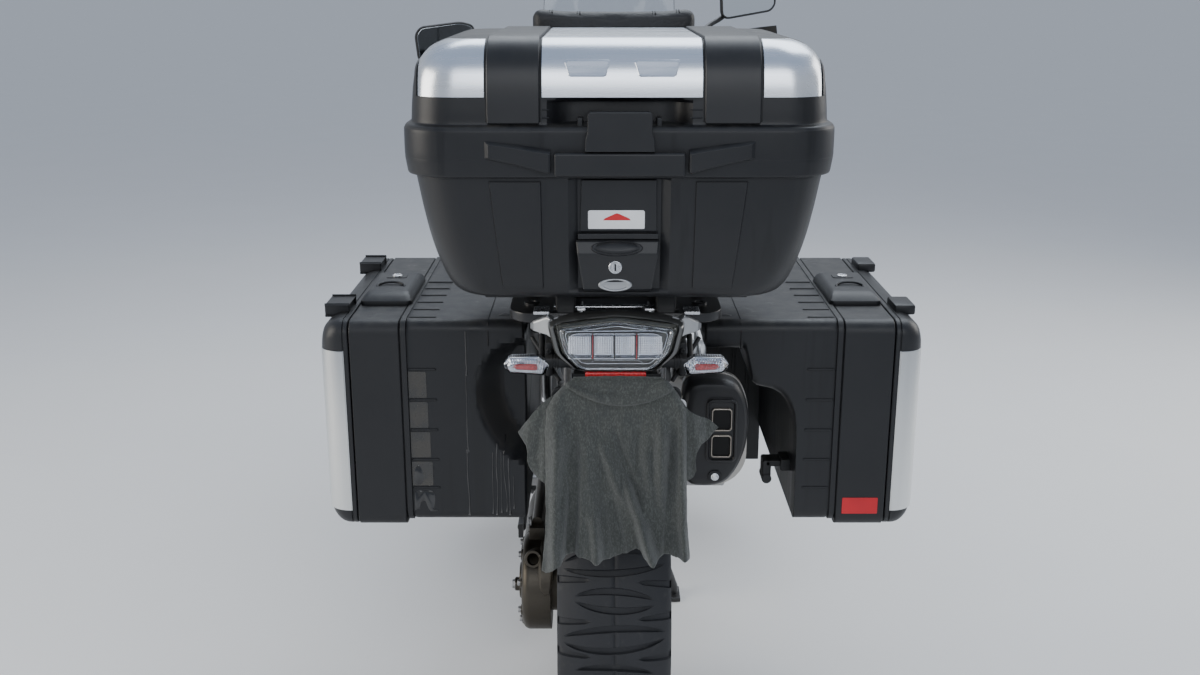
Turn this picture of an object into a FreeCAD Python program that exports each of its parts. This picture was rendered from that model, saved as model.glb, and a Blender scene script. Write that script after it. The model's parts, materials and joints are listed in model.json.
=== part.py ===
import FreeCAD, Part
import math
import os
import re
from types import SimpleNamespace

import Sketcher
from FreeCAD import Placement, Rotation, Vector

# An adventure motorcycle with a top case and two panniers, on its centre stand.
# Millimetres. +Y is forward, +X is the rider's right, +Z is up, the floor is z = 0.
# Places named in a table are measured from the rear axle forwards unless a column says otherwise.

SIZES = (
    # name, value
    ("wheelbase", 1507),
    ("rear_axle_y", -702),
    ("rear_axle_z", 333),
    # wheels
    ("rear_tyre_radius", 318),
    ("rear_tyre_width", 174),
    ("rear_rim_radius", 216),
    ("rear_rim_width", 128),
    ("rear_shoulder_drop", 30),
    ("rear_wall_bulge", 16),
    ("front_tyre_radius", 325),
    ("front_tyre_width", 120),
    ("front_rim_radius", 241),
    ("front_rim_width", 84),
    ("front_shoulder_drop", 26),
    ("front_wall_bulge", 12),
    ("tyre_wall", 10),
    ("bead_gap", 0.3),
    ("rim_depth", 14),
    ("rim_wall", 7),
    ("web_half", 13),
    ("spoke_count", 10),
    ("hub_radius", 46),
    ("rear_hub_half", 60),
    ("front_hub_half", 50),
    ("rear_axle_radius", 25),
    ("axle_hole_radius", 15),
    ("front_axle_radius", 12),
    ("front_axle_bore", 8.5),
    ("front_axle_end", 5),
    ("bore_gap", 0.3),
    ("rear_disc_radius", 138),
    ("front_disc_radius", 152),
    ("disc_thickness", 5),
    ("disc_seat", 4),
    # steering
    ("rake", 26),
    ("trail", 100),
    ("rest_steer", 18),
    ("fork_spacing", 210),
    ("slider_radius", 29),
    ("slider_length", 330),
    ("stanchion_radius", 21.5),
    ("fork_length", 775),
    ("lower_yoke_at", 580),
    ("upper_yoke_at", 748),
    ("yoke_thickness", 28),
    ("steering_stem_radius", 15),
    ("head_tube_radius", 27),
    ("bar_radius", 11),
    ("grip_radius", 16.5),
    ("bar_half_width", 430),
    ("bar_rise", 124),
    # frame
    ("frame_tube", 17),
    ("subframe_tube", 12),
    ("frame_half", 112),
    ("pivot_ahead", 560),
    ("pivot_z", 335),
    ("plate_thickness", 16),
    # engine
    ("crankcase_half", 88),
    ("crankcase_back", 640),
    ("crankcase_length", 490),
    ("crankcase_low", 200),
    ("crankcase_high", 590),
    ("cylinder_z", 420),
    ("cylinder_inset", 320),
    ("cylinder_stagger", 24),
    ("cylinder_radius", 68),
    ("fin_count", 8),
    ("head_start", 236),
    ("head_end", 322),
    ("cover_end", 372),
    # luggage
    ("case_width", 560),
    ("case_back", -415),
    ("case_front", 50),
    ("case_low", 938),
    ("case_base_height", 190),
    ("case_lid_height", 147),
    ("case_wall", 4),
    ("case_bottom_half", 206),
    ("lid_top_half", 250),
    ("lid_gap", 0.6),
    ("pannier_inner", 137),
    ("pannier_outer", 472),
    ("left_pannier_trim", 22),
    ("pannier_lid_depth", 46),
    ("pannier_band_share", 0.545),
    ("pannier_low", 515),
    ("pannier_high", 851),
    ("pannier_back", -177),
    ("pannier_length", 470),
    ("pannier_wall", 4),
    ("silencer_notch", 283),
    ("silencer_notch_high", 800),
    # plate
    ("plate_width", 190),
    ("plate_height", 170),
    ("plate_low", 632),
    ("plate_back", -394),
    ("cloth_drop", 262),
    # stands
    ("stand_pivot_z", 235),
    ("stand_foot_ahead", 15),
    ("stand_half", 142),
    ("stand_tube", 13),
    ("stand_bolt_radius", 8),
    ("side_stand_length", 212),
)

document = FreeCAD.newDocument("adventure_motorcycle")
sheet = document.addObject("Spreadsheet::Sheet", "Sizes")
for row, (alias, value) in enumerate(SIZES, start=1):
    sheet.set("A%d" % row, alias)
    sheet.set("B%d" % row, str(value))
    sheet.setAlias("B%d" % row, alias)
document.recompute()
ALIASES = {alias for alias, value in SIZES}
size = SimpleNamespace(**{alias: float(sheet.get(alias)) for alias in ALIASES})
made_parts = {}
straight = {}


# Helpers

def linked(text):
    """An expression in which each size's plain name becomes its cell's name."""
    def cell(match):
        return "Sizes." + match.group() if match.group() in ALIASES else match.group()
    return re.sub(r"[a-z_][a-z0-9_]*", cell, text)


def number(text):
    return float(sheet.evalExpression(linked(text)))


def keep(item, label):
    """Gives a finished piece its label, which is also the name of its file."""
    item.Label = label
    made_parts[label] = item
    return item


def shaped(label, shape, placement=None):
    item = document.addObject("Part::Feature", label)
    item.Shape = shape
    if placement is not None:
        item.Placement = placement
    return keep(item, label)


def primitive(kind, name, **expressions):
    """A Part primitive whose properties follow the sheet. x, y and z are its place."""
    item = document.addObject("Part::" + kind, name)
    for key, text in expressions.items():
        path = "Placement.Base." + key if key in ("x", "y", "z") else key
        item.setExpression(path, linked(text))
    return item


def origin_feature(body, role):
    return next(feature for feature in body.Origin.OriginFeatures if feature.Role == role)


def arc_radius(half_chord, height):
    return "((%s)^2 + (%s)^2) / (2 * (%s))" % (half_chord, height, height)


def outline(body, name, plane, points, arcs=None, offset="0"):
    """A closed, fully placed sketch. Points are pairs of expressions. arcs gives, by
    the number of the edge's first point, the radius of an edge that bulges outwards."""
    arcs = arcs or {}
    sketch = body.newObject("Sketcher::SketchObject", name)
    sketch.AttachmentSupport = [(origin_feature(body, plane), "")]
    sketch.MapMode = "FlatFace"
    sketch.setExpression("AttachmentOffset.Base.z", linked(offset))
    places = [(number(x), number(y)) for x, y in points]
    turn = sum(a[0] * b[1] - b[0] * a[1] for a, b in zip(places, places[1:] + places[:1]))
    outward = -1 if turn > 0 else 1
    ends = []
    for index, start in enumerate(places):
        finish = places[(index + 1) % len(places)]
        if index in arcs:
            across = Vector(finish[0] - start[0], finish[1] - start[1], 0)
            radius = number(arcs[index])
            side = Vector(-across.y, across.x, 0).normalize() * outward
            depth = math.sqrt(max(radius ** 2 - (across.Length / 2) ** 2, 0))
            centre = Vector(*start, 0) + across / 2 - side * depth
            angles = [math.atan2(p[1] - centre.y, p[0] - centre.x) for p in (start, finish)]
            order = angles if outward < 0 else angles[::-1]
            if order[1] < order[0]:
                order = [order[0], order[1] + 2 * math.pi]
            circle = Part.Circle(centre, Vector(0, 0, 1), radius)
            edge = sketch.addGeometry(Part.ArcOfCircle(circle, *order), False)
            ends.append((edge, 1, 2) if outward < 0 else (edge, 2, 1))
        else:
            line = Part.LineSegment(Vector(*start, 0), Vector(*finish, 0))
            ends.append((sketch.addGeometry(line, False), 1, 2))
    for index, (x, y) in enumerate(points):
        edge, first, last = ends[index]
        before, unused, before_last = ends[index - 1]
        sketch.addConstraint(Sketcher.Constraint("Coincident", before, before_last, edge, first))
        for kind, text in (("DistanceX", x), ("DistanceY", y)):
            value = number(text)
            placed = sketch.addConstraint(Sketcher.Constraint(kind, -1, 1, edge, first, value))
            sketch.setExpression("Constraints[%d]" % placed, linked(text))
        if index in arcs:
            value = number(arcs[index])
            round_edge = sketch.addConstraint(Sketcher.Constraint("Radius", edge, value))
            sketch.setExpression("Constraints[%d]" % round_edge, linked(arcs[index]))
    return sketch


def revolved(label, points, arcs=None):
    """A body turned about its own X axis."""
    body = document.addObject("PartDesign::Body", label)
    sketch = outline(body, label + "_profile", "XY_Plane", points, arcs)
    turned = body.newObject("PartDesign::Revolution", label + "_turned")
    turned.Profile = sketch
    turned.ReferenceAxis = (origin_feature(body, "X_Axis"), [""])
    turned.Angle = 360
    body.Tip = turned
    document.recompute()
    return keep(body, label)


# Places worked out from the sizes

FRONT_AXLE_Y = size.rear_axle_y + size.wheelbase
RAKE = math.radians(size.rake)
STEER_AXIS = Vector(0, -math.sin(RAKE), math.cos(RAKE))
STEER_AHEAD = Vector(0, math.cos(RAKE), math.sin(RAKE))


def front_axle_height():
    """The height at which the turned, leaning front tyre just meets the floor."""
    turn = math.radians(size.rest_steer)
    shoulder = size.front_tyre_width * 0.45
    crown = (shoulder ** 2 + size.front_shoulder_drop ** 2) / (2 * size.front_shoulder_drop)
    lean = math.asin(math.sin(turn) * math.sin(RAKE))
    offset = size.front_tyre_radius * math.sin(RAKE) - size.trail * math.cos(RAKE)
    drop = offset * (1 - math.cos(turn)) * math.sin(RAKE)
    return (size.front_tyre_radius - crown) * math.cos(lean) + crown + drop


FRONT_AXLE = Vector(0, FRONT_AXLE_Y, front_axle_height())
REAR_AXLE = Vector(0, size.rear_axle_y, size.rear_axle_z)
FORK_OFFSET = size.front_tyre_radius * math.sin(RAKE) - size.trail * math.cos(RAKE)
STEER_FOOT = FRONT_AXLE - STEER_AHEAD * FORK_OFFSET
STEERED = Placement(Vector(0, 0, 0), Rotation(STEER_AXIS, size.rest_steer), STEER_FOOT)
BAR_HEIGHT = (FRONT_AXLE + STEER_AXIS * size.upper_yoke_at).z + size.bar_rise
CYLINDER_AHEAD = size.crankcase_back + size.cylinder_inset
CASE_RIM = size.case_low + size.case_base_height
CASE_HIGH = CASE_RIM + size.case_lid_height


def at(x, ahead, z):
    """A point from the rear axle's place along the machine and the floor."""
    return Vector(x, size.rear_axle_y + ahead, z)


def ahead_of_head(x, ahead, z):
    """A point that moves with the steering head: ahead is from the rear axle on the
    standard wheelbase, so that it keeps its distance from the front axle."""
    return Vector(x, FRONT_AXLE_Y - HEAD_REFERENCE + ahead, z)


HEAD_REFERENCE = 1507


# Shapes made of runs, blocks and plates

def mirrored(shape):
    return shape.mirror(Vector(0, 0, 0), Vector(1, 0, 0))


def mirror_point(point):
    return Vector(-point.x, point.y, point.z)


def both_sides(shape):
    return [shape, mirrored(shape)]


def tube(points, radius, bend=0.45):
    """A round tube along straight runs joined by tangent arcs."""
    edges = []
    start = points[0]
    for before, corner, after in zip(points, points[1:], points[2:]):
        back = before - corner
        forth = after - corner
        turn = math.pi - back.getAngle(forth)
        cut = bend * min(back.Length, forth.Length)
        bisector = (back.normalize() + forth.normalize()).normalize()
        arc_size = cut / math.tan(turn / 2)
        middle = corner + bisector * (arc_size / math.cos(turn / 2) - arc_size)
        first = corner + back * cut
        last = corner + forth * cut
        edges.append(Part.LineSegment(start, first).toShape())
        edges.append(Part.Arc(first, middle, last).toShape())
        start = last
    edges.append(Part.LineSegment(start, points[-1]).toShape())
    path = Part.Wire(edges)
    ring = Part.Wire(Part.makeCircle(radius, points[0], points[1] - points[0]))
    return path.makePipeShell([ring], True, False)


def rod(start, finish, radius):
    return Part.makeCylinder(radius, (finish - start).Length, start, finish - start)


def cross_rod(half, ahead, z, radius, other_half=None):
    """A rod across the machine, from -half to half or from half to other_half."""
    low = -half if other_half is None else half
    high = half if other_half is None else other_half
    return rod(at(low, ahead, z), at(high, ahead, z), radius)


def block(low, high, rounding=0.0):
    shape = Part.makeBox(high.x - low.x, high.y - low.y, high.z - low.z, low)
    return shape.makeFillet(rounding, shape.Edges) if rounding else shape


def plate(points, thickness):
    """A flat plate along X from a closed outline of points that share one x."""
    face = Part.Face(Part.makePolygon(list(points) + [points[0]]))
    return face.extrude(Vector(thickness, 0, 0))


def sculpted(sections, place):
    """A smooth solid through upright sections: ahead, then pairs of x and z for one half."""
    wires = []
    for ahead, half in sections:
        right = [place(x, ahead, z) for x, z in half]
        left = [mirror_point(point) for point in reversed(right) if point.x > 0]
        curve = Part.BSplineCurve()
        curve.interpolate(right + left, PeriodicFlag=True)
        wires.append(Part.Wire([curve.toShape()]))
    return Part.makeLoft(wires, True, False)


def fused(shapes):
    first, rest = shapes[0], shapes[1:]
    return first.fuse(rest).removeSplitter() if rest else first


def rounded_wire(half_width, back, front, radius, z):
    """A rectangle with round corners, in a level plane."""
    corners = (
        (half_width - radius, back + radius, -90), (half_width - radius, front - radius, 0),
        (-half_width + radius, front - radius, 90), (-half_width + radius, back + radius, 180),
    )
    edges = []
    for index, (x, y, angle) in enumerate(corners):
        circle = Part.Circle(Vector(x, y, z), Vector(0, 0, 1), radius)
        edges.append(Part.ArcOfCircle(
            circle, math.radians(angle), math.radians(angle + 90)).toShape())
        x2, y2, angle2 = corners[(index + 1) % 4]
        end = edges[-1].Vertexes[-1].Point
        turn = math.radians(angle2)
        following = Vector(x2 + radius * math.cos(turn), y2 + radius * math.sin(turn), z)
        edges.append(Part.LineSegment(end, following).toShape())
    return Part.Wire(edges)


def level_loft(sections):
    """A solid through level round-cornered rectangles: half width, back, front, radius, z."""
    return Part.makeLoft([rounded_wire(*section) for section in sections], True, True)


# Wheels

def tyre(label, end):
    """A hollow tyre, with round side walls and crown, open towards the rim."""
    shoulder = "%s_tyre_width * 0.45" % end
    top = "%s_tyre_radius - %s_shoulder_drop" % (end, end)
    bead = "%s_rim_width / 2" % end
    low = "%s_rim_radius" % end
    inner_shoulder = shoulder + " - tyre_wall"
    inner_top = top + " - tyre_wall"
    inner_bead = bead + " - tyre_wall"
    points = (
        ("-(%s)" % bead, low), ("-(%s)" % shoulder, top), (shoulder, top), (bead, low),
        (inner_bead, low), (inner_shoulder, inner_top),
        ("-(%s)" % inner_shoulder, inner_top), ("-(%s)" % inner_bead, low),
    )
    height = "(%s - (%s))" % (top, low)
    lean = "(%s - (%s))" % (shoulder, bead)
    wall_half_chord = "sqrt((%s)^2 + (%s)^2) / 2" % (height, lean)
    wall = arc_radius(wall_half_chord, "%s_wall_bulge" % end)
    crown = arc_radius(shoulder, "%s_shoulder_drop" % end)
    return revolved(label, points, {0: wall, 1: crown, 2: wall})


def rim(label, end, axle):
    """A cast wheel: barrel, hub and a web whose windows leave straight spokes."""
    seat = "(%s_rim_radius - bead_gap)" % end
    half = "%s_rim_width / 2" % end
    hub = "%s_hub_half" % end
    right = (
        (hub, "%s_radius + bore_gap" % axle), (hub, "hub_radius"),
        ("web_half", "hub_radius + 12"), ("web_half", "%s - rim_depth - rim_wall" % seat),
        (half + " - 18", "%s - rim_depth - rim_wall" % seat),
        (half + " + 6", "%s - rim_wall" % seat), (half + " + 6", seat),
        (half + " - 14", seat), (half + " - 18", "%s - rim_depth" % seat),
    )
    left = tuple(("-(%s)" % x, r) for x, r in reversed(right))
    body = revolved(label, right + left)
    window = outline(body, label + "_window", "YZ_Plane", (
        ("-10", "hub_radius + 26"), ("10", "hub_radius + 26"),
        ("%s * 0.21" % seat, "%s - rim_depth - rim_wall - 10" % seat),
        ("-%s * 0.21" % seat, "%s - rim_depth - rim_wall - 10" % seat)))
    pocket = body.newObject("PartDesign::Pocket", label + "_first_window")
    pocket.Profile = window
    pocket.Midplane = True
    pocket.setExpression("Length", linked("%s_rim_width" % end))
    pattern = body.newObject("PartDesign::PolarPattern", label + "_windows")
    pattern.Originals = [pocket]
    pattern.Axis = (origin_feature(body, "X_Axis"), [""])
    pattern.Angle = 360
    pattern.setExpression("Occurrences", linked("spoke_count"))
    body.Tip = pattern
    document.recompute()
    return body


def disc(radius, bore, x, thickness):
    """A brake disc with a row of slots, about the X axis."""
    ring = Part.makeCylinder(radius, thickness, Vector(x, 0, 0), Vector(1, 0, 0))
    hole = Part.makeCylinder(bore, thickness, Vector(x, 0, 0), Vector(1, 0, 0))
    slots = []
    for turn in range(6):
        slot = Part.makeBox(thickness, 26, 34, Vector(x, -13, bore + 24))
        slots.append(slot.rotate(Vector(0, 0, 0), Vector(1, 0, 0), turn * 60))
    return ring.cut([hole] + slots)


def wheels():
    tyre("rear_tyre", "rear").Placement = Placement(REAR_AXLE, Rotation())
    rim("rear_rim", "rear", "rear_axle").Placement = Placement(REAR_AXLE, Rotation())
    front = STEERED * Placement(FRONT_AXLE, Rotation())
    tyre("front_tyre", "front").Placement = front
    rim("front_rim", "front", "front_axle").Placement = front
    rear_start = -size.rear_hub_half - size.disc_seat - size.disc_thickness
    bore = size.rear_axle_radius + size.bore_gap
    rear = disc(size.rear_disc_radius, bore, rear_start, size.disc_thickness)
    seat = Part.makeCylinder(size.hub_radius, size.disc_seat,
                             Vector(-size.rear_hub_half - size.disc_seat, 0, 0), Vector(1, 0, 0))
    hole = Part.makeCylinder(bore, size.disc_seat,
                             Vector(-size.rear_hub_half - size.disc_seat, 0, 0), Vector(1, 0, 0))
    shaped("rear_disc", rear.fuse(seat.cut(hole)), Placement(REAR_AXLE, Rotation()))
    one = disc(size.front_disc_radius, size.front_axle_radius + size.bore_gap,
               size.front_hub_half, size.disc_thickness)
    shaped("front_discs", Part.Compound(both_sides(one)), front)


# Steering

def along_fork(x, distance, ahead=0.0):
    """A point on the fork's own line, above the axle, with the bars straight ahead."""
    return FRONT_AXLE + STEER_AXIS * distance + STEER_AHEAD * ahead + Vector(x, 0, 0)


def fork():
    half = size.fork_spacing / 2
    pieces = []
    for x in (-half, half):
        pieces.append(rod(along_fork(x, -34), along_fork(x, size.slider_length),
                          size.slider_radius))
        pieces.append(rod(along_fork(x, size.slider_length), along_fork(x, size.fork_length),
                          size.stanchion_radius))
    for distance in (size.lower_yoke_at, size.upper_yoke_at):
        outer = half + size.slider_radius
        level = -size.yoke_thickness / 2
        yoke = Part.Face(Part.makePolygon([Vector(x, y, level) for x, y in (
            (-outer, -28), (-34, -FORK_OFFSET - 26), (34, -FORK_OFFSET - 26), (outer, -28),
            (outer, 30), (-outer, 30), (-outer, -28))]))
        yoke = yoke.extrude(Vector(0, 0, size.yoke_thickness))
        yoke = yoke.makeFillet(14, [e for e in yoke.Edges if abs(e.tangentAt(
            e.FirstParameter).z) > 0.9])
        yoke.Placement = Placement(along_fork(0, distance), Rotation(Vector(1, 0, 0), size.rake))
        pieces.append(yoke)
    stem_low = along_fork(0, size.lower_yoke_at, -FORK_OFFSET)
    stem_high = along_fork(0, size.upper_yoke_at, -FORK_OFFSET)
    pieces.append(rod(stem_low, stem_high, size.steering_stem_radius))
    pieces.append(rod(along_fork(-half, 0), along_fork(half, 0), size.front_axle_radius))
    tip = half + size.slider_radius + size.front_axle_end
    pieces.append(rod(along_fork(-tip, 0), along_fork(-half, 0), size.front_axle_radius + 5))
    pieces.append(rod(along_fork(half, 0), along_fork(tip, 0), size.front_axle_radius + 5))
    bore = rod(along_fork(-tip, 0), along_fork(tip, 0), size.front_axle_bore)
    straight["fork"] = fused(pieces).cut(bore)
    shaped("fork", straight["fork"].copy(), STEERED)


BAR_PLACES = (
    # x, ahead, rise from the bar's middle
    (0, 1072, -38), (70, 1072, -38), (150, 1058, 6), (290, 1010, 14),
)


def bar_places():
    return [ahead_of_head(x, ahead, BAR_HEIGHT + rise) for x, ahead, rise in BAR_PLACES]


def bar_tip():
    """The right end of the bar, and the way the grip runs."""
    last = bar_places()[-1]
    run = Vector(0.95, -0.30, 0).normalize()
    return last + run * (size.bar_half_width - last.x) / run.x, run


def handlebar():
    """The bar with its risers, grips and levers."""
    right = bar_places()
    grip_end, grip_run = bar_tip()
    points = [mirror_point(p) for p in ([grip_end] + right[:0:-1])] + right[1:] + [grip_end]
    pieces = [tube(points, size.bar_radius, 0.35)]
    grip_start = right[-1] + grip_run * 12
    grip = rod(grip_start, grip_end, size.grip_radius)
    lever_start = grip_start + Vector(-22, 30, -8)
    lever = tube([grip_start + Vector(-26, -2, 0), lever_start, lever_start + Vector(60, 16, -4),
                  lever_start + Vector(140, -18, -8)], 5)
    switch = Part.makeSphere(24, grip_start - grip_run * 16)
    for piece in (grip, lever, switch):
        pieces.extend(both_sides(piece))
    middle = right[0] - FRONT_AXLE
    rise, offset = middle.dot(STEER_AXIS), middle.dot(STEER_AHEAD)
    yoke_top = size.upper_yoke_at + size.yoke_thickness / 2
    for x in (-50, 50):
        pieces.append(rod(along_fork(x, yoke_top, offset), along_fork(x, rise, offset), 14))
    straight["handlebar"] = fused(pieces)
    shaped("handlebar", straight["handlebar"].copy(), STEERED)


def mirrors():
    """Two round-cornered mirror heads on bent stems."""
    head = block(Vector(-74, -16, -46), Vector(74, 10, 46), 12)
    head.translate(ahead_of_head(372, 1070, BAR_HEIGHT + 138))
    foot = ahead_of_head(232, 1036, BAR_HEIGHT + 10 + size.bar_radius)
    stem = tube([foot + Vector(0, 0, 4), foot + Vector(6, 8, 46), ahead_of_head(300, 1072, BAR_HEIGHT + 94),
                 ahead_of_head(345, 1070, BAR_HEIGHT + 120)], 6)
    clamp = rod(foot, foot + Vector(0, 0, 22), 14)
    one = fused([head, stem, clamp])
    pair = Part.Compound(both_sides(one.cut(straight["handlebar"])))
    shaped("mirrors", pair, STEERED)


def hand_guards():
    """A curved shell ahead of each grip, on an arm from the bar's end."""
    low = ahead_of_head(250, 1062, BAR_HEIGHT - 60)
    outer = Part.Arc(low + Vector(0, 20, 0), low + Vector(90, 34, 0),
                     low + Vector(185, -16, 0)).toShape()
    inner = Part.Arc(low + Vector(0, 16, 0), low + Vector(90, 30, 0),
                     low + Vector(185, -20, 0)).toShape()
    ends = [Part.makeLine(outer.Vertexes[i].Point, inner.Vertexes[i].Point) for i in (0, 1)]
    shell = Part.Face(Part.Wire([outer, ends[1], inner, ends[0]]))
    shell = shell.extrude(Vector(0, 0, 120))
    bar_end, run = bar_tip()
    boss = rod(bar_end, bar_end + run * 14, 13)
    arm = rod(bar_end + run * 7, low + Vector(178, -14, bar_end.z - low.z), 6)
    one = fused([shell, boss, arm]).cut(straight["handlebar"])
    shaped("hand_guards", Part.Compound(both_sides(one)), STEERED)


def front_mudguard():
    """A curved guard over the front tyre, on stays to the fork legs."""
    inner = size.front_tyre_radius + 14
    half = size.front_tyre_width / 2 + 8
    ring = Part.makeCylinder(inner + 5, 2 * half, Vector(-half, 0, 0), Vector(1, 0, 0))
    bore = Part.makeCylinder(inner, 2 * half, Vector(-half, 0, 0), Vector(1, 0, 0))
    reach = inner + 60
    wedge = Part.Face(Part.makePolygon([
        Vector(-half, 0, 0), Vector(-half, reach, reach * 0.62), Vector(-half, 0, reach * 1.5),
        Vector(-half, -reach, reach * 0.10), Vector(-half, 0, 0)]))
    guard = ring.cut(bore).common(wedge.extrude(Vector(2 * half, 0, 0)))
    guard.translate(FRONT_AXLE)
    stay_top = along_fork(0, inner + 2)
    stays = []
    edge = size.fork_spacing / 2 - size.slider_radius
    for sign in (-1, 1):
        low = stay_top + Vector(sign * (half - 1) if sign > 0 else -edge, -30, -34)
        stays.append(Part.makeBox(edge - half + 1, 60, 30, low))
    shaped("front_mudguard", fused([guard] + stays), STEERED)


def front_calipers():
    """A caliper over each disc, behind its fork leg."""
    disc_middle = size.front_hub_half + size.disc_thickness / 2
    outer = size.fork_spacing / 2 - 4
    body = Part.makeBox(outer - disc_middle + 18, 62, 110,
                        Vector(disc_middle - 18, -size.front_disc_radius - 16, -10))
    slot = Part.makeBox(size.disc_thickness + 10, 80, 130,
                        Vector(disc_middle - size.disc_thickness / 2 - 5, -size.front_disc_radius - 5.5, -20))
    lug = Part.makeBox(14, 96, 36, Vector(outer - 14, -118, 20))
    made = fused([body.cut(slot), lug])
    made.Placement = Placement(FRONT_AXLE, Rotation(Vector(1, 0, 0), size.rake - 14))
    made = made.cut(straight["fork"])
    shaped("front_calipers", Part.Compound(both_sides(made)), STEERED)


# Frame

RADIATOR_INNER = 134
FRAME_RUNS = (
    # each run: points of x, ahead, z
    ((20, 1146, 945), (95, 1060, 856), (112, 760, 690), (112, 640, 500), (112, 600, 440)),
    ((20, 1168, 895), (84, 1084, 852), (110, 1062, 640), (108, 1030, 545)),
    ((107, 1066, 690), (110, 800, 712)),
)
SHOCK_TOP = (575, 726)
SHOCK_FOOT = (450, 352)
SEAT_POSTS = (
    # x, ahead, z
    (98, 470, 770), (96, 560, 730), (88, 90, 836), (88, 0, 845), (90, 236, 828),
)
SUBFRAME_RUNS = (
    ((112, 700, 668), (112, 480, 770), (100, 230, 826), (94, -40, 848), (90, -300, 868)),
    ((112, 615, 500), (114, 480, 560), (110, 240, 680), (98, -20, 826)),
)


def pivot_plate():
    """The plate that carries the swingarm, the centre stand and the foot rests."""
    inner = size.frame_half - size.plate_thickness / 2
    pivot = size.pivot_ahead
    points = [at(inner, ahead, z) for ahead, z in (
        (pivot - 24, 272), (pivot - 24, 455), (pivot + 22, 482), (pivot + 68, 482),
        (pivot + 68, 290), (pivot + 26, size.stand_pivot_z - 20),
        (pivot - 18, size.stand_pivot_z - 20))]
    return plate(points, size.plate_thickness)


def main_frame():
    head_low = along_fork(0, size.lower_yoke_at + size.yoke_thickness / 2 + 2, -FORK_OFFSET)
    head_high = along_fork(0, size.upper_yoke_at - size.yoke_thickness / 2 - 2, -FORK_OFFSET)
    pieces = [rod(head_low, head_high, size.head_tube_radius)]
    for run in FRAME_RUNS:
        points = [ahead_of_head(*run[0])] + [at(*place) for place in run[1:]]
        side = tube(points, size.frame_tube)
        pieces.extend(both_sides(side))
    pieces.extend(both_sides(pivot_plate()))
    mount = cross_rod(size.crankcase_half, 1030, 552, 15, size.frame_half)
    pieces.extend(both_sides(mount))
    radiator_mount = cross_rod(100, 1092, 720, 8, RADIATOR_INNER)
    pieces.extend(both_sides(radiator_mount))
    bracket = Part.makeBox(22, 215, 24, ahead_of_head(-11, 1170, 918))
    pieces.append(bracket)
    bore = rod(head_low - STEER_AXIS * 5, head_high + STEER_AXIS * 5,
               size.steering_stem_radius + size.bore_gap)
    pieces.extend(both_sides(Part.makeBox(24, 34, 90, at(92, 800, 740))))
    pieces.append(cross_rod(size.frame_half + size.plate_thickness / 2, size.pivot_ahead,
                            size.stand_pivot_z, size.stand_bolt_radius))
    pieces.append(side_stand_lug())
    solid = fused(pieces).cut([bore, made_parts["fuel_tank"].Shape])
    pivot_bore = cross_rod(size.frame_half + 30, size.pivot_ahead, size.pivot_z, 9.3)
    shaped("main_frame", solid.cut(pivot_bore))


def rear_subframe():
    """Two runs of tube a side, the pannier rails and the loops between them."""
    pieces = []
    for run in SUBFRAME_RUNS:
        pieces.extend(both_sides(tube([at(*place) for place in run], size.subframe_tube)))
    for ahead, z in ((-40, 848), (-230, 862), (230, 826)):
        pieces.append(cross_rod(96, ahead, z, size.subframe_tube * 0.8))
    pieces.append(cross_rod(size.frame_half, *SHOCK_TOP, size.subframe_tube))
    rail_x = size.pannier_inner - 13
    rail = tube([at(98, 210, 822), at(rail_x, 200, 812), at(rail_x, -120, 824),
                 at(92, -150, 852)], 9, 0.4)
    front_drop = tube([at(rail_x, 180, 812), at(rail_x, 300, 700), at(rail_x, 318, 560),
                       at(112, 330, 520)], 9, 0.4)
    for piece in (rail, front_drop):
        pieces.extend(both_sides(piece))
    hanger = plate([at(106, 318, 470), at(106, 318, 660), at(106, 350, 650),
                    at(106, 352, 470)], 9)
    pieces.extend(both_sides(hanger))
    for x, ahead, z in SEAT_POSTS:
        pieces.extend(both_sides(Part.makeBox(16, 24, 80, at(x, ahead, z))))
    solid = fused(pieces)
    others = [made_parts[n].Shape for n in ("main_frame", "rider_seat", "pillion_seat")]
    solid = solid.cut(others)
    shaped("rear_subframe", max(solid.Solids, key=lambda s: s.Volume))


# Engine and exhaust

FRONT_COVER = (0, 390)
FRONT_COVER_RADIUS = 82
COVER_BOLTS = 8
SIDE_COVERS = (
    # ahead of the crankcase's back, z, radius, how far it stands out
    (104, 350, 58, 9), (214, 292, 34, 7),
)
SUMP_RIBS = (130, 180, 230, 280, 330, 380)


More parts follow.
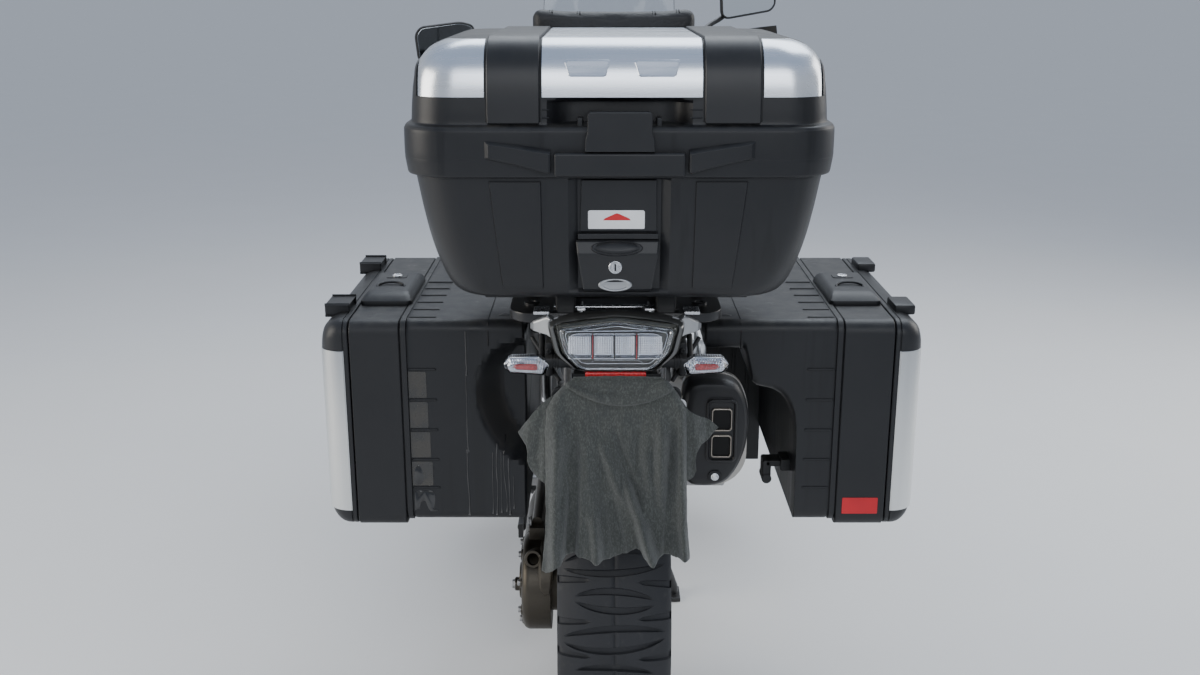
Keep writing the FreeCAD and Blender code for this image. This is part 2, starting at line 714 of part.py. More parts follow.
def engine_block():
    back = size.crankcase_back
    front = back + size.crankcase_length
    points = [at(-size.crankcase_half, ahead, z) for ahead, z in (
        (back, size.crankcase_low + 90), (back, 430), (back + 70, 500),
        (back + 190, size.crankcase_high - 20), (front - 120, size.crankcase_high - 20),
        (front, 500), (front, 270), (front - 60, size.crankcase_low),
        (back + 110, size.crankcase_low))]
    case = plate(points, 2 * size.crankcase_half)
    long_edges = [e for e in case.Edges if abs(e.tangentAt(e.FirstParameter).x) > 0.9]
    case = case.makeFillet(24, long_edges)
    x, z = FRONT_COVER
    cover = Part.makeCylinder(FRONT_COVER_RADIUS, 26, at(x, front - 4, z), Vector(0, 1, 0))
    cover = cover.makeFillet(9, [cover.Edges[0]])
    pieces = [case, cover]
    for index in range(COVER_BOLTS):
        turn = 2 * math.pi * (index + 0.5) / COVER_BOLTS
        reach = FRONT_COVER_RADIUS - 2
        place = at(x + reach * math.cos(turn), front - 4, z + reach * math.sin(turn))
        pieces.append(Part.makeCylinder(8, 18, place, Vector(0, 1, 0)))
    for ahead, height, radius, out in SIDE_COVERS:
        width = size.crankcase_half + out
        pieces.append(cross_rod(width, back + ahead, height, radius))
        pieces.append(cross_rod(width + 3, back + ahead, height, radius * 0.6))
    for ahead in SUMP_RIBS:
        rib = Part.makeBox(2 * size.crankcase_half - 40, 7, 20,
                           at(20 - size.crankcase_half, back + ahead, size.crankcase_low - 8))
        pieces.append(rib)
    shaped("engine_block", fused(pieces))


def cylinder(side):
    """One barrel with its fins, head and cover, towards +X before it is mirrored."""
    ahead = CYLINDER_AHEAD + side * size.cylinder_stagger / 2
    centre = at(0, ahead, size.cylinder_z)
    start = centre + Vector(size.crankcase_half, 0, 0)
    pieces = [Part.makeCylinder(size.cylinder_radius, size.head_start - size.crankcase_half,
                                start, Vector(1, 0, 0))]
    pitch = (size.head_start - size.crankcase_half) / (size.fin_count + 1)
    for index in range(int(size.fin_count)):
        x = size.crankcase_half + pitch * (index + 0.8)
        fin = Part.makeBox(5, 176, 164, centre + Vector(x, -88, -82))
        pieces.append(fin.makeFillet(30, [e for e in fin.Edges if abs(
            e.tangentAt(e.FirstParameter).x) > 0.9]))
    head = block(centre + Vector(size.head_start, -84, -78),
                 centre + Vector(size.head_end, 84, 78), 12)
    cover = Part.makeLoft([
        rounded_wire(70, -92, 92, 34, 0), rounded_wire(44, -64, 64, 30,
                                                       size.cover_end - size.head_end)],
        True, True)
    cover.rotate(Vector(0, 0, 0), Vector(0, 1, 0), 90)
    cover.translate(centre + Vector(size.head_end - 3, 0, 0))
    pieces.extend([head, cover])
    return fused(pieces)


def cylinders():
    shaped("cylinders", Part.Compound([cylinder(1), mirrored(cylinder(-1))]))


def airbox():
    low = at(-80, 690, 604)
    high = at(80, 1010, 776)
    peg = cross_rod(100, 930, 701, 8)
    shaped("airbox", fused([block(low, high, 16), peg]).cut(made_parts["main_frame"].Shape))


def radiators():
    low = at(RADIATOR_INNER, 1086, 690)
    high = at(RADIATOR_INNER + 66, 1132, 862)
    shaped("radiators", Part.Compound(both_sides(block(low, high, 6))))


def bash_plate():
    """The guard below the engine, hung from the crankcase on two posts."""
    points = [at(-98, ahead, z) for ahead, z in (
        (700, 124), (1056, 124), (1146, 202), (1158, 262), (1164, 261), (1151, 199),
        (1058, 118), (700, 118))]
    guard = plate(points, 196)
    posts = [Part.makeBox(30, 30, size.crankcase_low - 122, at(-15, ahead, 122))
             for ahead in (800, 960)]
    shaped("bash_plate", fused([guard] + posts).cut(made_parts["engine_block"].Shape))


HEADER_RUN = (
    # x, ahead of the cylinder, z
    (280, 118, 372), (268, 160, 330), (150, 152, 240), (96, 50, 168), (60, -100, 162),
    (34, -200, 162), (32, -260, 162),
)
LINK_RUN = ((0, 610, 164), (40, 550, 166), (56, 470, 205), (74, 410, 285),
            (128, 330, 400), (143, 268, 530), (143, 222, 590), (143, 150, 590))


def exhaust_pipes():
    """Two headers into a collector box, and one pipe up to the silencer."""
    right_header = tube([at(x, CYLINDER_AHEAD + ahead, z) for x, ahead, z in HEADER_RUN], 20)
    pieces = both_sides(right_header)
    for sign, side in ((1, 1), (-1, -1)):
        ahead = CYLINDER_AHEAD + side * size.cylinder_stagger / 2
        start = at(sign * 280, ahead + 84, 372)
        pieces.append(rod(start, at(sign * 280, CYLINDER_AHEAD + 130, 372), 23))
    pieces.append(block(at(-62, 600, 138), at(62, 720, 188), 12))
    pieces.append(tube([at(*place) for place in LINK_RUN], 24))
    shaped("exhaust_pipes", fused(pieces))


SILENCER_SECTIONS = (
    # ahead, x of the middle, z of the middle, half width, half height
    (150, 143, 590, 34, 34),
    (110, 143, 622, 52, 62),
    (-276, 143, 712, 50, 84),
)


OUTLET_HEIGHTS = (699, 740)
OUTLET_X = 151
OUTLET_HALF_WIDTH = 14
OUTLET_HALF_HEIGHT = 16


def oval_wire(ahead, x, z, half_width, half_height):
    """An upright rounded section across the machine: two arcs and two straight sides."""
    straight = max(half_height - half_width, 0.5)
    centre = at(x, ahead, z)
    top = centre + Vector(0, 0, straight)
    low = centre - Vector(0, 0, straight)
    across = Vector(half_width, 0, 0)
    up = Vector(0, 0, half_width)
    return Part.Wire([
        Part.Arc(top + across, top + up, top - across).toShape(),
        Part.makeLine(top - across, low - across),
        Part.Arc(low - across, low - up, low + across).toShape(),
        Part.makeLine(low + across, top + across)])


def silencer():
    wires = [oval_wire(*section) for section in SILENCER_SECTIONS]
    body = Part.makeLoft(wires[:2], True, True).fuse(Part.makeLoft(wires[1:], True, True))
    shaped("silencer", body.removeSplitter().cut(made_parts["rear_subframe"].Shape))
    cap = Part.makeLoft([oval_wire(-276, 143, 712, 50, 84), oval_wire(-300, 143, 716, 44, 76)],
                        True, True)
    for z in OUTLET_HEIGHTS:
        low = at(OUTLET_X - OUTLET_HALF_WIDTH, -312, z - OUTLET_HALF_HEIGHT)
        high = at(OUTLET_X + OUTLET_HALF_WIDTH, -284, z + OUTLET_HALF_HEIGHT)
        cap = cap.cut(block(low, high, 6))
    shaped("silencer_end_cap", cap)


# Tank, seats and bodywork

def side_profile(label, points, half, radius, chooser=None):
    """A piece cut from its side view, with its long edges rounded."""
    solid = plate([at(-half, ahead, z) for ahead, z in points], 2 * half)
    edges = [e for e in solid.Edges if abs(e.tangentAt(e.FirstParameter).x) < 0.5]
    if chooser:
        edges = [e for e in edges if chooser(e.CenterOfMass)]
    return solid.makeFillet(radius, edges)


TANK_SECTIONS = (
    # ahead, half of the section from the middle of its underside to the middle of its top
    (690, ((0, 802), (60, 802), (92, 812), (98, 836), (84, 860), (50, 870), (0, 872))),
    (750, ((0, 803), (80, 803), (118, 818), (126, 872), (104, 924), (56, 944), (0, 948))),
    (840, ((0, 806), (100, 806), (158, 826), (172, 884), (142, 956), (74, 988), (0, 994))),
    (930, ((0, 840), (110, 842), (184, 858), (204, 904), (172, 968), (88, 1000), (0, 1005))),
    (1000, ((0, 884), (110, 886), (188, 896), (206, 926), (176, 968), (92, 990), (0, 995))),
    (1030, ((0, 905), (96, 908), (160, 914), (178, 932), (154, 956), (84, 972), (0, 976))),
)
FILLER = (0, 930, 1000)
FILLER_RADIUS = 36


def fuel_tank():
    tank = sculpted(TANK_SECTIONS, at)
    cap = Part.makeCylinder(FILLER_RADIUS, 10, at(*FILLER), Vector(0, 0, 1))
    shaped("fuel_tank", fused([tank, cap]))


RIDER_SEAT = (
    # ahead, half width, underside, top
    (292, 112, 852, 876), (330, 123, 842, 882), (430, 125, 814, 872), (520, 118, 792, 860),
    (610, 100, 796, 862), (686, 84, 812, 872),
)
PILLION_SEAT = (
    (-38, 112, 878, 898), (20, 136, 872, 910), (120, 140, 864, 912), (220, 134, 852, 909),
    (284, 112, 852, 884),
)


def seat_half(half, low, high):
    """Half of a cushion's section: flat below, full at the side, a little crowned."""
    rise = high - low
    return ((0, low), (half * 0.7, low), (half * 0.97, low + 0.22 * rise),
            (half, low + 0.55 * rise), (half * 0.88, high - 0.12 * rise),
            (half * 0.5, high), (0, high))


def seats():
    for label, rows in (("rider_seat", RIDER_SEAT), ("pillion_seat", PILLION_SEAT)):
        sections = [(ahead, seat_half(half, low, high)) for ahead, half, low, high in rows]
        shaped(label, sculpted(sections, at))


NOSE_SECTIONS = (
    (1366, ((0, 858), (116, 858), (146, 880), (152, 955), (122, 1032), (60, 1047), (0, 1049))),
    (1405, ((0, 852), (106, 852), (139, 876), (143, 946), (110, 1016), (52, 1032), (0, 1034))),
    (1440, ((0, 849), (84, 849), (116, 868), (120, 932), (92, 990), (44, 1004), (0, 1006))),
)
BEAK_SECTIONS = (
    (1386, ((0, 768), (84, 768), (106, 800), (104, 846), (60, 862), (0, 864))),
    (1480, ((0, 756), (66, 756), (84, 776), (76, 806), (40, 818), (0, 820))),
    (1570, ((0, 748), (42, 748), (55, 760), (50, 776), (26, 784), (0, 786))),
    (1638, ((0, 744), (24, 744), (33, 750), (30, 758), (16, 762), (0, 762))),
)
LAMP_LOW = (-92, 1362, 868)
LAMP_HIGH = (92, 1436, 972)
LAMP_GAP = 0.3


def nose_cowl():
    """The front cowl round the headlamp, with the beak below it."""
    outer = sculpted(NOSE_SECTIONS, ahead_of_head)
    gap = Vector(LAMP_GAP, 0, LAMP_GAP)
    low = ahead_of_head(*LAMP_LOW) - gap - Vector(0, 12, 0)
    high = ahead_of_head(*LAMP_HIGH) + gap + Vector(0, 14, 0)
    hollow = block(low, high)
    beak = sculpted(BEAK_SECTIONS, ahead_of_head)
    shaped("nose_cowl", fused([outer.cut(hollow), beak]).cut(made_parts["main_frame"].Shape))


SIDE_PANEL = ((1010, 792), (1012, 900), (1060, 985), (1190, 1008), (1366, 1030), (1366, 868),
              (1270, 800), (1180, 756), (1080, 744))
SIDE_PANEL_MIDDLE = (1186, 886)
SIDE_PANEL_THICK = 16
SIDE_PANEL_TURN = 12
SIDE_PANEL_STEPS = (
    # out, share of the outline
    (16, 0.90), (27, 0.80), (31, 0.66),
)


def panel_outline(out, share):
    ahead0, z0 = SIDE_PANEL_MIDDLE
    points = [ahead_of_head(out, ahead0 + (ahead - ahead0) * share, z0 + (z - z0) * share)
              for ahead, z in SIDE_PANEL]
    return Part.makePolygon(points + points[:1])


def side_panels():
    """A cowl each side from the nose to the tank, outside the turning fork."""
    panel = plate([ahead_of_head(0, ahead, z) for ahead, z in SIDE_PANEL], SIDE_PANEL_THICK)
    raised = Part.makeLoft([panel_outline(*step) for step in SIDE_PANEL_STEPS], True, True)
    panel = fused([panel, raised])
    panel.rotate(ahead_of_head(0, 1366, 0), Vector(0, 0, 1), SIDE_PANEL_TURN)
    panel.translate(Vector(160.3, 0, 0))
    peg = rod(at(RADIATOR_INNER + 66.3, 1108, 800), at(222, 1108, 800), 9)
    shaped("side_panels", Part.Compound(both_sides(fused([panel, peg]))))


def headlamp():
    lamp = block(ahead_of_head(*LAMP_LOW), ahead_of_head(*LAMP_HIGH), 14)
    shaped("headlamp", lamp.cut(made_parts["main_frame"].Shape))


def windscreen():
    """A curved clear screen, leaning back from the nose."""
    def arc_at(z, ahead, half, bow, inset):
        middle = ahead_of_head(0, ahead - inset, z)
        side = Vector(half - inset, -bow, 0)
        return Part.Arc(middle + Vector(side.x, side.y, 0), middle,
                        middle + Vector(-side.x, side.y, 0)).toShape()
    places = ((1036, 1365.7, 176, 80), (1410, 1150, 150, 62))
    outer = Part.makeRuledSurface(arc_at(*places[0], 0), arc_at(*places[1], 0))
    shaped("windscreen", outer.extrude(Vector(0, -5, 0)))


def instrument_panel():
    body = block(Vector(-88, -24, -40), Vector(88, 24, 40), 10)
    body.rotate(Vector(0, 0, 0), Vector(1, 0, 0), -28)
    body.translate(ahead_of_head(0, 1256, 1092))
    stalk = tube([ahead_of_head(0, 1262, 1076), ahead_of_head(0, 1300, 1030),
                  ahead_of_head(0, 1366, 990)], 10)
    shaped("instrument_panel", fused([body, stalk]).cut(made_parts["nose_cowl"].Shape))


# Tail

def luggage_rack():
    deck = block(at(-150, -322, 888), at(150, -52, 903), 6)
    window = block(at(-96, -240, 880), at(96, -90, 910))
    posts = [rod(at(x, ahead, 903), at(x, ahead, size.case_low - 0.3), 14)
             for x in (-68, 68) for ahead in (-296, -70)]
    feet = [Part.makeBox(20, 24, 26, at(x - 10, ahead, 864))
            for x in (-94, 94) for ahead in (-280, -100)]
    solid = fused([deck.cut(window)] + posts + feet)
    shaped("luggage_rack", solid.cut(made_parts["rear_subframe"].Shape))


def tail_cowl():
    points = ((-364, 834), (-368, 884), (-300, 886), (-46, 872), (-46, 850), (-160, 812),
              (-300, 800))
    cowl = side_profile("tail_cowl", points, 96, 8, lambda c: c.z < 860)
    cowl = cowl.cut([made_parts[n].Shape for n in ("rear_subframe", "luggage_rack")])
    shaped("tail_cowl", max(cowl.Solids, key=lambda s: s.Volume))


LAMP_OUTLINE = ((-52, 838), (-78, 862), (-88, 901), (0, 912), (88, 901), (78, 862), (52, 838))
LENS_OUTLINE = ((-47, 842), (-68, 864), (-77, 898), (0, 908), (77, 898), (68, 864), (47, 842))
INDICATOR_OUTLINE = ((100, 838), (97, 846), (108, 858), (146, 854), (154, 846), (147, 837))
INDICATOR_LENS = ((108, 840), (100, 846), (112, 855), (143, 851), (149, 846), (144, 840))


def upright_polygon(ahead, outline):
    points = [at(x, ahead, z) for x, z in outline]
    return Part.makePolygon(points + points[:1])


def rear_lamps():
    lamp = Part.makeLoft([upright_polygon(-368.3, LAMP_OUTLINE),
                          upright_polygon(-392, LENS_OUTLINE)], True, True)
    indicator = Part.makeLoft([upright_polygon(-362, INDICATOR_OUTLINE),
                               upright_polygon(-378, INDICATOR_OUTLINE),
                               upright_polygon(-392, INDICATOR_LENS)], True, True)
    stem = rod(at(96.3, -352, 846), at(112, -370, 846), 7)
    one = fused([indicator, stem]).cut(made_parts["tail_cowl"].Shape)
    one = max(one.Solids, key=lambda s: s.Volume)
    shaped("rear_lamps", Part.Compound([lamp] + both_sides(one)))


def plate_holder():
    arm = plate([at(-60, ahead, z) for ahead, z in (
        (-250, 800), (-372, 822), (-386, 836), (-392, 836), (-392, 620), (-384, 620),
        (-384, 800), (-340, 790), (-250, 770))], 120)
    arm = arm.cut(made_parts["tail_cowl"].Shape).cut(made_parts["rear_subframe"].Shape)
    arm = arm.cut(made_parts["rear_lamps"].Shape)
    shaped("plate_holder", max(arm.Solids, key=lambda s: s.Volume))
    number_plate = primitive(
        "Box", "number_plate", Length="plate_width", Width="2", Height="plate_height",
        x="-plate_width / 2", y="rear_axle_y + plate_back", z="plate_low")
    keep(number_plate, "number_plate")
    cloth = primitive(
        "Box", "plate_cloth", Length="plate_width", Width="6", Height="cloth_drop",
        x="-plate_width / 2 - 2", y="rear_axle_y + plate_back - 6.3", z="plate_low - 60")
    keep(cloth, "plate_cloth")


# Swingarm and drive

def swingarm():
    pivot = cross_rod(size.frame_half - size.plate_thickness / 2 - 0.5, size.pivot_ahead,
                      size.pivot_z, 22)
    arm = tube([at(-52, size.pivot_ahead, size.pivot_z), at(-56, 515, 337),
                at(-129, 345, 343), at(-129, 90, 341)], 34, 0.42)
    lug = rod(at(-100, *SHOCK_FOOT), at(-21, *SHOCK_FOOT), 17)
    pin = rod(at(-100, *SHOCK_FOOT), at(24, *SHOCK_FOOT), 8)
    bolt = cross_rod(size.frame_half + size.plate_thickness / 2, size.pivot_ahead,
                     size.pivot_z, 9)
    plate_face = size.frame_half + size.plate_thickness / 2
    torque = rod(at(-131, 8, 440), at(-plate_face - 11, 548, 445), 9)
    torque_pin = rod(at(-plate_face - 20, 552, 445), at(-plate_face - 0.3, 552, 445), 11)
    shaped("swingarm", fused([pivot, arm, lug, pin, bolt]))
    shaped("torque_arm", fused([torque, torque_pin]))


def final_drive():
    """The housing beside the hub, with the stub axle that carries the wheel."""
    x = -156
    housing = Part.makeCylinder(84, 50, Vector(x, 0, 0), Vector(1, 0, 0))
    housing = housing.makeFillet(14, [housing.Edges[0]] if housing.Edges[0].CenterOfMass.x < -150 else [housing.Edges[2]])
    neck = Part.makeCylinder(30, 60, Vector(-129, 29.7, 8), Vector(0, 1, 0))
    lug = Part.makeBox(26, 30, 34, Vector(-144, -12, 70))
    inner = size.rear_hub_half + size.disc_seat + size.disc_thickness
    boss = Part.makeCylinder(52, 106 - inner - 6, Vector(-106, 0, 0), Vector(1, 0, 0))
    axle = Part.makeCylinder(size.rear_axle_radius, 106 + size.rear_hub_half + 6, Vector(-106, 0, 0), Vector(1, 0, 0))
    nut = Part.makeCylinder(34, 10, Vector(size.rear_hub_half + 5.5, 0, 0), Vector(1, 0, 0))
    plug = Part.makeCylinder(12, 16, Vector(x - 16, 24, -20), Vector(1, 0, 0))
    hollow = Part.makeCylinder(size.axle_hole_radius, 160,
                               Vector(size.rear_hub_half + 15.5 - 160, 0, 0), Vector(1, 0, 0))
    solid = fused([housing, neck, lug, boss, axle, nut, plug]).cut(hollow)
    solid.translate(REAR_AXLE)
    shaped("final_drive", solid.cut(made_parts["torque_arm"].Shape))


SPRING_RADIUS = 31
SPRING_WIRE = 6.5
SPRING_TURNS = 10


def spring_stack(start, finish):
    """The coils as rounded ridges turned about the line between two points."""
    line = (finish - start).normalize()
    length = (finish - start).Length
    pitch = length / SPRING_TURNS
    outline = [(0, 0), (SPRING_RADIUS, 0)]
    for turn in range(SPRING_TURNS):
        middle = pitch * (turn + 0.5)
        for angle in (-90, -50, -16, 16, 50, 90):
            turned = math.radians(angle)
            outline.append((SPRING_RADIUS + SPRING_WIRE * math.cos(turned),
                            middle + SPRING_WIRE * math.sin(turned)))
    outline += [(SPRING_RADIUS, length), (0, length), (0, 0)]
    side = Vector(1, 0, 0)
    wire = Part.makePolygon([start + side * radius + line * along for radius, along in outline])
    return Part.Face(wire).revolve(start, line, 360)


def rear_shock():
    """The shock absorber from the swingarm's pin up to the frame's cross tube."""
    low = at(0, *SHOCK_FOOT)
    high = at(0, *SHOCK_TOP)
    line = (high - low).normalize()
    low_eye = cross_rod(19, *SHOCK_FOOT, 18).cut(cross_rod(22, *SHOCK_FOOT, 8.3))
    tube_gap = size.subframe_tube + size.bore_gap
    high_eye = cross_rod(19, *SHOCK_TOP, 24).cut(cross_rod(22, *SHOCK_TOP, tube_gap))
    lower = rod(low + line * 15, low + line * 80, 17)
    plates = [rod(start, start + line * 7, SPRING_RADIUS + SPRING_WIRE + 1.5)
              for start in (low + line * 73, high - line * 80)]
    upper = rod(high - line * 80, high - line * 20, 30)
    spring = spring_stack(low + line * 79, high - line * 79)
    shaped("rear_shock", fused([low_eye, lower, spring, upper, high_eye] + plates))


def footpegs():
    outer = size.frame_half + size.plate_thickness / 2
    ahead = size.pivot_ahead - 54
    bracket = plate([at(outer, a, z) for a, z in (
        (ahead - 14, 300), (ahead - 14, 332), (size.pivot_ahead + 20, 372),
        (size.pivot_ahead + 20, 350), (ahead + 16, 300))], 8)
    peg = block(at(outer, ahead - 16, 304), at(outer + 125, ahead + 16, 326), 6)
    rider = fused([bracket, peg])
    pillion = fused([block(at(115.3, 322, 474), at(225, 348, 492), 5)])
    shaped("footpegs", Part.Compound(both_sides(rider) + both_sides(pillion)))


# Luggage

def case_section(inset, half, back, front, radius, z):
    """One level section of the top case, drawn in by a wall's thickness."""
    return (half - inset, size.rear_axle_y + back + inset, size.rear_axle_y + front - inset,
            radius - inset, z)


def lid_solid(inset, top_drop):
    half = size.case_width / 2
    low = CASE_RIM + size.lid_gap
    middle = low + 50
    sections = (
        (half, size.case_back, size.case_front, 62, low),
        (half - 1, size.case_back + 1, size.case_front - 1, 61, middle),
        (size.lid_top_half, size.case_back + BASE_LEAN - 2, size.case_front - 12, 56,
         CASE_HIGH))
    placed = [case_section(inset, *section) for section in sections]
    placed[-1] = placed[-1][:-1] + (CASE_HIGH - top_drop,)
    solid = level_loft(placed[:2]).fuse(level_loft(placed[1:])).removeSplitter()
    top = CASE_HIGH - top_drop
    edges = [e for e in solid.Edges if abs(e.CenterOfMass.z - top) < 1]
    return solid.makeFillet(20, edges)


PANEL_EDGE = CASE_RIM + 77
PANEL_SKIN = 2
STRAPS = ((-168, -101), (107, 178))
STRAP_PROUD = 3.4
STRAP_REAR_LOW = CASE_RIM + 46
STRAP_FRONT_LOW = CASE_RIM + 80
BASE_LEAN = 30
RIBS = ((-160, 60), (98, 60))
LATCH_HALF = 83
WINGS = (
    # x, how far out, lowest, highest
    (168, 2, 1.6, 24), (88, 11, 1.6, 12),
)


def base_face(z):
    """How far back the base's rear face stands at a height above the floor."""
    share = (CASE_RIM - z) / size.case_base_height
    return size.case_back + BASE_LEAN * share


def on_base(x, width, profile):
    """A form across the base's rear face: pairs of height below the rim and how far out."""
    points = [at(x, base_face(CASE_RIM - drop) - out, CASE_RIM - drop) for drop, out in profile]
    return plate(points, width)


def base_fittings():
    """The two ribs, the plate under the latch, the lock's housing and the lock."""
    pieces = [on_base(x, width, ((173, -2), (173, 2.6), (27, 2.6), (27, -2)))
              for x, width in RIBS]
    pieces.append(on_base(-50, 100, ((98, -2), (98, 1.2), (27, 1.2), (27, -2))))
    pieces.append(on_base(-53, 104, ((179, -2), (178, 5), (124, 7), (108, -2))))
    lock = CASE_RIM - 142
    face = at(-5, base_face(lock), lock)
    pieces.append(rod(face, face - Vector(0, 9, 0), 8.5))
    return pieces


def lid_fittings():
    """The latch bar, its flap and two wings, all clear of the base."""
    back = size.case_back
    bar = plate([at(-LATCH_HALF, ahead, CASE_RIM + up) for ahead, up in (
        (back - 11, -19), (back - 0.6, -19), (back - 0.6, 1), (back + 2, 2), (back + 2, 11),
        (back - 11, 11))], 2 * LATCH_HALF)
    flap = plate([at(-42, ahead, CASE_RIM + up) for ahead, up in (
        (back + 3, 10), (back - 4, 10), (back - 2, 58), (back + 8, 61))], 84)
    wing_ends = []
    for x, out, low, high in WINGS:
        wing_ends.append(Part.makePolygon([at(x, ahead, CASE_RIM + up) for ahead, up in (
            (back + 2, low), (back - out, low), (back - out, high), (back + 2, high),
            (back + 2, low))]))
    return [bar, flap] + both_sides(Part.makeLoft(wing_ends, True, True))


def top_case():
    half = size.case_width / 2
    wall = size.case_wall
    outside = ((size.case_bottom_half, size.case_back + BASE_LEAN, size.case_front - 14, 50,
                size.case_low), (half, size.case_back, size.case_front, 62, CASE_RIM))
    shell = level_loft([case_section(0, *section) for section in outside])
    inner = [case_section(wall, *section) for section in outside]
    inner[0] = inner[0][:-1] + (size.case_low + wall,)
    shell = shell.cut(level_loft(inner))
    hinge = rod(at(-150, size.case_front + 9, CASE_RIM - 6),
                at(150, size.case_front + 9, CASE_RIM - 6), 7)
    arms = [Part.makeBox(40, 14, 22, at(x, size.case_front - 4, CASE_RIM - 24))
            for x in (-150, 110)]
    inner_space = level_loft(inner)
    shell = fused([shell] + [form.cut(inner_space) for form in arms + base_fittings()])
    shell = shell.fuse(hinge)
    lid = lid_solid(0, 0)
    thin = lid_solid(PANEL_SKIN, PANEL_SKIN)
    below = Part.makeBox(900, 900, 500, at(-450, -600, PANEL_EDGE - 500))
    above = Part.makeBox(900, 900, 500, at(-450, -600, PANEL_EDGE))
    cavity = lid_solid(wall + PANEL_SKIN, wall + PANEL_SKIN)
    body = lid.common(below).fuse(thin.common(above)).removeSplitter()
    straps = [Part.makeBox(x1 - x0, 900, 500, at(x0, -600, PANEL_EDGE)) for x0, x1 in STRAPS]
    skin = lid.common(above).cut([thin] + straps)
    proud = lid_solid(-STRAP_PROUD, -STRAP_PROUD).cut(thin)
    middle = (size.case_back + size.case_front) / 2
    bands = []
    for x0, x1 in STRAPS:
        bands.append(Part.makeBox(x1 - x0, 500, 500, at(x0, middle - 500, STRAP_REAR_LOW)))
        bands.append(Part.makeBox(x1 - x0, 500, 500, at(x0, middle, STRAP_FRONT_LOW)))
    body = body.fuse([proud.common(band) for band in bands] + lid_fittings()).cut(cavity)
    knuckle = rod(at(-104, size.case_front + 9, CASE_RIM - 6),
                  at(104, size.case_front + 9, CASE_RIM - 6), 7.5)
    bore = rod(at(-106, size.case_front + 9, CASE_RIM - 6),
               at(106, size.case_front + 9, CASE_RIM - 6), 3)
    lid_arm = Part.makeBox(208, 15, 26, at(-104, size.case_front - 2.3, CASE_RIM + 2.6))
    pin = rod(at(-150, size.case_front + 9, CASE_RIM - 6),
              at(150, size.case_front + 9, CASE_RIM - 6), 2.7)
    gap_zone = rod(at(-105, size.case_front + 9, CASE_RIM - 6),
                   at(105, size.case_front + 9, CASE_RIM - 6), 8)
    base = shell.cut(gap_zone).fuse(pin)
    shaped("topcase_base", base)
    leaf = Part.makeBox(208, 7, 16, at(-104, size.case_front + 4, CASE_RIM - 6))
    hung = fused([knuckle, leaf, lid_arm]).cut([bore, cavity])
    lid_shape = body.fuse(hung)
    shaped("topcase_lid", lid_shape)
    shaped("topcase_panels", Part.Compound(skin.Solids))
    pad = block(at(-136, size.case_front - 0.7, CASE_RIM + 34),
                at(136, size.case_front + 38, CASE_HIGH + 30), 15)
    shaped("backrest_pad", pad)


def pannier_block(low_x, high_x, inset, rounding):
    low = at(low_x + inset, size.pannier_back + inset, size.pannier_low + inset)
    high = at(high_x - inset, size.pannier_back + size.pannier_length - inset,
              size.pannier_high - inset)
    return block(low, high, rounding)


SLOT_HEIGHTS = (581, 628, 677, 726, 775)
TOP_RIBS = (-150, -104, -58, -12, 34, 80)
RIB_SHARE = 0.3
RIB_GAP_SHARE = 0.07
HANDLE = (-78, 92, 18)
LID_EYES = (-118, 176)


def pannier_ribs(outer):
    """The ribs behind and on top, and the raised handle block, for a body towards +X."""
    split = outer - size.pannier_lid_depth
    room = split - (size.silencer_notch - (size.pannier_outer - outer))
    step = split - size.pannier_band_share * room
    length = RIB_SHARE * room
    start = step - length - RIB_GAP_SHARE * room
    pieces = [Part.makeBox(length, 5, 4, at(start, size.pannier_back - 1.4, z - 2))
              for z in SLOT_HEIGHTS]
    pieces += [Part.makeBox(length, 4, 5, at(start, ahead - 2, size.pannier_high - 3.6))
               for ahead in TOP_RIBS]
    back, front, rise = HANDLE
    low = at(step, back, size.pannier_high - 3)
    high = at(split - 3, front, size.pannier_high + rise)
    pieces.append(block(low, high, 7))
    return pieces


def lid_eyes(outer):
    """Two blocks on the lid's outer top edge that a strap is tied to."""
    return [block(at(outer - 36, ahead, size.pannier_high - 5),
                  at(outer - 4, ahead + 58, size.pannier_high + 11), 2) for ahead in LID_EYES]


def pannier_outer_solid(inset, notch, outer):
    solid = pannier_block(size.pannier_inner, outer, inset, 22)
    if notch:
        for x, z, rounding in ((size.silencer_notch, size.silencer_notch_high - 56, 58),
                               (206, size.silencer_notch_high + 8, 40)):
            start = at(size.pannier_inner - 70, size.pannier_back - 40, size.pannier_low - 70)
            finish = at(x + inset, size.pannier_back + size.pannier_length + 40, z + inset)
            cut = block(start, finish)
            corner = [e for e in cut.Edges if abs(e.tangentAt(e.FirstParameter).y) > 0.9
                      and e.CenterOfMass.x > finish.x - 1 and e.CenterOfMass.z > finish.z - 1]
            solid = solid.cut(cut.makeFillet(rounding, corner))
    return solid


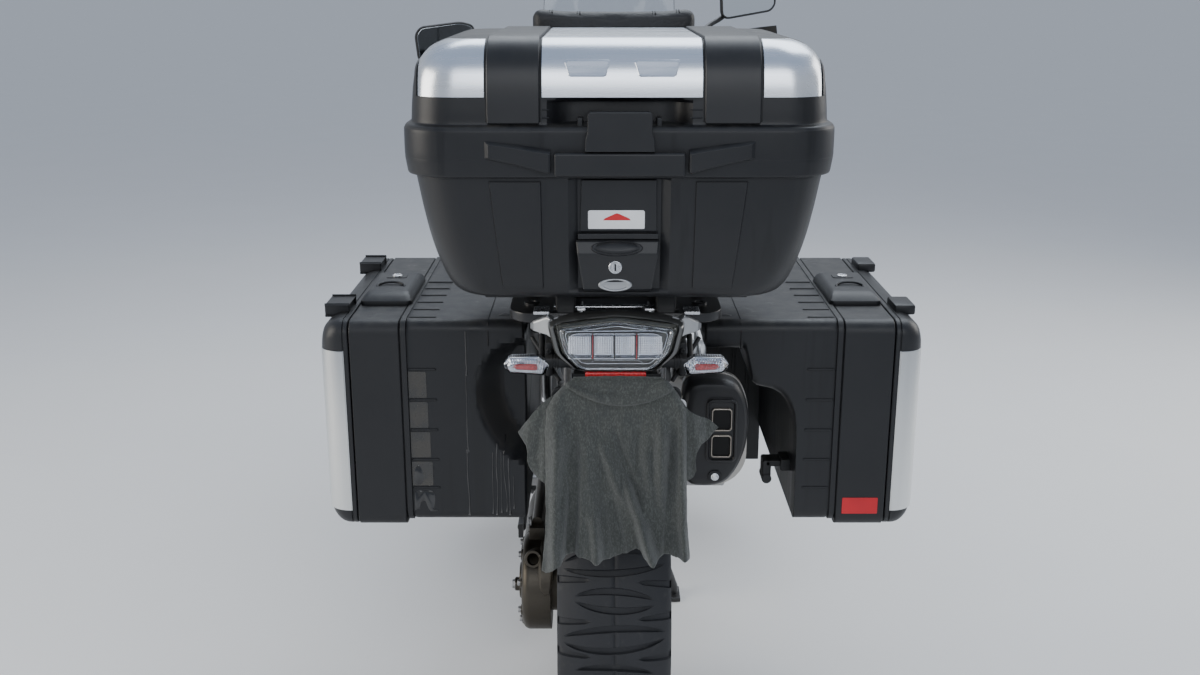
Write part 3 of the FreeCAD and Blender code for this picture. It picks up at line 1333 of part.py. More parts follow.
def pannier(side, notch):
    """A body and an outer lid, hinged along the low edge. Drawn on +X, then mirrored."""
    outer = size.pannier_outer - (size.left_pannier_trim if side < 0 else 0)
    outside = pannier_outer_solid(0, notch, outer)
    inside = pannier_outer_solid(size.pannier_wall, notch, outer)
    split = outer - size.pannier_lid_depth
    near = Part.makeBox(split, 700, 500, at(0, -250, 450))
    far = Part.makeBox(300, 700, 500, at(split + size.lid_gap, -250, 450))
    shell = outside.cut(inside)
    hinge_z = size.pannier_low - 7
    low = at(split, size.pannier_back + 60, hinge_z)
    high = at(split, size.pannier_back + size.pannier_length - 60, hinge_z)
    third = (high.y - low.y) / 3
    body_knuckles = [rod(low, low + Vector(0, third - 1, 0), 5),
                     rod(high - Vector(0, third - 1, 0), high, 5)]
    lid_knuckle = rod(low + Vector(0, third, 0), high - Vector(0, third, 0), 5)
    pin = rod(low, high, 2)
    bore = rod(low, high, 2.3)
    leaves = [Part.makeBox(16, third - 1, 7, Vector(split - 18, y, hinge_z))
              for y in (low.y, high.y - third + 1)]
    lid_leaf = Part.makeBox(18, third, 7, Vector(split + 1, low.y + third, hinge_z))
    pucks = [rod(at(size.pannier_inner - 4, ahead, 816), at(size.pannier_inner, ahead, 816), 14)
             for ahead in (-90, 150)]
    forms = [form.cut(inside) for form in pannier_ribs(outer)]
    body = fused([shell.common(near)] + body_knuckles + leaves + pucks + forms)
    body = body.fuse(pin)
    eyes = [eye.cut(inside) for eye in lid_eyes(outer)]
    lid = fused([shell.common(far), lid_knuckle, lid_leaf] + eyes).cut(bore)
    if side < 0:
        body, lid = mirrored(body), mirrored(lid)
    name = "left" if side < 0 else "right"
    shaped("pannier_body_" + name, body.cut(made_parts["rear_subframe"].Shape))
    shaped("pannier_lid_" + name, lid)


# Stands

def centre_stand():
    pivot = at(0, size.pivot_ahead, size.stand_pivot_z)
    inner = size.frame_half - size.plate_thickness / 2 - 1
    pieces = [cross_rod(inner, size.pivot_ahead, size.stand_pivot_z, 14)]
    foot_y = size.pivot_ahead + size.stand_foot_ahead
    for sign in (-1, 1):
        top = at(sign * 78, size.pivot_ahead, size.stand_pivot_z)
        knee = at(sign * 84, size.pivot_ahead + 3, size.stand_pivot_z - 44)
        low = at(sign * size.stand_half, foot_y, 22)
        pieces.append(tube([top, knee, low, at(sign * size.stand_half, foot_y, 6)],
                           size.stand_tube, 0.3))
        pieces.append(block(at(sign * size.stand_half - 17, foot_y - 30, 0),
                            at(sign * size.stand_half + 17, foot_y + 30, 10), 2))
    bore = cross_rod(inner + 5, size.pivot_ahead, size.stand_pivot_z,
                     size.stand_bolt_radius + size.bore_gap)
    shaped("centre_stand", fused(pieces).cut(bore))


SIDE_PIVOT = (-184, 600, 256)


def side_stand():
    pivot = at(*SIDE_PIVOT)
    hinge = Vector(0.936, 0, -0.352).normalize()
    leg_end = pivot + Vector(0, -size.side_stand_length, 0)
    eye = Part.makeCylinder(17, 12, pivot - hinge * 6, hinge)
    leg = rod(pivot + Vector(0, -13, 0), leg_end, 9)
    foot = Part.makeBox(10, 44, 30, leg_end + Vector(-6, -22, -14))
    bore = Part.makeCylinder(6.3, 20, pivot - hinge * 10, hinge)
    shaped("side_stand", fused([eye, leg, foot]).cut(bore))


def side_stand_lug():
    """The bracket on the frame that carries the side stand's pin."""
    pivot = at(*SIDE_PIVOT)
    hinge = Vector(0.936, 0, -0.352).normalize()
    arm = rod(at(-size.frame_half, 600, 300), pivot + hinge * 15, 7)
    cheek = Part.makeCylinder(11, 10, pivot + hinge * 6.3, hinge)
    pin = Part.makeCylinder(6, 26, pivot - hinge * 9, hinge)
    return fused([arm, cheek, pin])


def check_and_write():
    """Stops on any failed object, then writes one file for each piece."""
    document.recompute()
    for item in document.Objects:
        if "Invalid" in item.State or "Error" in item.State:
            raise RuntimeError("failed: " + item.Name)
    os.makedirs("parts", exist_ok=True)
    for label, item in made_parts.items():
        if item.Shape.isNull() or not item.Shape.isValid():
            raise RuntimeError("no valid shape: " + label)
        item.Shape.exportStep("parts/%s.step" % label)


def build():
    wheels()
    fork()
    handlebar()
    mirrors()
    hand_guards()
    front_mudguard()
    front_calipers()
    fuel_tank()
    seats()
    main_frame()
    rear_subframe()
    engine_block()
    cylinders()
    airbox()
    radiators()
    bash_plate()
    exhaust_pipes()
    silencer()
    nose_cowl()
    side_panels()
    headlamp()
    windscreen()
    instrument_panel()
    luggage_rack()
    tail_cowl()
    rear_lamps()
    plate_holder()
    swingarm()
    final_drive()
    rear_shock()
    footpegs()
    top_case()
    pannier(-1, False)
    pannier(1, True)
    centre_stand()
    side_stand()
    check_and_write()


build()
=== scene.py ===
import json
import math

import bmesh
import bpy
from mathutils import Matrix, Vector, noise


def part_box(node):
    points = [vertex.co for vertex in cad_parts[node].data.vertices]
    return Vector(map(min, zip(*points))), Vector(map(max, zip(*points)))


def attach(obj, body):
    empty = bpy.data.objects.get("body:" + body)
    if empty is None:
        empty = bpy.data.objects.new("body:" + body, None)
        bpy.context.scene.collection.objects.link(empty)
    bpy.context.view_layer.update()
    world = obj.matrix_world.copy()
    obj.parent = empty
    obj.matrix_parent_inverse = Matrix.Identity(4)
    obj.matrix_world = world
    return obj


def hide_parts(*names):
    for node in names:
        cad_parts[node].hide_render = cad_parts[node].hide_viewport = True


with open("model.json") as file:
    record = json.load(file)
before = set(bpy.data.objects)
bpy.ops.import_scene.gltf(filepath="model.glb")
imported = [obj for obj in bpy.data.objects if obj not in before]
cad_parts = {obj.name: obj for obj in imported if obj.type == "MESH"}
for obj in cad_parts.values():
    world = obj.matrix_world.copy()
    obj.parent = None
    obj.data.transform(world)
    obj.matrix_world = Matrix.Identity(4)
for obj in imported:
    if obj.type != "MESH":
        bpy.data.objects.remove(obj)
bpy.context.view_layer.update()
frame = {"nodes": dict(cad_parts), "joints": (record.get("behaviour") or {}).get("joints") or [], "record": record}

# An adventure motorcycle with a top case and two panniers, on its centre stand.
# Metres. +Y is forward, +X is the rider's right, +Z is up.

JOINTS = {joint["name"]: joint for joint in frame["joints"]}
REAR = Vector(JOINTS["rear_wheel_spin"]["pos_m"])
FRONT = Vector(JOINTS["front_wheel_spin"]["pos_m"])
FRONT_TURN = Vector(JOINTS["front_wheel_spin"]["axis"])
STEER_FOOT = Vector(JOINTS["steer"]["pos_m"])
STEER_AXIS = Vector(JOINTS["steer"]["axis"])
REST_STEER = math.radians(JOINTS["steer"]["range_deg"][1])
STEERED = (Matrix.Translation(STEER_FOOT) @ Matrix.Rotation(REST_STEER, 4, STEER_AXIS)
           @ Matrix.Translation(-STEER_FOOT))
BIKE = "chassis"
MM = 0.001


# Shapes

def at(x, ahead, z):
    """A point whose second value is measured forwards from the rear axle."""
    return Vector((x, REAR.y + ahead, z))


def mm(x, ahead, z):
    """The same point from millimetres."""
    return at(x * MM, ahead * MM, z * MM)


def metres(outline):
    """Pairs in metres from pairs in millimetres."""
    return [(x * MM, z * MM) for x, z in outline]


def blend_step(low, high, value):
    share = min(1.0, max(0.0, (value - low) / (high - low)))
    return share * share * (3 - 2 * share)


def placed(origin, z_axis, x_axis=(1, 0, 0)):
    """A matrix whose Z runs along z_axis and whose X is as near to x_axis as it can be."""
    up = Vector(z_axis).normalized()
    side = Vector(x_axis)
    side = (side - up * side.dot(up)).normalized()
    columns = (side, up.cross(side), up)
    turn = Matrix([[column[row] for column in columns] for row in range(3)]).to_4x4()
    return Matrix.Translation(origin) @ turn


def circle(radius, sides, z=0.0, start=0.0):
    steps = [start + 2 * math.pi * i / sides for i in range(sides)]
    return [Vector((radius * math.cos(a), radius * math.sin(a), z)) for a in steps]


def curve_through(points, steps=8):
    """A smooth run through the points."""
    ends = [points[0] * 2 - points[1]] + list(points) + [points[-1] * 2 - points[-2]]
    run = []
    for a, b, c, d in zip(ends, ends[1:], ends[2:], ends[3:]):
        for step in range(steps):
            t = step / steps
            run.append(0.5 * (2 * b + (c - a) * t + (2 * a - 5 * b + 4 * c - d) * t * t
                              + (3 * b - a - 3 * c + d) * t ** 3))
    return run + [points[-1]]


def frames_along(path, closed=False):
    """Two directions across the path at each of its points, without twist."""
    count = len(path)
    found = []
    side = None
    for i, point in enumerate(path):
        before = path[i - 1] if i or closed else point
        after = path[(i + 1) % count] if i < count - 1 or closed else point
        run = (after - before).normalized()
        if side is None:
            side = run.cross(Vector((0, 0, 1)))
            side = side if side.length > 0.1 else run.cross(Vector((0, 1, 0)))
        side = (side - run * side.dot(run)).normalized()
        found.append((side, run.cross(side)))
    return found


class Shape:
    """Closed forms gathered into one mesh."""

    def __init__(self):
        self.mesh = bmesh.new()

    def take(self, part, place=None):
        if place is not None:
            part.transform(place)
        data = bpy.data.meshes.new("part")
        part.to_mesh(data)
        part.free()
        self.mesh.from_mesh(data)
        bpy.data.meshes.remove(data)
        return self

    def skin(self, rings, caps=True, joined=False, place=None):
        """Joins rings of equally many points into one surface."""
        part = bmesh.new()
        rows = [[part.verts.new(point) for point in ring] for ring in rings]
        pairs = list(zip(rows, rows[1:]))
        if joined:
            pairs.append((rows[-1], rows[0]))
        for low, high in pairs:
            for i in range(len(low)):
                j = (i + 1) % len(low)
                part.faces.new((low[i], low[j], high[j], high[i]))
        if caps and not joined:
            part.faces.new(rows[0][::-1])
            part.faces.new(rows[-1])
        return self.take(part, place)

    def block(self, low, high, edge=0.0, steps=2, place=None):
        part = bmesh.new()
        low, high = Vector(low), Vector(high)
        bmesh.ops.create_cube(part, size=1.0)
        for vertex in part.verts:
            vertex.co = Vector(c * s for c, s in zip(vertex.co, high - low)) + (low + high) / 2
        if edge:
            bmesh.ops.bevel(part, geom=part.edges[:], offset=edge, segments=steps,
                            profile=0.5, affect="EDGES", clamp_overlap=True)
        return self.take(part, place)

    def slab(self, outline, thickness, place, edge=0.0, steps=2):
        """A flat outline of x, y pairs raised along the place's Z."""
        part = bmesh.new()
        face = part.faces.new([part.verts.new((x, y, 0)) for x, y in outline])
        raised = bmesh.ops.extrude_face_region(part, geom=[face])["geom"]
        for item in raised:
            if isinstance(item, bmesh.types.BMVert):
                item.co.z += thickness
        if edge:
            top = [e for e in part.edges if all(v.co.z > thickness * 0.5 for v in e.verts)]
            bmesh.ops.bevel(part, geom=top, offset=edge, segments=steps, profile=0.5,
                            affect="EDGES", clamp_overlap=True)
        return self.take(part, place)

    def rod(self, start, finish, radius, sides=20, edge=0.0, end_radius=None):
        start, finish = Vector(start), Vector(finish)
        length = (finish - start).length
        last = radius if end_radius is None else end_radius
        rings = [circle(radius, sides, 0), circle(last, sides, length)]
        if edge:
            soft = edge * 0.3
            rings = [circle(radius - edge, sides, 0), circle(radius - soft, sides, soft),
                     circle(radius, sides, edge), circle(last, sides, length - edge),
                     circle(last - soft, sides, length - soft),
                     circle(last - edge, sides, length)]
        return self.skin(rings, place=placed(start, finish - start))

    def tube(self, points, radius, sides=12, steps=8, closed=False):
        path = curve_through(points, steps) if steps > 1 else list(points)
        rings = []
        for point, (side, up) in zip(path, frames_along(path, closed)):
            angles = [2 * math.pi * i / sides for i in range(sides)]
            rings.append([point + (side * math.cos(a) + up * math.sin(a)) * radius
                          for a in angles])
        return self.skin(rings, caps=not closed, joined=closed)

    def lathe(self, profile, place, sides=48, joined=False):
        """Pairs of height and radius turned about the place's Z."""
        rings = [circle(radius, sides, height) for height, radius in profile]
        return self.skin(rings, caps=not joined, joined=joined, place=place)

    def hex_bolt(self, place, radius=0.006, height=0.005):
        self.lathe(((0, radius * 1.35), (height * 0.25, radius * 1.35)), place, 20)
        rings = [circle(radius, 6, height * 0.25), circle(radius, 6, height * 0.9),
                 circle(radius * 0.86, 6, height)]
        return self.skin(rings, place=place)

    def socket_bolt(self, place, radius=0.005, height=0.004):
        profile = ((0, radius), (height * 0.8, radius), (height, radius * 0.85),
                   (height, radius * 0.5), (height * 0.4, radius * 0.48))
        return self.lathe(profile, place, 18)


def piece(name, shape, material, body=BIKE, sharp=38, smooth=0, edge=0.0,
          place=None, stands_for=(), keep_flat=True):
    """Turns a shape into a named piece that rides on a body."""
    if place is not None:
        shape.mesh.transform(place)
    bmesh.ops.recalc_face_normals(shape.mesh, faces=shape.mesh.faces[:])
    data = bpy.data.meshes.new(name)
    shape.mesh.to_mesh(data)
    shape.mesh.free()
    made = bpy.data.objects.new(name, data)
    bpy.context.scene.collection.objects.link(made)
    data.materials.append(material)
    if edge:
        rounding = made.modifiers.new("rounding", "BEVEL")
        rounding.width = edge
        rounding.segments = 2
        rounding.limit_method = "ANGLE"
        rounding.angle_limit = math.radians(35)
    if smooth:
        surface = made.modifiers.new("surface", "SUBSURF")
        surface.levels = smooth
        surface.render_levels = smooth
    for polygon in data.polygons:
        polygon.use_smooth = True
    if sharp < 180:
        data.set_sharp_from_angle(angle=math.radians(sharp))
    if keep_flat and not smooth:
        weights = made.modifiers.new("flats", "WEIGHTED_NORMAL")
        weights.keep_sharp = True
    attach(made, body)
    if stands_for:
        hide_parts(*stands_for)
    return made


# Materials

class Finish:
    """A material whose pattern is worked out from the object's own coordinates."""

    def __init__(self, name, colour, roughness, metallic=0.0, **fixed):
        self.material = bpy.data.materials.new(name)
        self.material.use_nodes = True
        self.tree = self.material.node_tree
        self.shader = self.tree.nodes["Principled BSDF"]
        self.colour = tuple(colour) + (1.0,)
        self.roughness = roughness
        self.set("Base Color", self.colour)
        self.set("Roughness", roughness)
        self.set("Metallic", metallic)
        for key, value in fixed.items():
            self.set(key.replace("_", " ").title().replace("Ior", "IOR"), value)
        self.place = self.tree.nodes.new("ShaderNodeTexCoord").outputs["Object"]
        self.colour_from = None
        self.rough_from = None
        self.bump_from = None

    def set(self, socket, value):
        self.shader.inputs[socket].default_value = value

    def node(self, kind, **inputs):
        made = self.tree.nodes.new(kind)
        for key, value in inputs.items():
            socket = made.inputs[int(key[1:])] if key[0] == "_" else made.inputs[key]
            if hasattr(value, "is_output"):
                self.tree.links.new(value, socket)
            else:
                socket.default_value = value
        return made

    def stretched(self, stretch):
        made = self.node("ShaderNodeMapping", Vector=self.place)
        made.inputs["Scale"].default_value = stretch
        return made.outputs["Vector"]

    def noise(self, scale, stretch=(1, 1, 1), detail=3.0, rough=0.55):
        made = self.node("ShaderNodeTexNoise", Vector=self.stretched(stretch), Scale=scale,
                         Detail=detail, Roughness=rough)
        return made.outputs["Fac"]

    def between(self, value, low, high, to_low=0.0, to_high=1.0):
        made = self.node("ShaderNodeMapRange", _0=value, _1=low, _2=high, _3=to_low, _4=to_high)
        made.clamp = True
        return made.outputs[0]

    def times(self, a, b, operation="MULTIPLY"):
        made = self.tree.nodes.new("ShaderNodeMath")
        made.operation = operation
        for socket, value in zip(made.inputs, (a, b)):
            if hasattr(value, "is_output"):
                self.tree.links.new(value, socket)
            else:
                socket.default_value = value
        return made.outputs[0]

    def tint(self, mask, colour):
        """Mixes a colour in where the mask is one."""
        made = self.tree.nodes.new("ShaderNodeMix")
        made.data_type = "RGBA"
        self.tree.links.new(mask, made.inputs["Factor"])
        if self.colour_from is None:
            made.inputs[6].default_value = self.colour
        else:
            self.tree.links.new(self.colour_from, made.inputs[6])
        made.inputs[7].default_value = tuple(colour) + (1.0,)
        self.colour_from = made.outputs[2]
        self.tree.links.new(self.colour_from, self.shader.inputs["Base Color"])
        return self

    def rough(self, mask, low, high):
        self.rough_from = self.between(mask, 0.0, 1.0, low, high)
        self.tree.links.new(self.rough_from, self.shader.inputs["Roughness"])
        return self

    def bump(self, height, distance, strength=1.0):
        made = self.node("ShaderNodeBump", Height=height, Distance=distance, Strength=strength)
        if self.bump_from is not None:
            self.tree.links.new(self.bump_from, made.inputs["Normal"])
        self.bump_from = made.outputs["Normal"]
        self.tree.links.new(self.bump_from, self.shader.inputs["Normal"])
        return self

    def soft_edges(self, radius):
        """Light rounds the edges as if they had this radius."""
        made = self.tree.nodes.new("ShaderNodeBevel")
        made.samples = 4
        made.inputs["Radius"].default_value = radius
        self.bump_from = made.outputs["Normal"]
        self.tree.links.new(self.bump_from, self.shader.inputs["Normal"])
        return self

    def upward(self):
        """One on surfaces that face up."""
        facing = self.node("ShaderNodeNewGeometry").outputs["Normal"]
        split = self.node("ShaderNodeSeparateXYZ", Vector=facing)
        return self.between(split.outputs["Z"], 0.35, 0.95)

    def dust(self, colour, amount, scale=40.0):
        patches = self.between(self.noise(scale, detail=5.0), 0.35, 0.8, 0.0, amount * 0.6)
        return self.tint(self.times(patches, self.upward()), colour)


def plastic(name, colour, roughness, grain, depth, edge=0.0012, dusty=0.25, streaky=0.0):
    made = Finish(name, colour, roughness)
    if edge:
        made.soft_edges(edge)
    patches = made.noise(7.0, detail=4.0)
    made.tint(made.between(patches, 0.35, 0.75, 0.0, 0.5), [c * 1.7 + 0.004 for c in colour])
    if streaky:
        runs = made.between(made.noise(26.0, (1.0, 1.0, 0.045), 4.0), 0.60, 0.66)
        made.tint(made.times(runs, streaky), [c * 0.35 for c in colour])
        mix = made.times(runs, 0.4)
        made.rough(made.times(patches, mix, "SUBTRACT"), roughness - 0.14, roughness + 0.1)
    else:
        made.rough(patches, roughness - 0.08, roughness + 0.1)
    if dusty:
        made.dust((0.33, 0.31, 0.27), dusty)
    made.bump(made.noise(grain, detail=2.0), depth)
    return made.material


def paint(name, colour, roughness=0.28, metallic=0.0, flake=0.0, coat=1.0):
    made = Finish(name, colour, roughness, metallic, coat_weight=coat, coat_roughness=0.06)
    made.soft_edges(0.0015)
    patches = made.noise(5.0, detail=3.0)
    made.tint(made.between(patches, 0.3, 0.8, 0.0, 0.35), [c * 1.25 for c in colour])
    made.rough(patches, roughness - 0.04, roughness + 0.06)
    made.dust((0.36, 0.34, 0.30), 0.10)
    if flake:
        made.bump(made.noise(1400.0, detail=0.0), flake)
    else:
        made.bump(made.noise(160.0, detail=1.0), 0.00002)
    return made.material


def alloy(name, colour, roughness, grain=260.0, depth=0.00012, dirt=0.35, stretch=(1, 1, 1),
          edge=0.0012):
    made = Finish(name, colour, roughness, 1.0)
    if edge:
        made.soft_edges(edge)
    lines = made.noise(grain, stretch, 2.0)
    patches = made.noise(9.0, detail=5.0)
    made.tint(made.between(patches, 0.45, 0.8, 0.0, dirt), [c * 0.45 for c in colour])
    made.tint(made.between(lines, 0.3, 0.7, 0.0, 0.25), [min(1.0, c * 1.2) for c in colour])
    made.rough(lines, roughness - 0.07, roughness + 0.1)
    made.bump(lines, depth)
    return made.material


def rubber():
    made = Finish("rubber", (0.017, 0.018, 0.021), 0.58)
    patches = made.noise(12.0, detail=5.0)
    made.tint(made.between(patches, 0.35, 0.75, 0.0, 0.6), (0.034, 0.035, 0.039))
    made.tint(made.between(made.noise(45.0, detail=4.0), 0.6, 0.75, 0.0, 0.35),
              (0.075, 0.072, 0.066))
    made.rough(patches, 0.5, 0.78)
    made.bump(made.noise(420.0, detail=2.0), 0.00016)
    return made.material


def clear(name, colour, roughness, index=1.49):
    made = Finish(name, colour, roughness, transmission_weight=1.0, ior=index)
    made.rough(made.noise(30.0, detail=4.0), roughness * 0.5, roughness * 1.6)
    return made.material


def leather(name, colour, grain=210.0, depth=0.00035):
    made = Finish(name, colour, 0.5)
    cells = made.node("ShaderNodeTexVoronoi", Vector=made.place, Scale=grain)
    patches = made.noise(8.0, detail=4.0)
    made.tint(made.between(patches, 0.35, 0.75, 0.0, 0.5), [c * 1.8 + 0.004 for c in colour])
    made.rough(patches, 0.42, 0.62)
    made.dust((0.33, 0.31, 0.27), 0.18)
    made.bump(cells.outputs["Distance"], depth)
    return made.material


def jersey():
    """Heather cloth: flecked yarns and a fine knit."""
    made = Finish("jersey", (0.052, 0.056, 0.050), 0.95, sheen_weight=0.2, sheen_roughness=0.6)
    flecks = made.noise(520.0, (1.0, 1.0, 0.45), 3.0, 0.7)
    made.tint(made.between(flecks, 0.46, 0.66), (0.108, 0.116, 0.106))
    broad = made.noise(60.0, (1.0, 1.0, 0.35), 3.0)
    made.tint(made.between(broad, 0.50, 0.75, 0.0, 0.45), (0.035, 0.040, 0.042))
    ribs = made.node("ShaderNodeTexWave", Vector=made.place, Scale=230.0, Distortion=3.0)
    ribs.bands_direction = "X"
    made.bump(ribs.outputs["Fac"], 0.00035)
    made.bump(flecks, 0.0005)
    return made.material


def reflector():
    made = Finish("red_reflector", (0.42, 0.012, 0.016), 0.16, coat_weight=1.0,
                  coat_roughness=0.03)
    cells = made.node("ShaderNodeTexVoronoi", Vector=made.place, Scale=330.0)
    made.tint(made.between(cells.outputs["Distance"], 0.2, 0.7), (0.75, 0.03, 0.03))
    made.bump(cells.outputs["Distance"], 0.0006)
    return made.material


def mirror_cup():
    """Bright lamp reflector with a pressed grid."""
    made = Finish("lamp_reflector", (0.86, 0.88, 0.92), 0.12, 1.0)
    ribs = made.node("ShaderNodeTexWave", Vector=made.place, Scale=95.0)
    ribs.bands_direction = "X"
    bars = made.node("ShaderNodeTexWave", Vector=made.place, Scale=95.0)
    bars.bands_direction = "Z"
    made.bump(ribs.outputs["Fac"], 0.0003)
    made.bump(bars.outputs["Fac"], 0.0003)
    made.tint(made.between(made.noise(60.0), 0.4, 0.7, 0.0, 0.3), (0.70, 0.76, 0.86))
    return made.material


CASE = plastic("case_shell", (0.0095, 0.0100, 0.0118), 0.46, 900.0, 0.00010, streaky=0.5)
CASE_SMOOTH = plastic("case_band", (0.0110, 0.0116, 0.0135), 0.40, 1200.0, 0.00005, dusty=0.12)
# Near-black plastic for seams and lines, also used as painted shade in gaps, slots, the keyway and a hollow
CASE_LINE_AND_SHADE = plastic("case_line_and_painted_shade", (0.004, 0.004, 0.005), 0.5, 900.0, 0.00005, dusty=0.0)
PLASTIC = plastic("black_plastic", (0.010, 0.0103, 0.0112), 0.50, 700.0, 0.00012)
FRAME_PAINT = paint("frame_paint", (0.030, 0.031, 0.033), 0.34)
BLACK_PAINT = paint("black_paint", (0.012, 0.012, 0.013), 0.36, coat=0.3)
BODY_PAINT = paint("body_paint", (0.17, 0.185, 0.20), 0.30, 0.75, flake=0.00003)
SILVER_PAINT = paint("silver_paint", (0.42, 0.43, 0.44), 0.34, 0.7, flake=0.00002)
WHEEL_PAINT = paint("wheel_paint", (0.070, 0.073, 0.078), 0.32, 0.6, flake=0.00002)
ENGINE = alloy("engine_alloy", (0.42, 0.42, 0.42), 0.46)
BRUSHED = alloy("brushed_alloy", (0.74, 0.78, 0.84), 0.25, 90.0, 0.00002, 0.06, (0.05, 1.0, 1.0),
                edge=0.0)
BRIGHT = alloy("bright_alloy", (0.72, 0.73, 0.75), 0.24, 300.0, 0.00002, 0.15)
EXHAUST = alloy("exhaust_steel", (0.46, 0.44, 0.41), 0.30, 120.0, 0.00004, 0.45)
EXHAUST_CAP = plastic("exhaust_cap", (0.010, 0.010, 0.011), 0.42, 400.0, 0.0001, dusty=0.1)
DRIVE = alloy("drive_alloy", (0.095, 0.085, 0.070), 0.40, 240.0, 0.00014, 0.5)
FORK_ALLOY = alloy("fork_alloy", (0.30, 0.30, 0.31), 0.30, 180.0, 0.00004, 0.2)
CHROME = alloy("chrome", (0.80, 0.81, 0.83), 0.10, 120.0, 0.00001, 0.1)
DISC = alloy("disc_steel", (0.52, 0.52, 0.53), 0.26, 260.0, 0.00004, 0.3)
RADIATOR = alloy("radiator_core", (0.07, 0.07, 0.075), 0.45, 300.0, 0.0002, 0.3)
RUBBER = rubber()
SEAT = leather("seat_cover", (0.0135, 0.0138, 0.0150))
SCREEN = clear("screen", (0.93, 0.96, 0.98), 0.02)
LENS = clear("lens", (0.97, 0.98, 1.0), 0.03)
JERSEY = jersey()
REFLECTOR = reflector()
CUP = mirror_cup()
GLASS_MIRROR = Finish("mirror_glass", (0.82, 0.87, 0.92), 0.03, 1.0).material
WHITE = plastic("white_blank", (0.74, 0.75, 0.76), 0.42, 500.0, 0.00003, dusty=0.1)
RED = plastic("red_print", (0.55, 0.02, 0.025), 0.42, 500.0, 0.00003, dusty=0.0)

SLOT_FINISH = {
    "frame_paint": FRAME_PAINT, "engine_alloy": ENGINE, "black_plastic": PLASTIC,
    "radiator_core": RADIATOR, "brushed_alloy": BRUSHED, "exhaust_steel": EXHAUST,
    "exhaust_cap": EXHAUST_CAP, "body_paint": BODY_PAINT, "seat_cover": SEAT,
    "lamp_clear": LENS, "screen_clear": SCREEN, "silver_paint": SILVER_PAINT,
    "plate_blank": WHITE, "grey_cloth": JERSEY, "drive_alloy": DRIVE, "shock_steel": CHROME,
    "case_plastic": CASE, "fork_alloy": FORK_ALLOY, "black_paint": BLACK_PAINT,
    "wheel_paint": WHEEL_PAINT, "tyre_rubber": RUBBER, "disc_steel": DISC,
}
for entry in frame["record"]["subparts"]:
    node = frame["nodes"][entry["node"]]
    if not node.material_slots:
        node.data.materials.append(None)
    for holder in node.material_slots:
        holder.material = SLOT_FINISH[entry["material_slot"]]


# Stage

FLOOR_SIZE = 600.0


def stage():
    half = FLOOR_SIZE / 2
    part = bmesh.new()
    corners = [(-half, -half), (half, -half), (half, half), (-half, half)]
    part.faces.new([part.verts.new((x, y, 0)) for x, y in corners])
    data = bpy.data.meshes.new("floor")
    part.to_mesh(data)
    part.free()
    floor = bpy.data.objects.new("floor", data)
    bpy.context.scene.collection.objects.link(floor)
    finish = Finish("floor", (0.80, 0.79, 0.77), 0.8)
    finish.tint(finish.between(finish.noise(3.0), 0.3, 0.7, 0.0, 0.3), (0.84, 0.83, 0.81))
    data.materials.append(finish.material)


def area_light(name, place, target, width, height, power, colour):
    data = bpy.data.lights.new(name, "AREA")
    data.shape = "RECTANGLE"
    data.size = width
    data.size_y = height
    data.energy = power
    data.color = colour
    lamp = bpy.data.objects.new(name, data)
    lamp.location = place
    aim = Vector(target) - Vector(place)
    lamp.rotation_euler = aim.to_track_quat("-Z", "Y").to_euler()
    bpy.context.scene.collection.objects.link(lamp)


def lights():
    world = bpy.data.worlds.new("studio")
    bpy.context.scene.world = world
    world.use_nodes = True
    tree = world.node_tree
    place = tree.nodes.new("ShaderNodeTexCoord")
    split = tree.nodes.new("ShaderNodeSeparateXYZ")
    ramp = tree.nodes.new("ShaderNodeValToRGB")
    tree.links.new(place.outputs["Generated"], split.inputs["Vector"])
    tree.links.new(split.outputs["Z"], ramp.inputs["Fac"])
    tree.links.new(ramp.outputs["Color"], tree.nodes["Background"].inputs["Color"])
    ramp.color_ramp.elements[0].position = 0.0
    ramp.color_ramp.elements[0].color = (0.60, 0.65, 0.73, 1)
    ramp.color_ramp.elements[1].position = 0.75
    ramp.color_ramp.elements[1].color = (0.64, 0.75, 0.96, 1)
    middle = ramp.color_ramp.elements.new(0.22)
    middle.color = (0.86, 0.90, 0.96, 1)
    tree.nodes["Background"].inputs["Strength"].default_value = 0.62
    area_light("overhead", (0.6, 0.9, 3.6), (0, -0.5, 0.8), 3.4, 2.6, 90, (0.88, 0.94, 1.0))
    area_light("left_side", (-3.4, -1.6, 1.7), (0, -0.6, 0.6), 2.2, 2.0, 60, (1.0, 0.94, 0.84))
    area_light("right_side", (3.2, 0.8, 2.0), (0, 0, 0.6), 2.0, 2.0, 40, (1.0, 0.97, 0.92))
    area_light("behind", (0.4, -4.4, 2.6), (0, -0.9, 0.8), 2.6, 1.4, 32, (0.95, 0.97, 1.0))


CAMERA_PLACE = Vector((-0.022, REAR.y - 1.995, 1.348))
CAMERA_PITCH = math.radians(16)
# 1250 pixels of focal length in a picture 1200 pixels wide
LENS_MM = 37.5
SENSOR_MM = 36.0


def camera():
    data = bpy.data.cameras.new("camera")
    data.lens = LENS_MM
    data.sensor_width = SENSOR_MM
    made = bpy.data.objects.new("camera", data)
    made.location = CAMERA_PLACE
    made.rotation_euler = (math.pi / 2 - CAMERA_PITCH, 0, 0)
    bpy.context.scene.collection.objects.link(made)
    bpy.context.scene.camera = made


stage()
lights()
camera()

# Outlines

def drawn_in(outline, amount):
    """The outline moved inwards; its pairs run anticlockwise."""
    count = len(outline)
    moved = []
    for i in range(count):
        a, b, c = (Vector(outline[(i + k) % count]) for k in (-1, 0, 1))
        first, second = (b - a).normalized(), (c - b).normalized()
        inward = Vector((-first.y, first.x)) + Vector((-second.y, second.x))
        moved.append(tuple(b + inward * amount / max(0.3, inward.length_squared / 2)))
    return moved


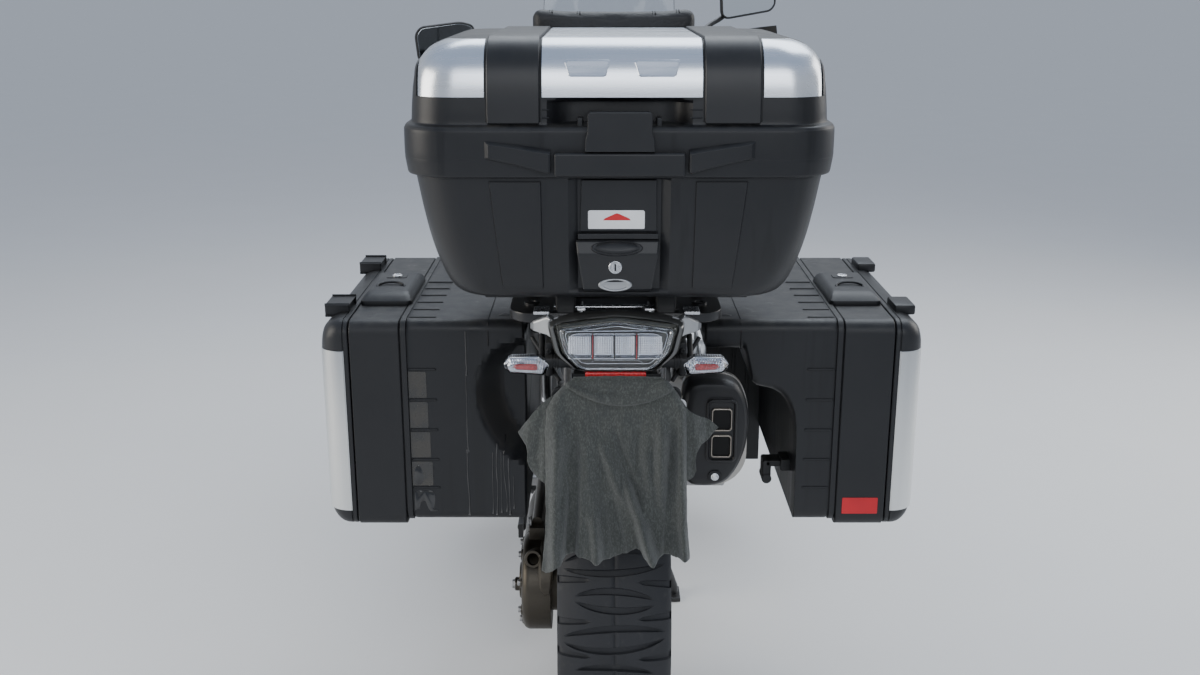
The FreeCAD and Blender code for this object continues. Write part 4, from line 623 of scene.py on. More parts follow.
def softened(outline, reach, steps=4):
    """The outline with its corners rounded off over a length."""
    count = len(outline)
    points = []
    for i in range(count):
        a, b, c = (Vector(outline[(i + k) % count]) for k in (-1, 0, 1))
        before = b + (a - b) * min(0.45, reach / (a - b).length)
        after = b + (c - b) * min(0.45, reach / (c - b).length)
        for step in range(steps + 1):
            t = step / steps
            points.append(tuple(before * (1 - t) ** 2 + b * 2 * t * (1 - t) + after * t * t))
    return points


def upright(outline, ahead):
    """Pairs of x and z in millimetres as points at one distance from the rear axle."""
    return [at(x * MM, ahead * MM, z * MM) for x, z in outline]


def mirrored(outline):
    return [(-x, z) for x, z in reversed(outline)]


def stack(outline, *levels):
    """Rings of one outline; a level is how far it is drawn in, its softening and its place."""
    rings = []
    for inset, reach, ahead in levels:
        ring = drawn_in(outline, inset) if inset else outline
        rings.append(upright(softened(ring, reach) if reach else ring, ahead))
    return rings


# Top case

CASE_CENTRE = 0.003
CASE_HALF, CASE_BACK, CASE_FRONT = 280, -415, 50
BASE_PROFILE = (
    # inset from the rim, z
    (62, 938), (50, 938.5), (38, 943), (30, 952), (24, 966), (18, 990), (13.5, 1020),
    (11, 1055), (10, 1085), (9.5, 1101), (9, 1104), (1.5, 1105.5), (0.3, 1107), (0, 1110),
    (0, 1126.6), (1.2, 1128),
)
BASE_TAPER = 48
CASE_WALL = 5
LID_PROFILE = (
    (1.2, 1128.8), (0, 1130), (0, 1160), (0.8, 1165), (3, 1168.5), (7.5, 1170.5),
    (9.3, 1173), (10.2, 1187), (11.4, 1202), (13, 1218), (16, 1234), (20.5, 1246),
    (27.5, 1257), (36, 1265), (46, 1271), (60, 1275),
)
STRAPS = ((-168, -101), (107, 178))
REAR_BREAKS = (-216, -190, -168, -135, -101, -92, -82, -78, -66, -54, -40, -20, 0, 20, 40, 54,
               66, 78, 82, 92, 107, 140, 178, 195, 216)


def dense(profile, steps=5):
    """More points on a profile, rounded between its own."""
    points = curve_through([Vector((inset, z, 0)) for inset, z in profile], steps)
    return [(point.x, point.y) for point in points]


def grown(profile, amount):
    """A profile moved outwards by an amount in millimetres."""
    moved = []
    for i, (inset, z) in enumerate(profile):
        before = profile[max(i - 1, 0)]
        after = profile[min(i + 1, len(profile) - 1)]
        run_in, run_up = after[0] - before[0], after[1] - before[1]
        length = math.hypot(run_in, run_up) or 1.0
        moved.append((inset - amount * run_up / length, z + amount * run_in / length))
    return moved


def lid_level(inset, z):
    """Half width, back, front and corner radius of the lid where it is drawn in."""
    return CASE_HALF - inset, CASE_BACK + inset, CASE_FRONT - inset, 62 - inset * 0.35, z


def base_level(inset, z):
    taper = BASE_TAPER * (1 - (z - 938) / 190)
    half = CASE_HALF - inset - taper * 0.55
    return (half, CASE_BACK + inset * 0.7 + taper * 0.25, CASE_FRONT - inset * 0.6,
            62 - inset * 0.3, z)


def case_ring(level, dent=None):
    """One level round-cornered ring of the case, with its rear side cut at the breaks."""
    half, back, front, radius, z = level
    points = []
    for x in REAR_BREAKS:
        limit = half - radius
        points.append((max(-limit, min(limit, x)), back, z))
    corners = ((half - radius, back + radius, -90), (half - radius, front - radius, 0),
               (-half + radius, front - radius, 90), (-half + radius, back + radius, 180))
    for number, (x, y, start) in enumerate(corners):
        for step in range(1 if number == 0 else 0, 11 if number < 3 else 10):
            angle = math.radians(start + 9 * step)
            points.append((x + radius * math.cos(angle), y + radius * math.sin(angle), z))
    if dent:
        points = [(x, y + (dent(x, z) if y < back + 2 else 0), z) for x, y, z in points]
    return [at(CASE_CENTRE + x * MM, y * MM, z * MM) for x, y, z in points]


def lid_dent(x, z):
    """The hollow behind the latch: round at its sides, open below."""
    side = min(1.0, max(0.0, (84 - abs(x)) / 24))
    across = math.sqrt(max(0.0, 1 - (1 - side) ** 2))
    up = blend_step(1170, 1172.5, z) * (1 - blend_step(1200, 1203, z))
    return 26 * across * up


def base_dent(x, z):
    """The channel that holds the latch, with slanting sides."""
    side = min(1.0, max(0.0, (68 - abs(x)) / 14))
    return 10 * side * blend_step(946, 954, z) * (1 - blend_step(1101, 1104, z))


def lid_section(x, amount, rear_low, front_low, steps=20):
    """The outline over the lid at one x, from the rear up, over the top and down in front."""
    profile = grown(dense(LID_PROFILE), amount)
    levels = [lid_level(*entry) for entry in profile]
    last = max((i for i, level in enumerate(levels) if level[0] >= abs(x)), default=0)

    def side_point(place, rear):
        i = min(int(place), len(levels) - 2)
        share = place - i
        half, back, front, radius, z = (a + (b - a) * share
                                        for a, b in zip(levels[i], levels[i + 1]))
        over = max(0.0, abs(x) - (half - radius))
        turn = radius - math.sqrt(max(0.0, radius * radius - over * over))
        y = back + turn if rear else front - turn
        return at(CASE_CENTRE + x * MM, y * MM, z * MM)

    def start_of(height):
        return next(i for i, level in enumerate(levels) if level[4] >= height)

    run = []
    for rear, low in ((True, rear_low), (False, front_low)):
        first = start_of(low)
        places = [first + (last - first) * math.sin(math.pi / 2 * s / steps)
                  for s in range(steps + 1)]
        side = [side_point(place, rear) for place in places]
        run += side if rear else side[::-1]
    return run


def over_lid(shape, x0, x1, amount, rear_low, front_low, edge=1.0, columns=10, stop=None):
    """A skin that follows the lid between two places across it."""
    places = [x0, x0 + edge] + [x0 + edge + (x1 - x0 - 2 * edge) * i / columns
                                for i in range(1, columns)] + [x1 - edge, x1]
    rings = []
    for number, x in enumerate(places):
        thick = amount - (edge if number in (0, len(places) - 1) else 0)
        outer = lid_section(x, thick, rear_low, front_low)
        inner = lid_section(x, -1.5, rear_low, front_low)
        if stop:
            outer, inner = outer[:stop], inner[:stop]
        rings.append(outer + inner[::-1])
    shape.skin(rings)
    return shape


def rear_of_lid(z):
    """Where the lid's rear face stands at a height, in millimetres."""
    profile = dense(LID_PROFILE)
    inset = min(profile, key=lambda entry: abs(entry[1] - z))[0]
    return CASE_BACK + inset


def rear_of_base(z):
    profile = dense(BASE_PROFILE)
    inset = min(profile, key=lambda entry: abs(entry[1] - z))[0]
    return base_level(inset, z)[1]


def on_rear(x, out, z, face=rear_of_base):
    """A point in front of the case's rear face, out being towards the camera."""
    return at(CASE_CENTRE + x * MM, (face(z) - out) * MM, z * MM)


def topcase_lid():
    shape = Shape()
    outer = dense(LID_PROFILE, 4)
    inner = [(inset + CASE_WALL, z - CASE_WALL * blend_step(1240, 1268, z)) for inset, z in outer]
    shape.skin([case_ring(lid_level(*entry), lid_dent) for entry in inner[::-1] + outer])
    for x0, x1 in ((-100.5, -86), (86, 106.5)):
        for z in (1180, 1190):
            shape.tube([on_rear(x, 0.2, z, rear_of_lid) for x in (x0 + 3, x1 - 3)], 0.0008, 6, 1)
    piece("topcase_lid_shell", shape, CASE, "topcase_lid_body",
          stands_for=("topcase_lid",), keep_flat=False, sharp=30)
    straps = Shape()
    for x0, x1 in STRAPS:
        over_lid(straps, x0, x1, 3.4, 1173.5, 1208, 1.4)
    piece("topcase_straps", straps, CASE_SMOOTH, "topcase_lid_body",
          keep_flat=False, sharp=30)
    seam = Shape()
    for x0, x1 in STRAPS:
        for x in (x0 - 0.9, x1 + 0.9):
            over_lid(seam, x - 1.0, x + 1.0, 0.25, 1174, 1208, 0.2, 2)
    piece("topcase_strap_lines", seam, CASE_LINE_AND_SHADE, "topcase_lid_body",
          keep_flat=False)


def topcase_panels():
    metal = Shape()
    over_lid(metal, STRAPS[0][1] + 2.5, STRAPS[1][0] - 2.5, 1.1, 1205, 1205, 0.5, 12)
    for x0, x1 in ((-257, STRAPS[0][0] - 2.5), (STRAPS[1][1] + 2.5, 257)):
        over_lid(metal, x0, x1, 1.1, 1205, 1205, 0.5, 14, stop=17)
    for side in (-1, 1):
        middle = 3 + side * 44
        outline = ((-21, 1230), (21, 1230), (24, 1232), (29, 1248), (27, 1251), (-27, 1251),
                   (-29, 1248), (-24, 1232))
        outer = [on_rear(middle + x, 1.0, z, rear_of_lid) for x, z in outline]
        ridge = [on_rear(middle + x * 0.95, 2.7, 1240.5 + (z - 1240.5) * 0.9, rear_of_lid)
                 for x, z in outline]
        inner = [on_rear(middle + x * 0.90, 1.9, 1240.5 + (z - 1240.5) * 0.78, rear_of_lid)
                 for x, z in outline]
        metal.skin([outer, ridge, inner])
    piece("topcase_metal", metal, BRUSHED, "topcase_lid_body",
          stands_for=("topcase_panels",), keep_flat=False, sharp=34)
    frame_edge = Shape()
    for x0, x1 in ((-264, -258.2), (258.2, 264)):
        over_lid(frame_edge, x0, x1, 1.6, 1203, 1203, 1.2, 3)
    piece("topcase_metal_frame", frame_edge, CASE_SMOOTH, "topcase_lid_body",
          keep_flat=False)


def topcase_base():
    shape = Shape()
    outer = dense(BASE_PROFILE, 4)
    inner = [(inset + CASE_WALL, z + CASE_WALL * blend_step(966, 940, z)) for inset, z in outer]
    shape.skin([case_ring(base_level(*entry), base_dent) for entry in outer + inner[::-1]])
    feet = ((-150, -330), (150, -330), (-150, -60), (150, -60))
    for x, ahead in feet:
        shape.block(at((x - 28) * MM, (ahead - 20) * MM, 0.9325),
                    at((x + 28) * MM, (ahead + 20) * MM, 0.940), 0.002)
    piece("topcase_base_shell", shape, CASE, stands_for=("topcase_base",),
          keep_flat=False, sharp=26)
    ribs = Shape()
    for side, spans in ((-1, ((168, 154), (100, 99))), (1, ((165, 150), (97, 96)))):
        rings = []
        for z in [955 + i * 6 for i in range(25)]:
            t = (1101 - z) / 146
            far = spans[0][0] + (spans[0][1] - spans[0][0]) * t
            near = spans[1][0] + (spans[1][1] - spans[1][0]) * t
            row = [(far, -1), (far - 1.5, 2.6), (near + 1.5, 2.6), (near, -1)]
            rings.append([on_rear(side * x, out, z) for x, out in row])
        ribs.skin(rings)
    piece("topcase_ribs", ribs, CASE, sharp=30)


def slab_on_rear(shape, outline, centre_z, out, thickness, face=rear_of_base, edge=0.001):
    """A flat plate on the rear face; the outline's pairs are x and z in millimetres."""
    low = on_rear(0, out, centre_z - 20, face)
    high = on_rear(0, out, centre_z + 20, face)
    centre = on_rear(0, out, centre_z, face)
    up = (high - low).normalized()
    outward = Vector((0, -up.z, up.y)).normalized()
    place = placed(centre, outward, (1, 0, 0))
    points = [(x * MM, (z - centre_z) * MM) for x, z in outline]
    return shape.slab(points, thickness, place, edge)


def rounded_outline(x0, x1, z0, z1, radius, steps=5):
    points = []
    for x, z, start in ((x1 - radius, z0 + radius, -90), (x1 - radius, z1 - radius, 0),
                        (x0 + radius, z1 - radius, 90), (x0 + radius, z0 + radius, 180)):
        for step in range(steps + 1):
            angle = math.radians(start + 90 * step / steps)
            points.append((x + radius * math.cos(angle), z + radius * math.sin(angle)))
    return points


def latch():
    """Central bar, two wings, flap, push pad and lock."""
    bar = Shape()
    bar.block(at(-0.083, (CASE_BACK - 13) * MM, 1.1085), at(0.083, (CASE_BACK + 3) * MM, 1.1385),
              0.0035, 3, Matrix.Translation((CASE_CENTRE, 0, 0)))
    piece("topcase_latch_bar", bar, CASE_SMOOTH, "topcase_lid_body", sharp=50)
    wings = Shape()
    for side in (-1, 1):
        rings = []
        for x, low, high, out in ((172, 1130, 1152, -1.0), (166, 1129.2, 1151, 4.5),
                                  (130, 1122, 1146, 8.0), (90, 1112, 1140, 11.5),
                                  (87.5, 1112.5, 1139.5, 10.0)):
            edge = 2.0 if out > 0 else 0.0
            row = [(low, -3), (low, out - edge), (low + edge, out), (high - edge * 1.6, out),
                   (high, out - edge * 1.6), (high + 3, -3)]
            rings.append([at(CASE_CENTRE + side * x * MM, (CASE_BACK - o) * MM, z * MM)
                          for z, o in row])
        wings.skin(rings)
    piece("topcase_wings", wings, CASE_SMOOTH, "topcase_lid_body", sharp=30)
    flap = Shape()
    outline = [(-44, 1140), (44, 1140), (43, 1156), (40.5, 1164), (40.5, 1186), (38, 1189),
               (-38, 1189), (-40.5, 1186), (-40.5, 1164), (-43, 1156)]
    rings = []
    for out, shrink in ((-22, 1.0), (-3.2, 1.0), (-1.2, 0.975)):
        rings.append([at(CASE_CENTRE + x * shrink * MM, (CASE_BACK + 8 - out) * MM,
                         (1164 + (z - 1164) * shrink) * MM) for x, z in outline])
    flap.skin([[Vector((p.x, 2 * at(0, (CASE_BACK + 8) * MM, 0).y - p.y, p.z)) for p in ring]
               for ring in rings])
    piece("topcase_flap", flap, CASE_SMOOTH, "topcase_lid_body", edge=0.0008)
    brackets = Shape()
    for side in (-1, 1):
        x = side * 50
        brackets.block(at((x - 3.5) * MM, (CASE_BACK + 8) * MM, 1.158),
                       at((x + 3.5) * MM, (CASE_BACK + 32) * MM, 1.180), 0.0015)
        brackets.block(at((x - 7) * MM, (CASE_BACK + 14) * MM, 1.150),
                       at((x + 7) * MM, (CASE_BACK + 34) * MM, 1.160), 0.0015)
        brackets.rod(at((x - 8) * MM, (CASE_BACK + 16) * MM, 1.174),
                     at((x + 8) * MM, (CASE_BACK + 16) * MM, 1.174), 0.004, 14, 0.0008)
    piece("topcase_flap_brackets", brackets, CASE_SMOOTH, "topcase_lid_body",
          place=Matrix.Translation((CASE_CENTRE, 0, 0)))
    plate = Shape()
    slab_on_rear(plate, ((-51, 1033), (49, 1033), (48, 1101), (-49, 1101)), 1068, -9, 0.003)
    slab_on_rear(plate, ((-54, 1023), (51, 1023), (51, 1030.5), (-54, 1030.5)), 1027, -9, 0.006)
    piece("topcase_centre_plate", plate, CASE_SMOOTH, edge=0.0004)
    housing = Shape()
    rows = []
    for z, half, out in ((949, 43, -8), (950, 44, 1.5), (954, 45.5, 4.5), (985, 50, 6.0),
                         (1002, 52.5, 6.6), (1006, 53, 5.4), (1019, 54.5, -1.5),
                         (1021, 54.5, -4)):
        edge = min(1.6, max(0.0, out + 8))
        row = [(-half, -9), (-half, out - edge), (-half + 2, out), (half - 2, out),
               (half, out - edge), (half, -9)]
        rows.append([on_rear(x - 2, o, z) for x, o in row])
    housing.skin(rows)
    piece("topcase_lock_housing", housing, CASE_SMOOTH, sharp=24)
    return housing_details()


def housing_details():
    button = Shape()
    centre = on_rear(-3, 3.4, 1012)
    face = placed(centre, (0, -0.87, 0.49))
    profile = ((-0.004, 0.0338), (0.0004, 0.0338), (0.0014, 0.0325), (0.0016, 0.0300),
               (0.0004, 0.0285), (0.0012, 0.0262), (0.0026, 0.0215), (0.0030, 0.0120),
               (0.0031, 0.0010))
    button.lathe(profile, face @ Matrix.Diagonal((1, 0.30, 1, 1)), 56)
    piece("topcase_push_pad", button, CASE_SMOOTH, sharp=60)
    lock = Shape()
    place = placed(on_rear(-5, 6.2, 986), (0, -1, 0))
    lock.lathe(((-0.001, 0.0088), (0.0012, 0.0088), (0.0020, 0.0080), (0.0020, 0.0066),
                (0.0012, 0.0062), (0.0012, 0.0002)), place, 40)
    lock.lathe(((0.0012, 0.0048), (0.0019, 0.0044), (0.0019, 0.0002)), place, 32)
    piece("topcase_key_lock", lock, BRIGHT, sharp=40)
    # A near-black bar on the lock face: painted shade of the keyway
    slot = Shape()
    slot.block((-0.0011, -0.0046, 0.0018), (0.0011, 0.0046, 0.0024), 0.0004, 1, place)
    piece("topcase_key_slot_shade", slot, CASE_LINE_AND_SHADE)
    ring = Shape()
    place = placed(on_rear(-5, 5.0, 960.5), (0, -1, 0.10))
    ring.lathe(((-0.002, 0.0225), (0.0012, 0.0225), (0.0030, 0.0210), (0.0034, 0.0185),
                (0.0026, 0.0160), (0.0012, 0.0150), (0.0009, 0.0002)),
               place @ Matrix.Diagonal((1, 0.40, 1, 1)), 56)
    piece("topcase_oval_badge", ring, SILVER_PAINT, sharp=60)
    label = Shape()
    slab_on_rear(label, rounded_outline(-40.5, 33, 1035, 1061, 3), 1048, -6.1, 0.0004,
                 edge=0.0001)
    piece("topcase_label", label, WHITE)
    sign = Shape()
    slab_on_rear(sign, ((-21, 1047.5), (15, 1047.5), (13, 1050), (0, 1056), (-3, 1057),
                        (-6, 1056), (-19, 1050)), 1050, -5.65, 0.0002, edge=0.00005)
    piece("topcase_label_sign", sign, RED)


topcase_lid()
topcase_panels()
topcase_base()
latch()


# Panniers

PANNIER_BACK, PANNIER_FRONT, PANNIER_LOW, PANNIER_HIGH = -177, 293, 515, 851
PANNIER_INNER = 137
# The body behind the step: set in at the rear, its lower edge raised and rounded
SET_IN = 3.2
BODY_LOW = PANNIER_LOW + 9
BODY_ROUND = 17
LID_BULGE = 0.9
QUARTER = [math.radians(9 * i) for i in range(11)]
PANNIERS = (
    # side, outer face, lid seam, step, node ending
    (-1, 450, 404, 326, "left"),
    (1, 472, 426, 348, "right"),
)
SLOT_HEIGHTS = (581, 628, 677, 726, 775)
TOP_GROOVES = (-150, -104, -58, -12, 34, 80)
ARCH = (
    # x, lowest z of the right pannier there
    (137, 806), (196, 806), (200, 800), (206, 776), (212, 752), (220, 745.5), (232, 743),
    (244, 740), (256, 733), (266, 722), (274, 707), (279, 690), (282, 665), (283, 640),
    (284, 515),
)


def low_of_right(x):
    for (x0, z0), (x1, z1) in zip(ARCH, ARCH[1:]):
        if x <= x1:
            return z0 + (z1 - z0) * max(0.0, x - x0) / (x1 - x0)
    return PANNIER_LOW


def scoop(x, z):
    """The hollow at the inner rear edge of the left pannier, a D seen from behind."""
    middle_z, half_z, far = 722, 97, 212
    rise = (z - middle_z) / half_z
    lean = 0.22 * (z - middle_z) / half_z
    limit = PANNIER_INNER + (far - PANNIER_INNER) * math.sqrt(max(0.0, 1 - rise * rise)) \
        * (1 + lean)
    inside = (limit - x) / 40
    if inside <= 0:
        return 0.0
    return 46 * (1 - math.cos(min(1.0, inside) * math.pi / 2)) ** 0.55


def pannier_ring(side, x, inset, low, radius, dent=None, back_in=0.0):
    """One upright fore-and-aft section of a pannier."""
    back, front = PANNIER_BACK + inset + back_in, PANNIER_FRONT - inset
    high = PANNIER_HIGH - inset
    low = low + inset
    radius = max(1.5, min(radius, (high - low) / 2 - 1))
    steps = 34
    points = [(back, low + radius + (high - low - 2 * radius) * i / steps)
              for i in range(steps + 1)]
    for y, z, start in ((back + radius, high - radius, 180), (front - radius, high - radius, 90),
                        (front - radius, low + radius, 0), (back + radius, low + radius, -90)):
        for step in range(1, 7):
            angle = math.radians(start - 15 * step)
            points.append((y + radius * math.cos(angle), z + radius * math.sin(angle)))
    points = points[:-1]
    if dent:
        points = [(y + (dent(x, z) if y < back + radius else 0), z) for y, z in points]
    return [mm(side * x, y, z) for y, z in points]


def pannier_body(side, outer, seam, step, name):
    right = side > 0
    rows = []
    stations = [PANNIER_INNER + 3 + 4.5 * i for i in range(int((step - 12 - PANNIER_INNER) / 4.5))]
    if right:
        stations += [entry[0] for entry in ARCH[1:]]
        stations = sorted(set(stations))
    rows.append((PANNIER_INNER, 5, 14))
    rows += [(x, 0, BODY_ROUND) for x in stations]
    rings = []
    for x, inset, radius in rows:
        low = low_of_right(x) if right else PANNIER_LOW
        low = max(low, BODY_LOW)
        rings.append(pannier_ring(side, x, inset, low, radius, None if right else scoop,
                                  SET_IN))
    for x, inset, back_in in (
            (step - 11, 0, SET_IN), (step - 10.2, 0.2, SET_IN), (step - 9.4, -1.4, 1.4),
            (step - 1.6, -1.4, 1.4), (step - 0.8, 0.4, 2.0), (step - 0.7, 2.4, 2),
            (step + 0.7, 2.4, 2), (step + 0.8, 1.2, 0), (step + 2.2, 0, 0),
            (seam - 2.4, 0, 0), (seam - 1.2, 0.8, 0), (seam - 1.0, 3, 0)):
        low = PANNIER_LOW if x > step else BODY_LOW
        rings.append(pannier_ring(side, x, inset, low, 20, None, back_in))
    inner = [seam - 1.2, step + 6] + [x for x in reversed(stations) if x > PANNIER_INNER + 7]
    for x in inner:
        low = low_of_right(x - CASE_WALL) if right else PANNIER_LOW
        low = max(low, BODY_LOW)
        rings.append(pannier_ring(side, x, CASE_WALL, low, 15, None if right else scoop,
                                  SET_IN))
    shape = Shape()
    shape.skin(rings)
    piece("pannier_body_shell_" + name, shape, CASE, sharp=28,
          stands_for=("pannier_body_" + name,), keep_flat=False)


def pannier_lid(side, outer, seam, name):
    rows = [(seam + 0.6, 3), (seam + 0.8, 1.0), (seam + 2.0, 0), (seam + 7.0, 0),
            (seam + 7.6, 1.4), (seam + 8.8, 1.4), (seam + 9.4, 0)]
    turn = outer - seam - 12
    inner = [(seam + 0.6, CASE_WALL)]
    for angle in QUARTER:
        drop = turn * (1 - math.cos(angle)) * LID_BULGE
        rows.append((outer - turn + turn * math.sin(angle), drop))
        inner.append((outer - turn + (turn - CASE_WALL) * math.sin(angle),
                      drop + CASE_WALL * math.cos(angle)))
    shape = Shape()
    shape.skin([pannier_ring(side, x, inset, PANNIER_LOW, 24) for x, inset in inner[::-1] + rows])
    body = name + "_lid"
    for ahead in (-118, 176):
        shape.block(at((outer - 36) * MM * side, ahead * MM, 0.846),
                    at((outer - 4) * MM * side, (ahead + 58) * MM, 0.862), 0.003, 2)
    piece("pannier_lid_shell_" + name, shape, CASE_SMOOTH, body, sharp=30,
          stands_for=("pannier_lid_" + name,), keep_flat=False)
    sheet = Shape()
    plan = []
    start = seam + 9.8
    turn = outer - start
    for end, sign in ((PANNIER_BACK, 1), (PANNIER_FRONT, -1)):
        run = [(start + turn * math.sin(angle),
                end + sign * turn * LID_BULGE * (1 - math.cos(angle))) for angle in QUARTER]
        plan += run if sign > 0 else run[::-1]
    rows = []
    for grow, z in ((-0.5, 543), (1.2, 543.6), (1.4, 545), (1.4, 803), (1.2, 804.4), (-0.5, 805)):
        row = []
        for i, (x, y) in enumerate(plan):
            before, after = plan[max(i - 1, 0)], plan[min(i + 1, len(plan) - 1)]
            dx, dy = after[0] - before[0], after[1] - before[1]
            length = math.hypot(dx, dy)
            row.append(mm(side * (x + dy / length * grow), y - dx / length * grow, z))
        inner = [mm(side * (x - 2), y, z) for x, y in plan]
        rows.append(row + inner[::-1])
    sheet.skin(rows)
    piece("pannier_metal_" + name, sheet, BRUSHED_UP, body, sharp=30,
          keep_flat=False)


def pannier_slots(side, step, name):
    """Ribs on the rear face and on the top, beside the step."""
    shape, lines = Shape(), Shape()
    x0, x1 = step - 54, step - 11
    middle, half = side * (x0 + x1) / 2 * MM, (x1 - x0) / 2
    back = at(0, (PANNIER_BACK + SET_IN) * MM, 0).y
    # place, half height and corner of the line, low and high edge of the rib
    spots = [(placed(Vector((middle, back + 0.0002, z * MM)), (0, -1, 0)), 2.6, 2.5, -0.9, 1.5)
             for z in SLOT_HEIGHTS]
    spots += [(placed(at(middle, ahead * MM, PANNIER_HIGH * MM - 0.0002), (0, 0, 1)),
               2.4, 2.2, -1.0, 1.4) for ahead in TOP_GROOVES]
    # The near-black outline under each rib is painted shade in the recessed slot
    for place, deep, corner, low, high in spots:
        lines.slab(metres(rounded_outline(-half, half, -deep, deep, corner, 4)), 0.0004, place,
                   0.0001, 1)
        shape.slab(metres(rounded_outline(-half + 1.2, half - 1.2, low, high, 1.1, 4)), 0.0016,
                   place, 0.0006, 2)
    piece("pannier_slot_ribs_" + name, shape, CASE_SMOOTH)
    piece("pannier_slot_shade_" + name, lines, CASE_LINE_AND_SHADE)


def pannier_seams(side, step, name):
    """The thin seam at the inner block, over the top and down the rear face."""
    shape = Shape()
    x = side * 192 * MM
    back = (PANNIER_BACK + SET_IN) * MM
    z_end = 0.812 if side < 0 else 0.808
    path = [at(x, back - 0.0002, z_end), at(x, back - 0.0002, 0.834),
            at(x, back + 0.005, 0.8463), at(x, back + 0.017, 0.8512), at(x, 0.29, 0.8512)]
    shape.tube(path, 0.0010, 6, 1)
    piece("pannier_seam_" + name, shape, CASE_LINE_AND_SHADE)
    # A near-black patch lying on the top: painted shade of a small hollow
    hollow = Shape()
    outline = ((-0.012, -0.006), (0.011, -0.007), (0.012, -0.002), (0.0, 0.009), (-0.004, 0.009))
    hollow.slab(outline, 0.0005, placed(at(side * 0.166, -0.135, 0.851), (0, 0, 1)), 0.0001, 1)
    piece("pannier_top_hollow_shade_" + name, hollow, CASE_LINE_AND_SHADE)
    rim = Shape()
    rim.slab([(x * 1.25, y * 1.2 + 0.0008) for x, y in outline], 0.0003,
             placed(at(side * 0.166, -0.135, 0.851), (0, 0, 1)), 0.0001, 1)
    piece("pannier_top_wear_" + name, rim, WORN)


def pannier_handle(side, seam, step, name):
    """A raised trapezoid block with the latch that opens the lid."""
    shape = Shape()
    middle = (seam + step) / 2 - 4
    rings = []
    for z, near, far, half in ((849, -78, 92, 40), (853, -79, 93, 41), (858, -78, 92, 40.5),
                               (864, -70, 88, 37), (868, -60, 82, 33), (869.5, -52, 76, 29)):
        rings.append([mm(side * (middle + x), y, z)
                      for x, y in rounded_outline(-half, half, near, far, 9)])
    shape.skin(rings)
    piece("pannier_handle_" + name, shape, CASE_SMOOTH, sharp=32,
          keep_flat=False)
    grip = Shape()
    path = [mm(side * (middle + x), y, z) for x, y, z in (
        (-22, -26, 868), (-21, -20, 871), (-12, -12, 872.5), (0, -10, 873), (12, -12, 872.5),
        (21, -20, 871), (22, -26, 868))]
    grip.tube(path, 0.0022, 8, 6)
    place = placed(at(side * middle * MM, 0.045, 0.8694), (0, 0, 1))
    grip.slab(metres(rounded_outline(-17, 17, -12, 12, 4)), 0.0012, place, 0.0006)
    piece("pannier_latch_" + name, grip, CASE_SMOOTH)
    lock = Shape()
    lock.lathe(((0, 0.0085), (0.0016, 0.0085), (0.0022, 0.0076), (0.0022, 0.006),
                (0.0012, 0.0056), (0.0012, 0.0004)),
               placed(at(side * middle * MM, 0.045, 0.8705), (0, 0, 1)), 32)
    piece("pannier_lock_" + name, lock, BRIGHT)


def right_hook():
    shape = Shape()
    shape.block(at(0.268, -0.120, 0.586), at(0.286, -0.080, 0.606), 0.003)
    shape.block(at(0.244, -0.116, 0.592), at(0.272, -0.084, 0.603), 0.003)
    shape.block(at(0.240, -0.116, 0.570), at(0.254, -0.084, 0.603), 0.003)
    shape.rod(at(0.247, -0.118, 0.572), at(0.247, -0.082, 0.572), 0.008, 20, 0.001)
    piece("pannier_hook", shape, PLASTIC)
    sticker = Shape()
    place = placed(at(0.3865, PANNIER_BACK * MM - 0.0001, 0.5515), (0, -1, 0))
    sticker.slab(metres(rounded_outline(-28, 28, -13.5, 13.5, 1.5, 3)), 0.0004, place, 0.0001, 1)
    piece("pannier_sticker", sticker, STICKER)


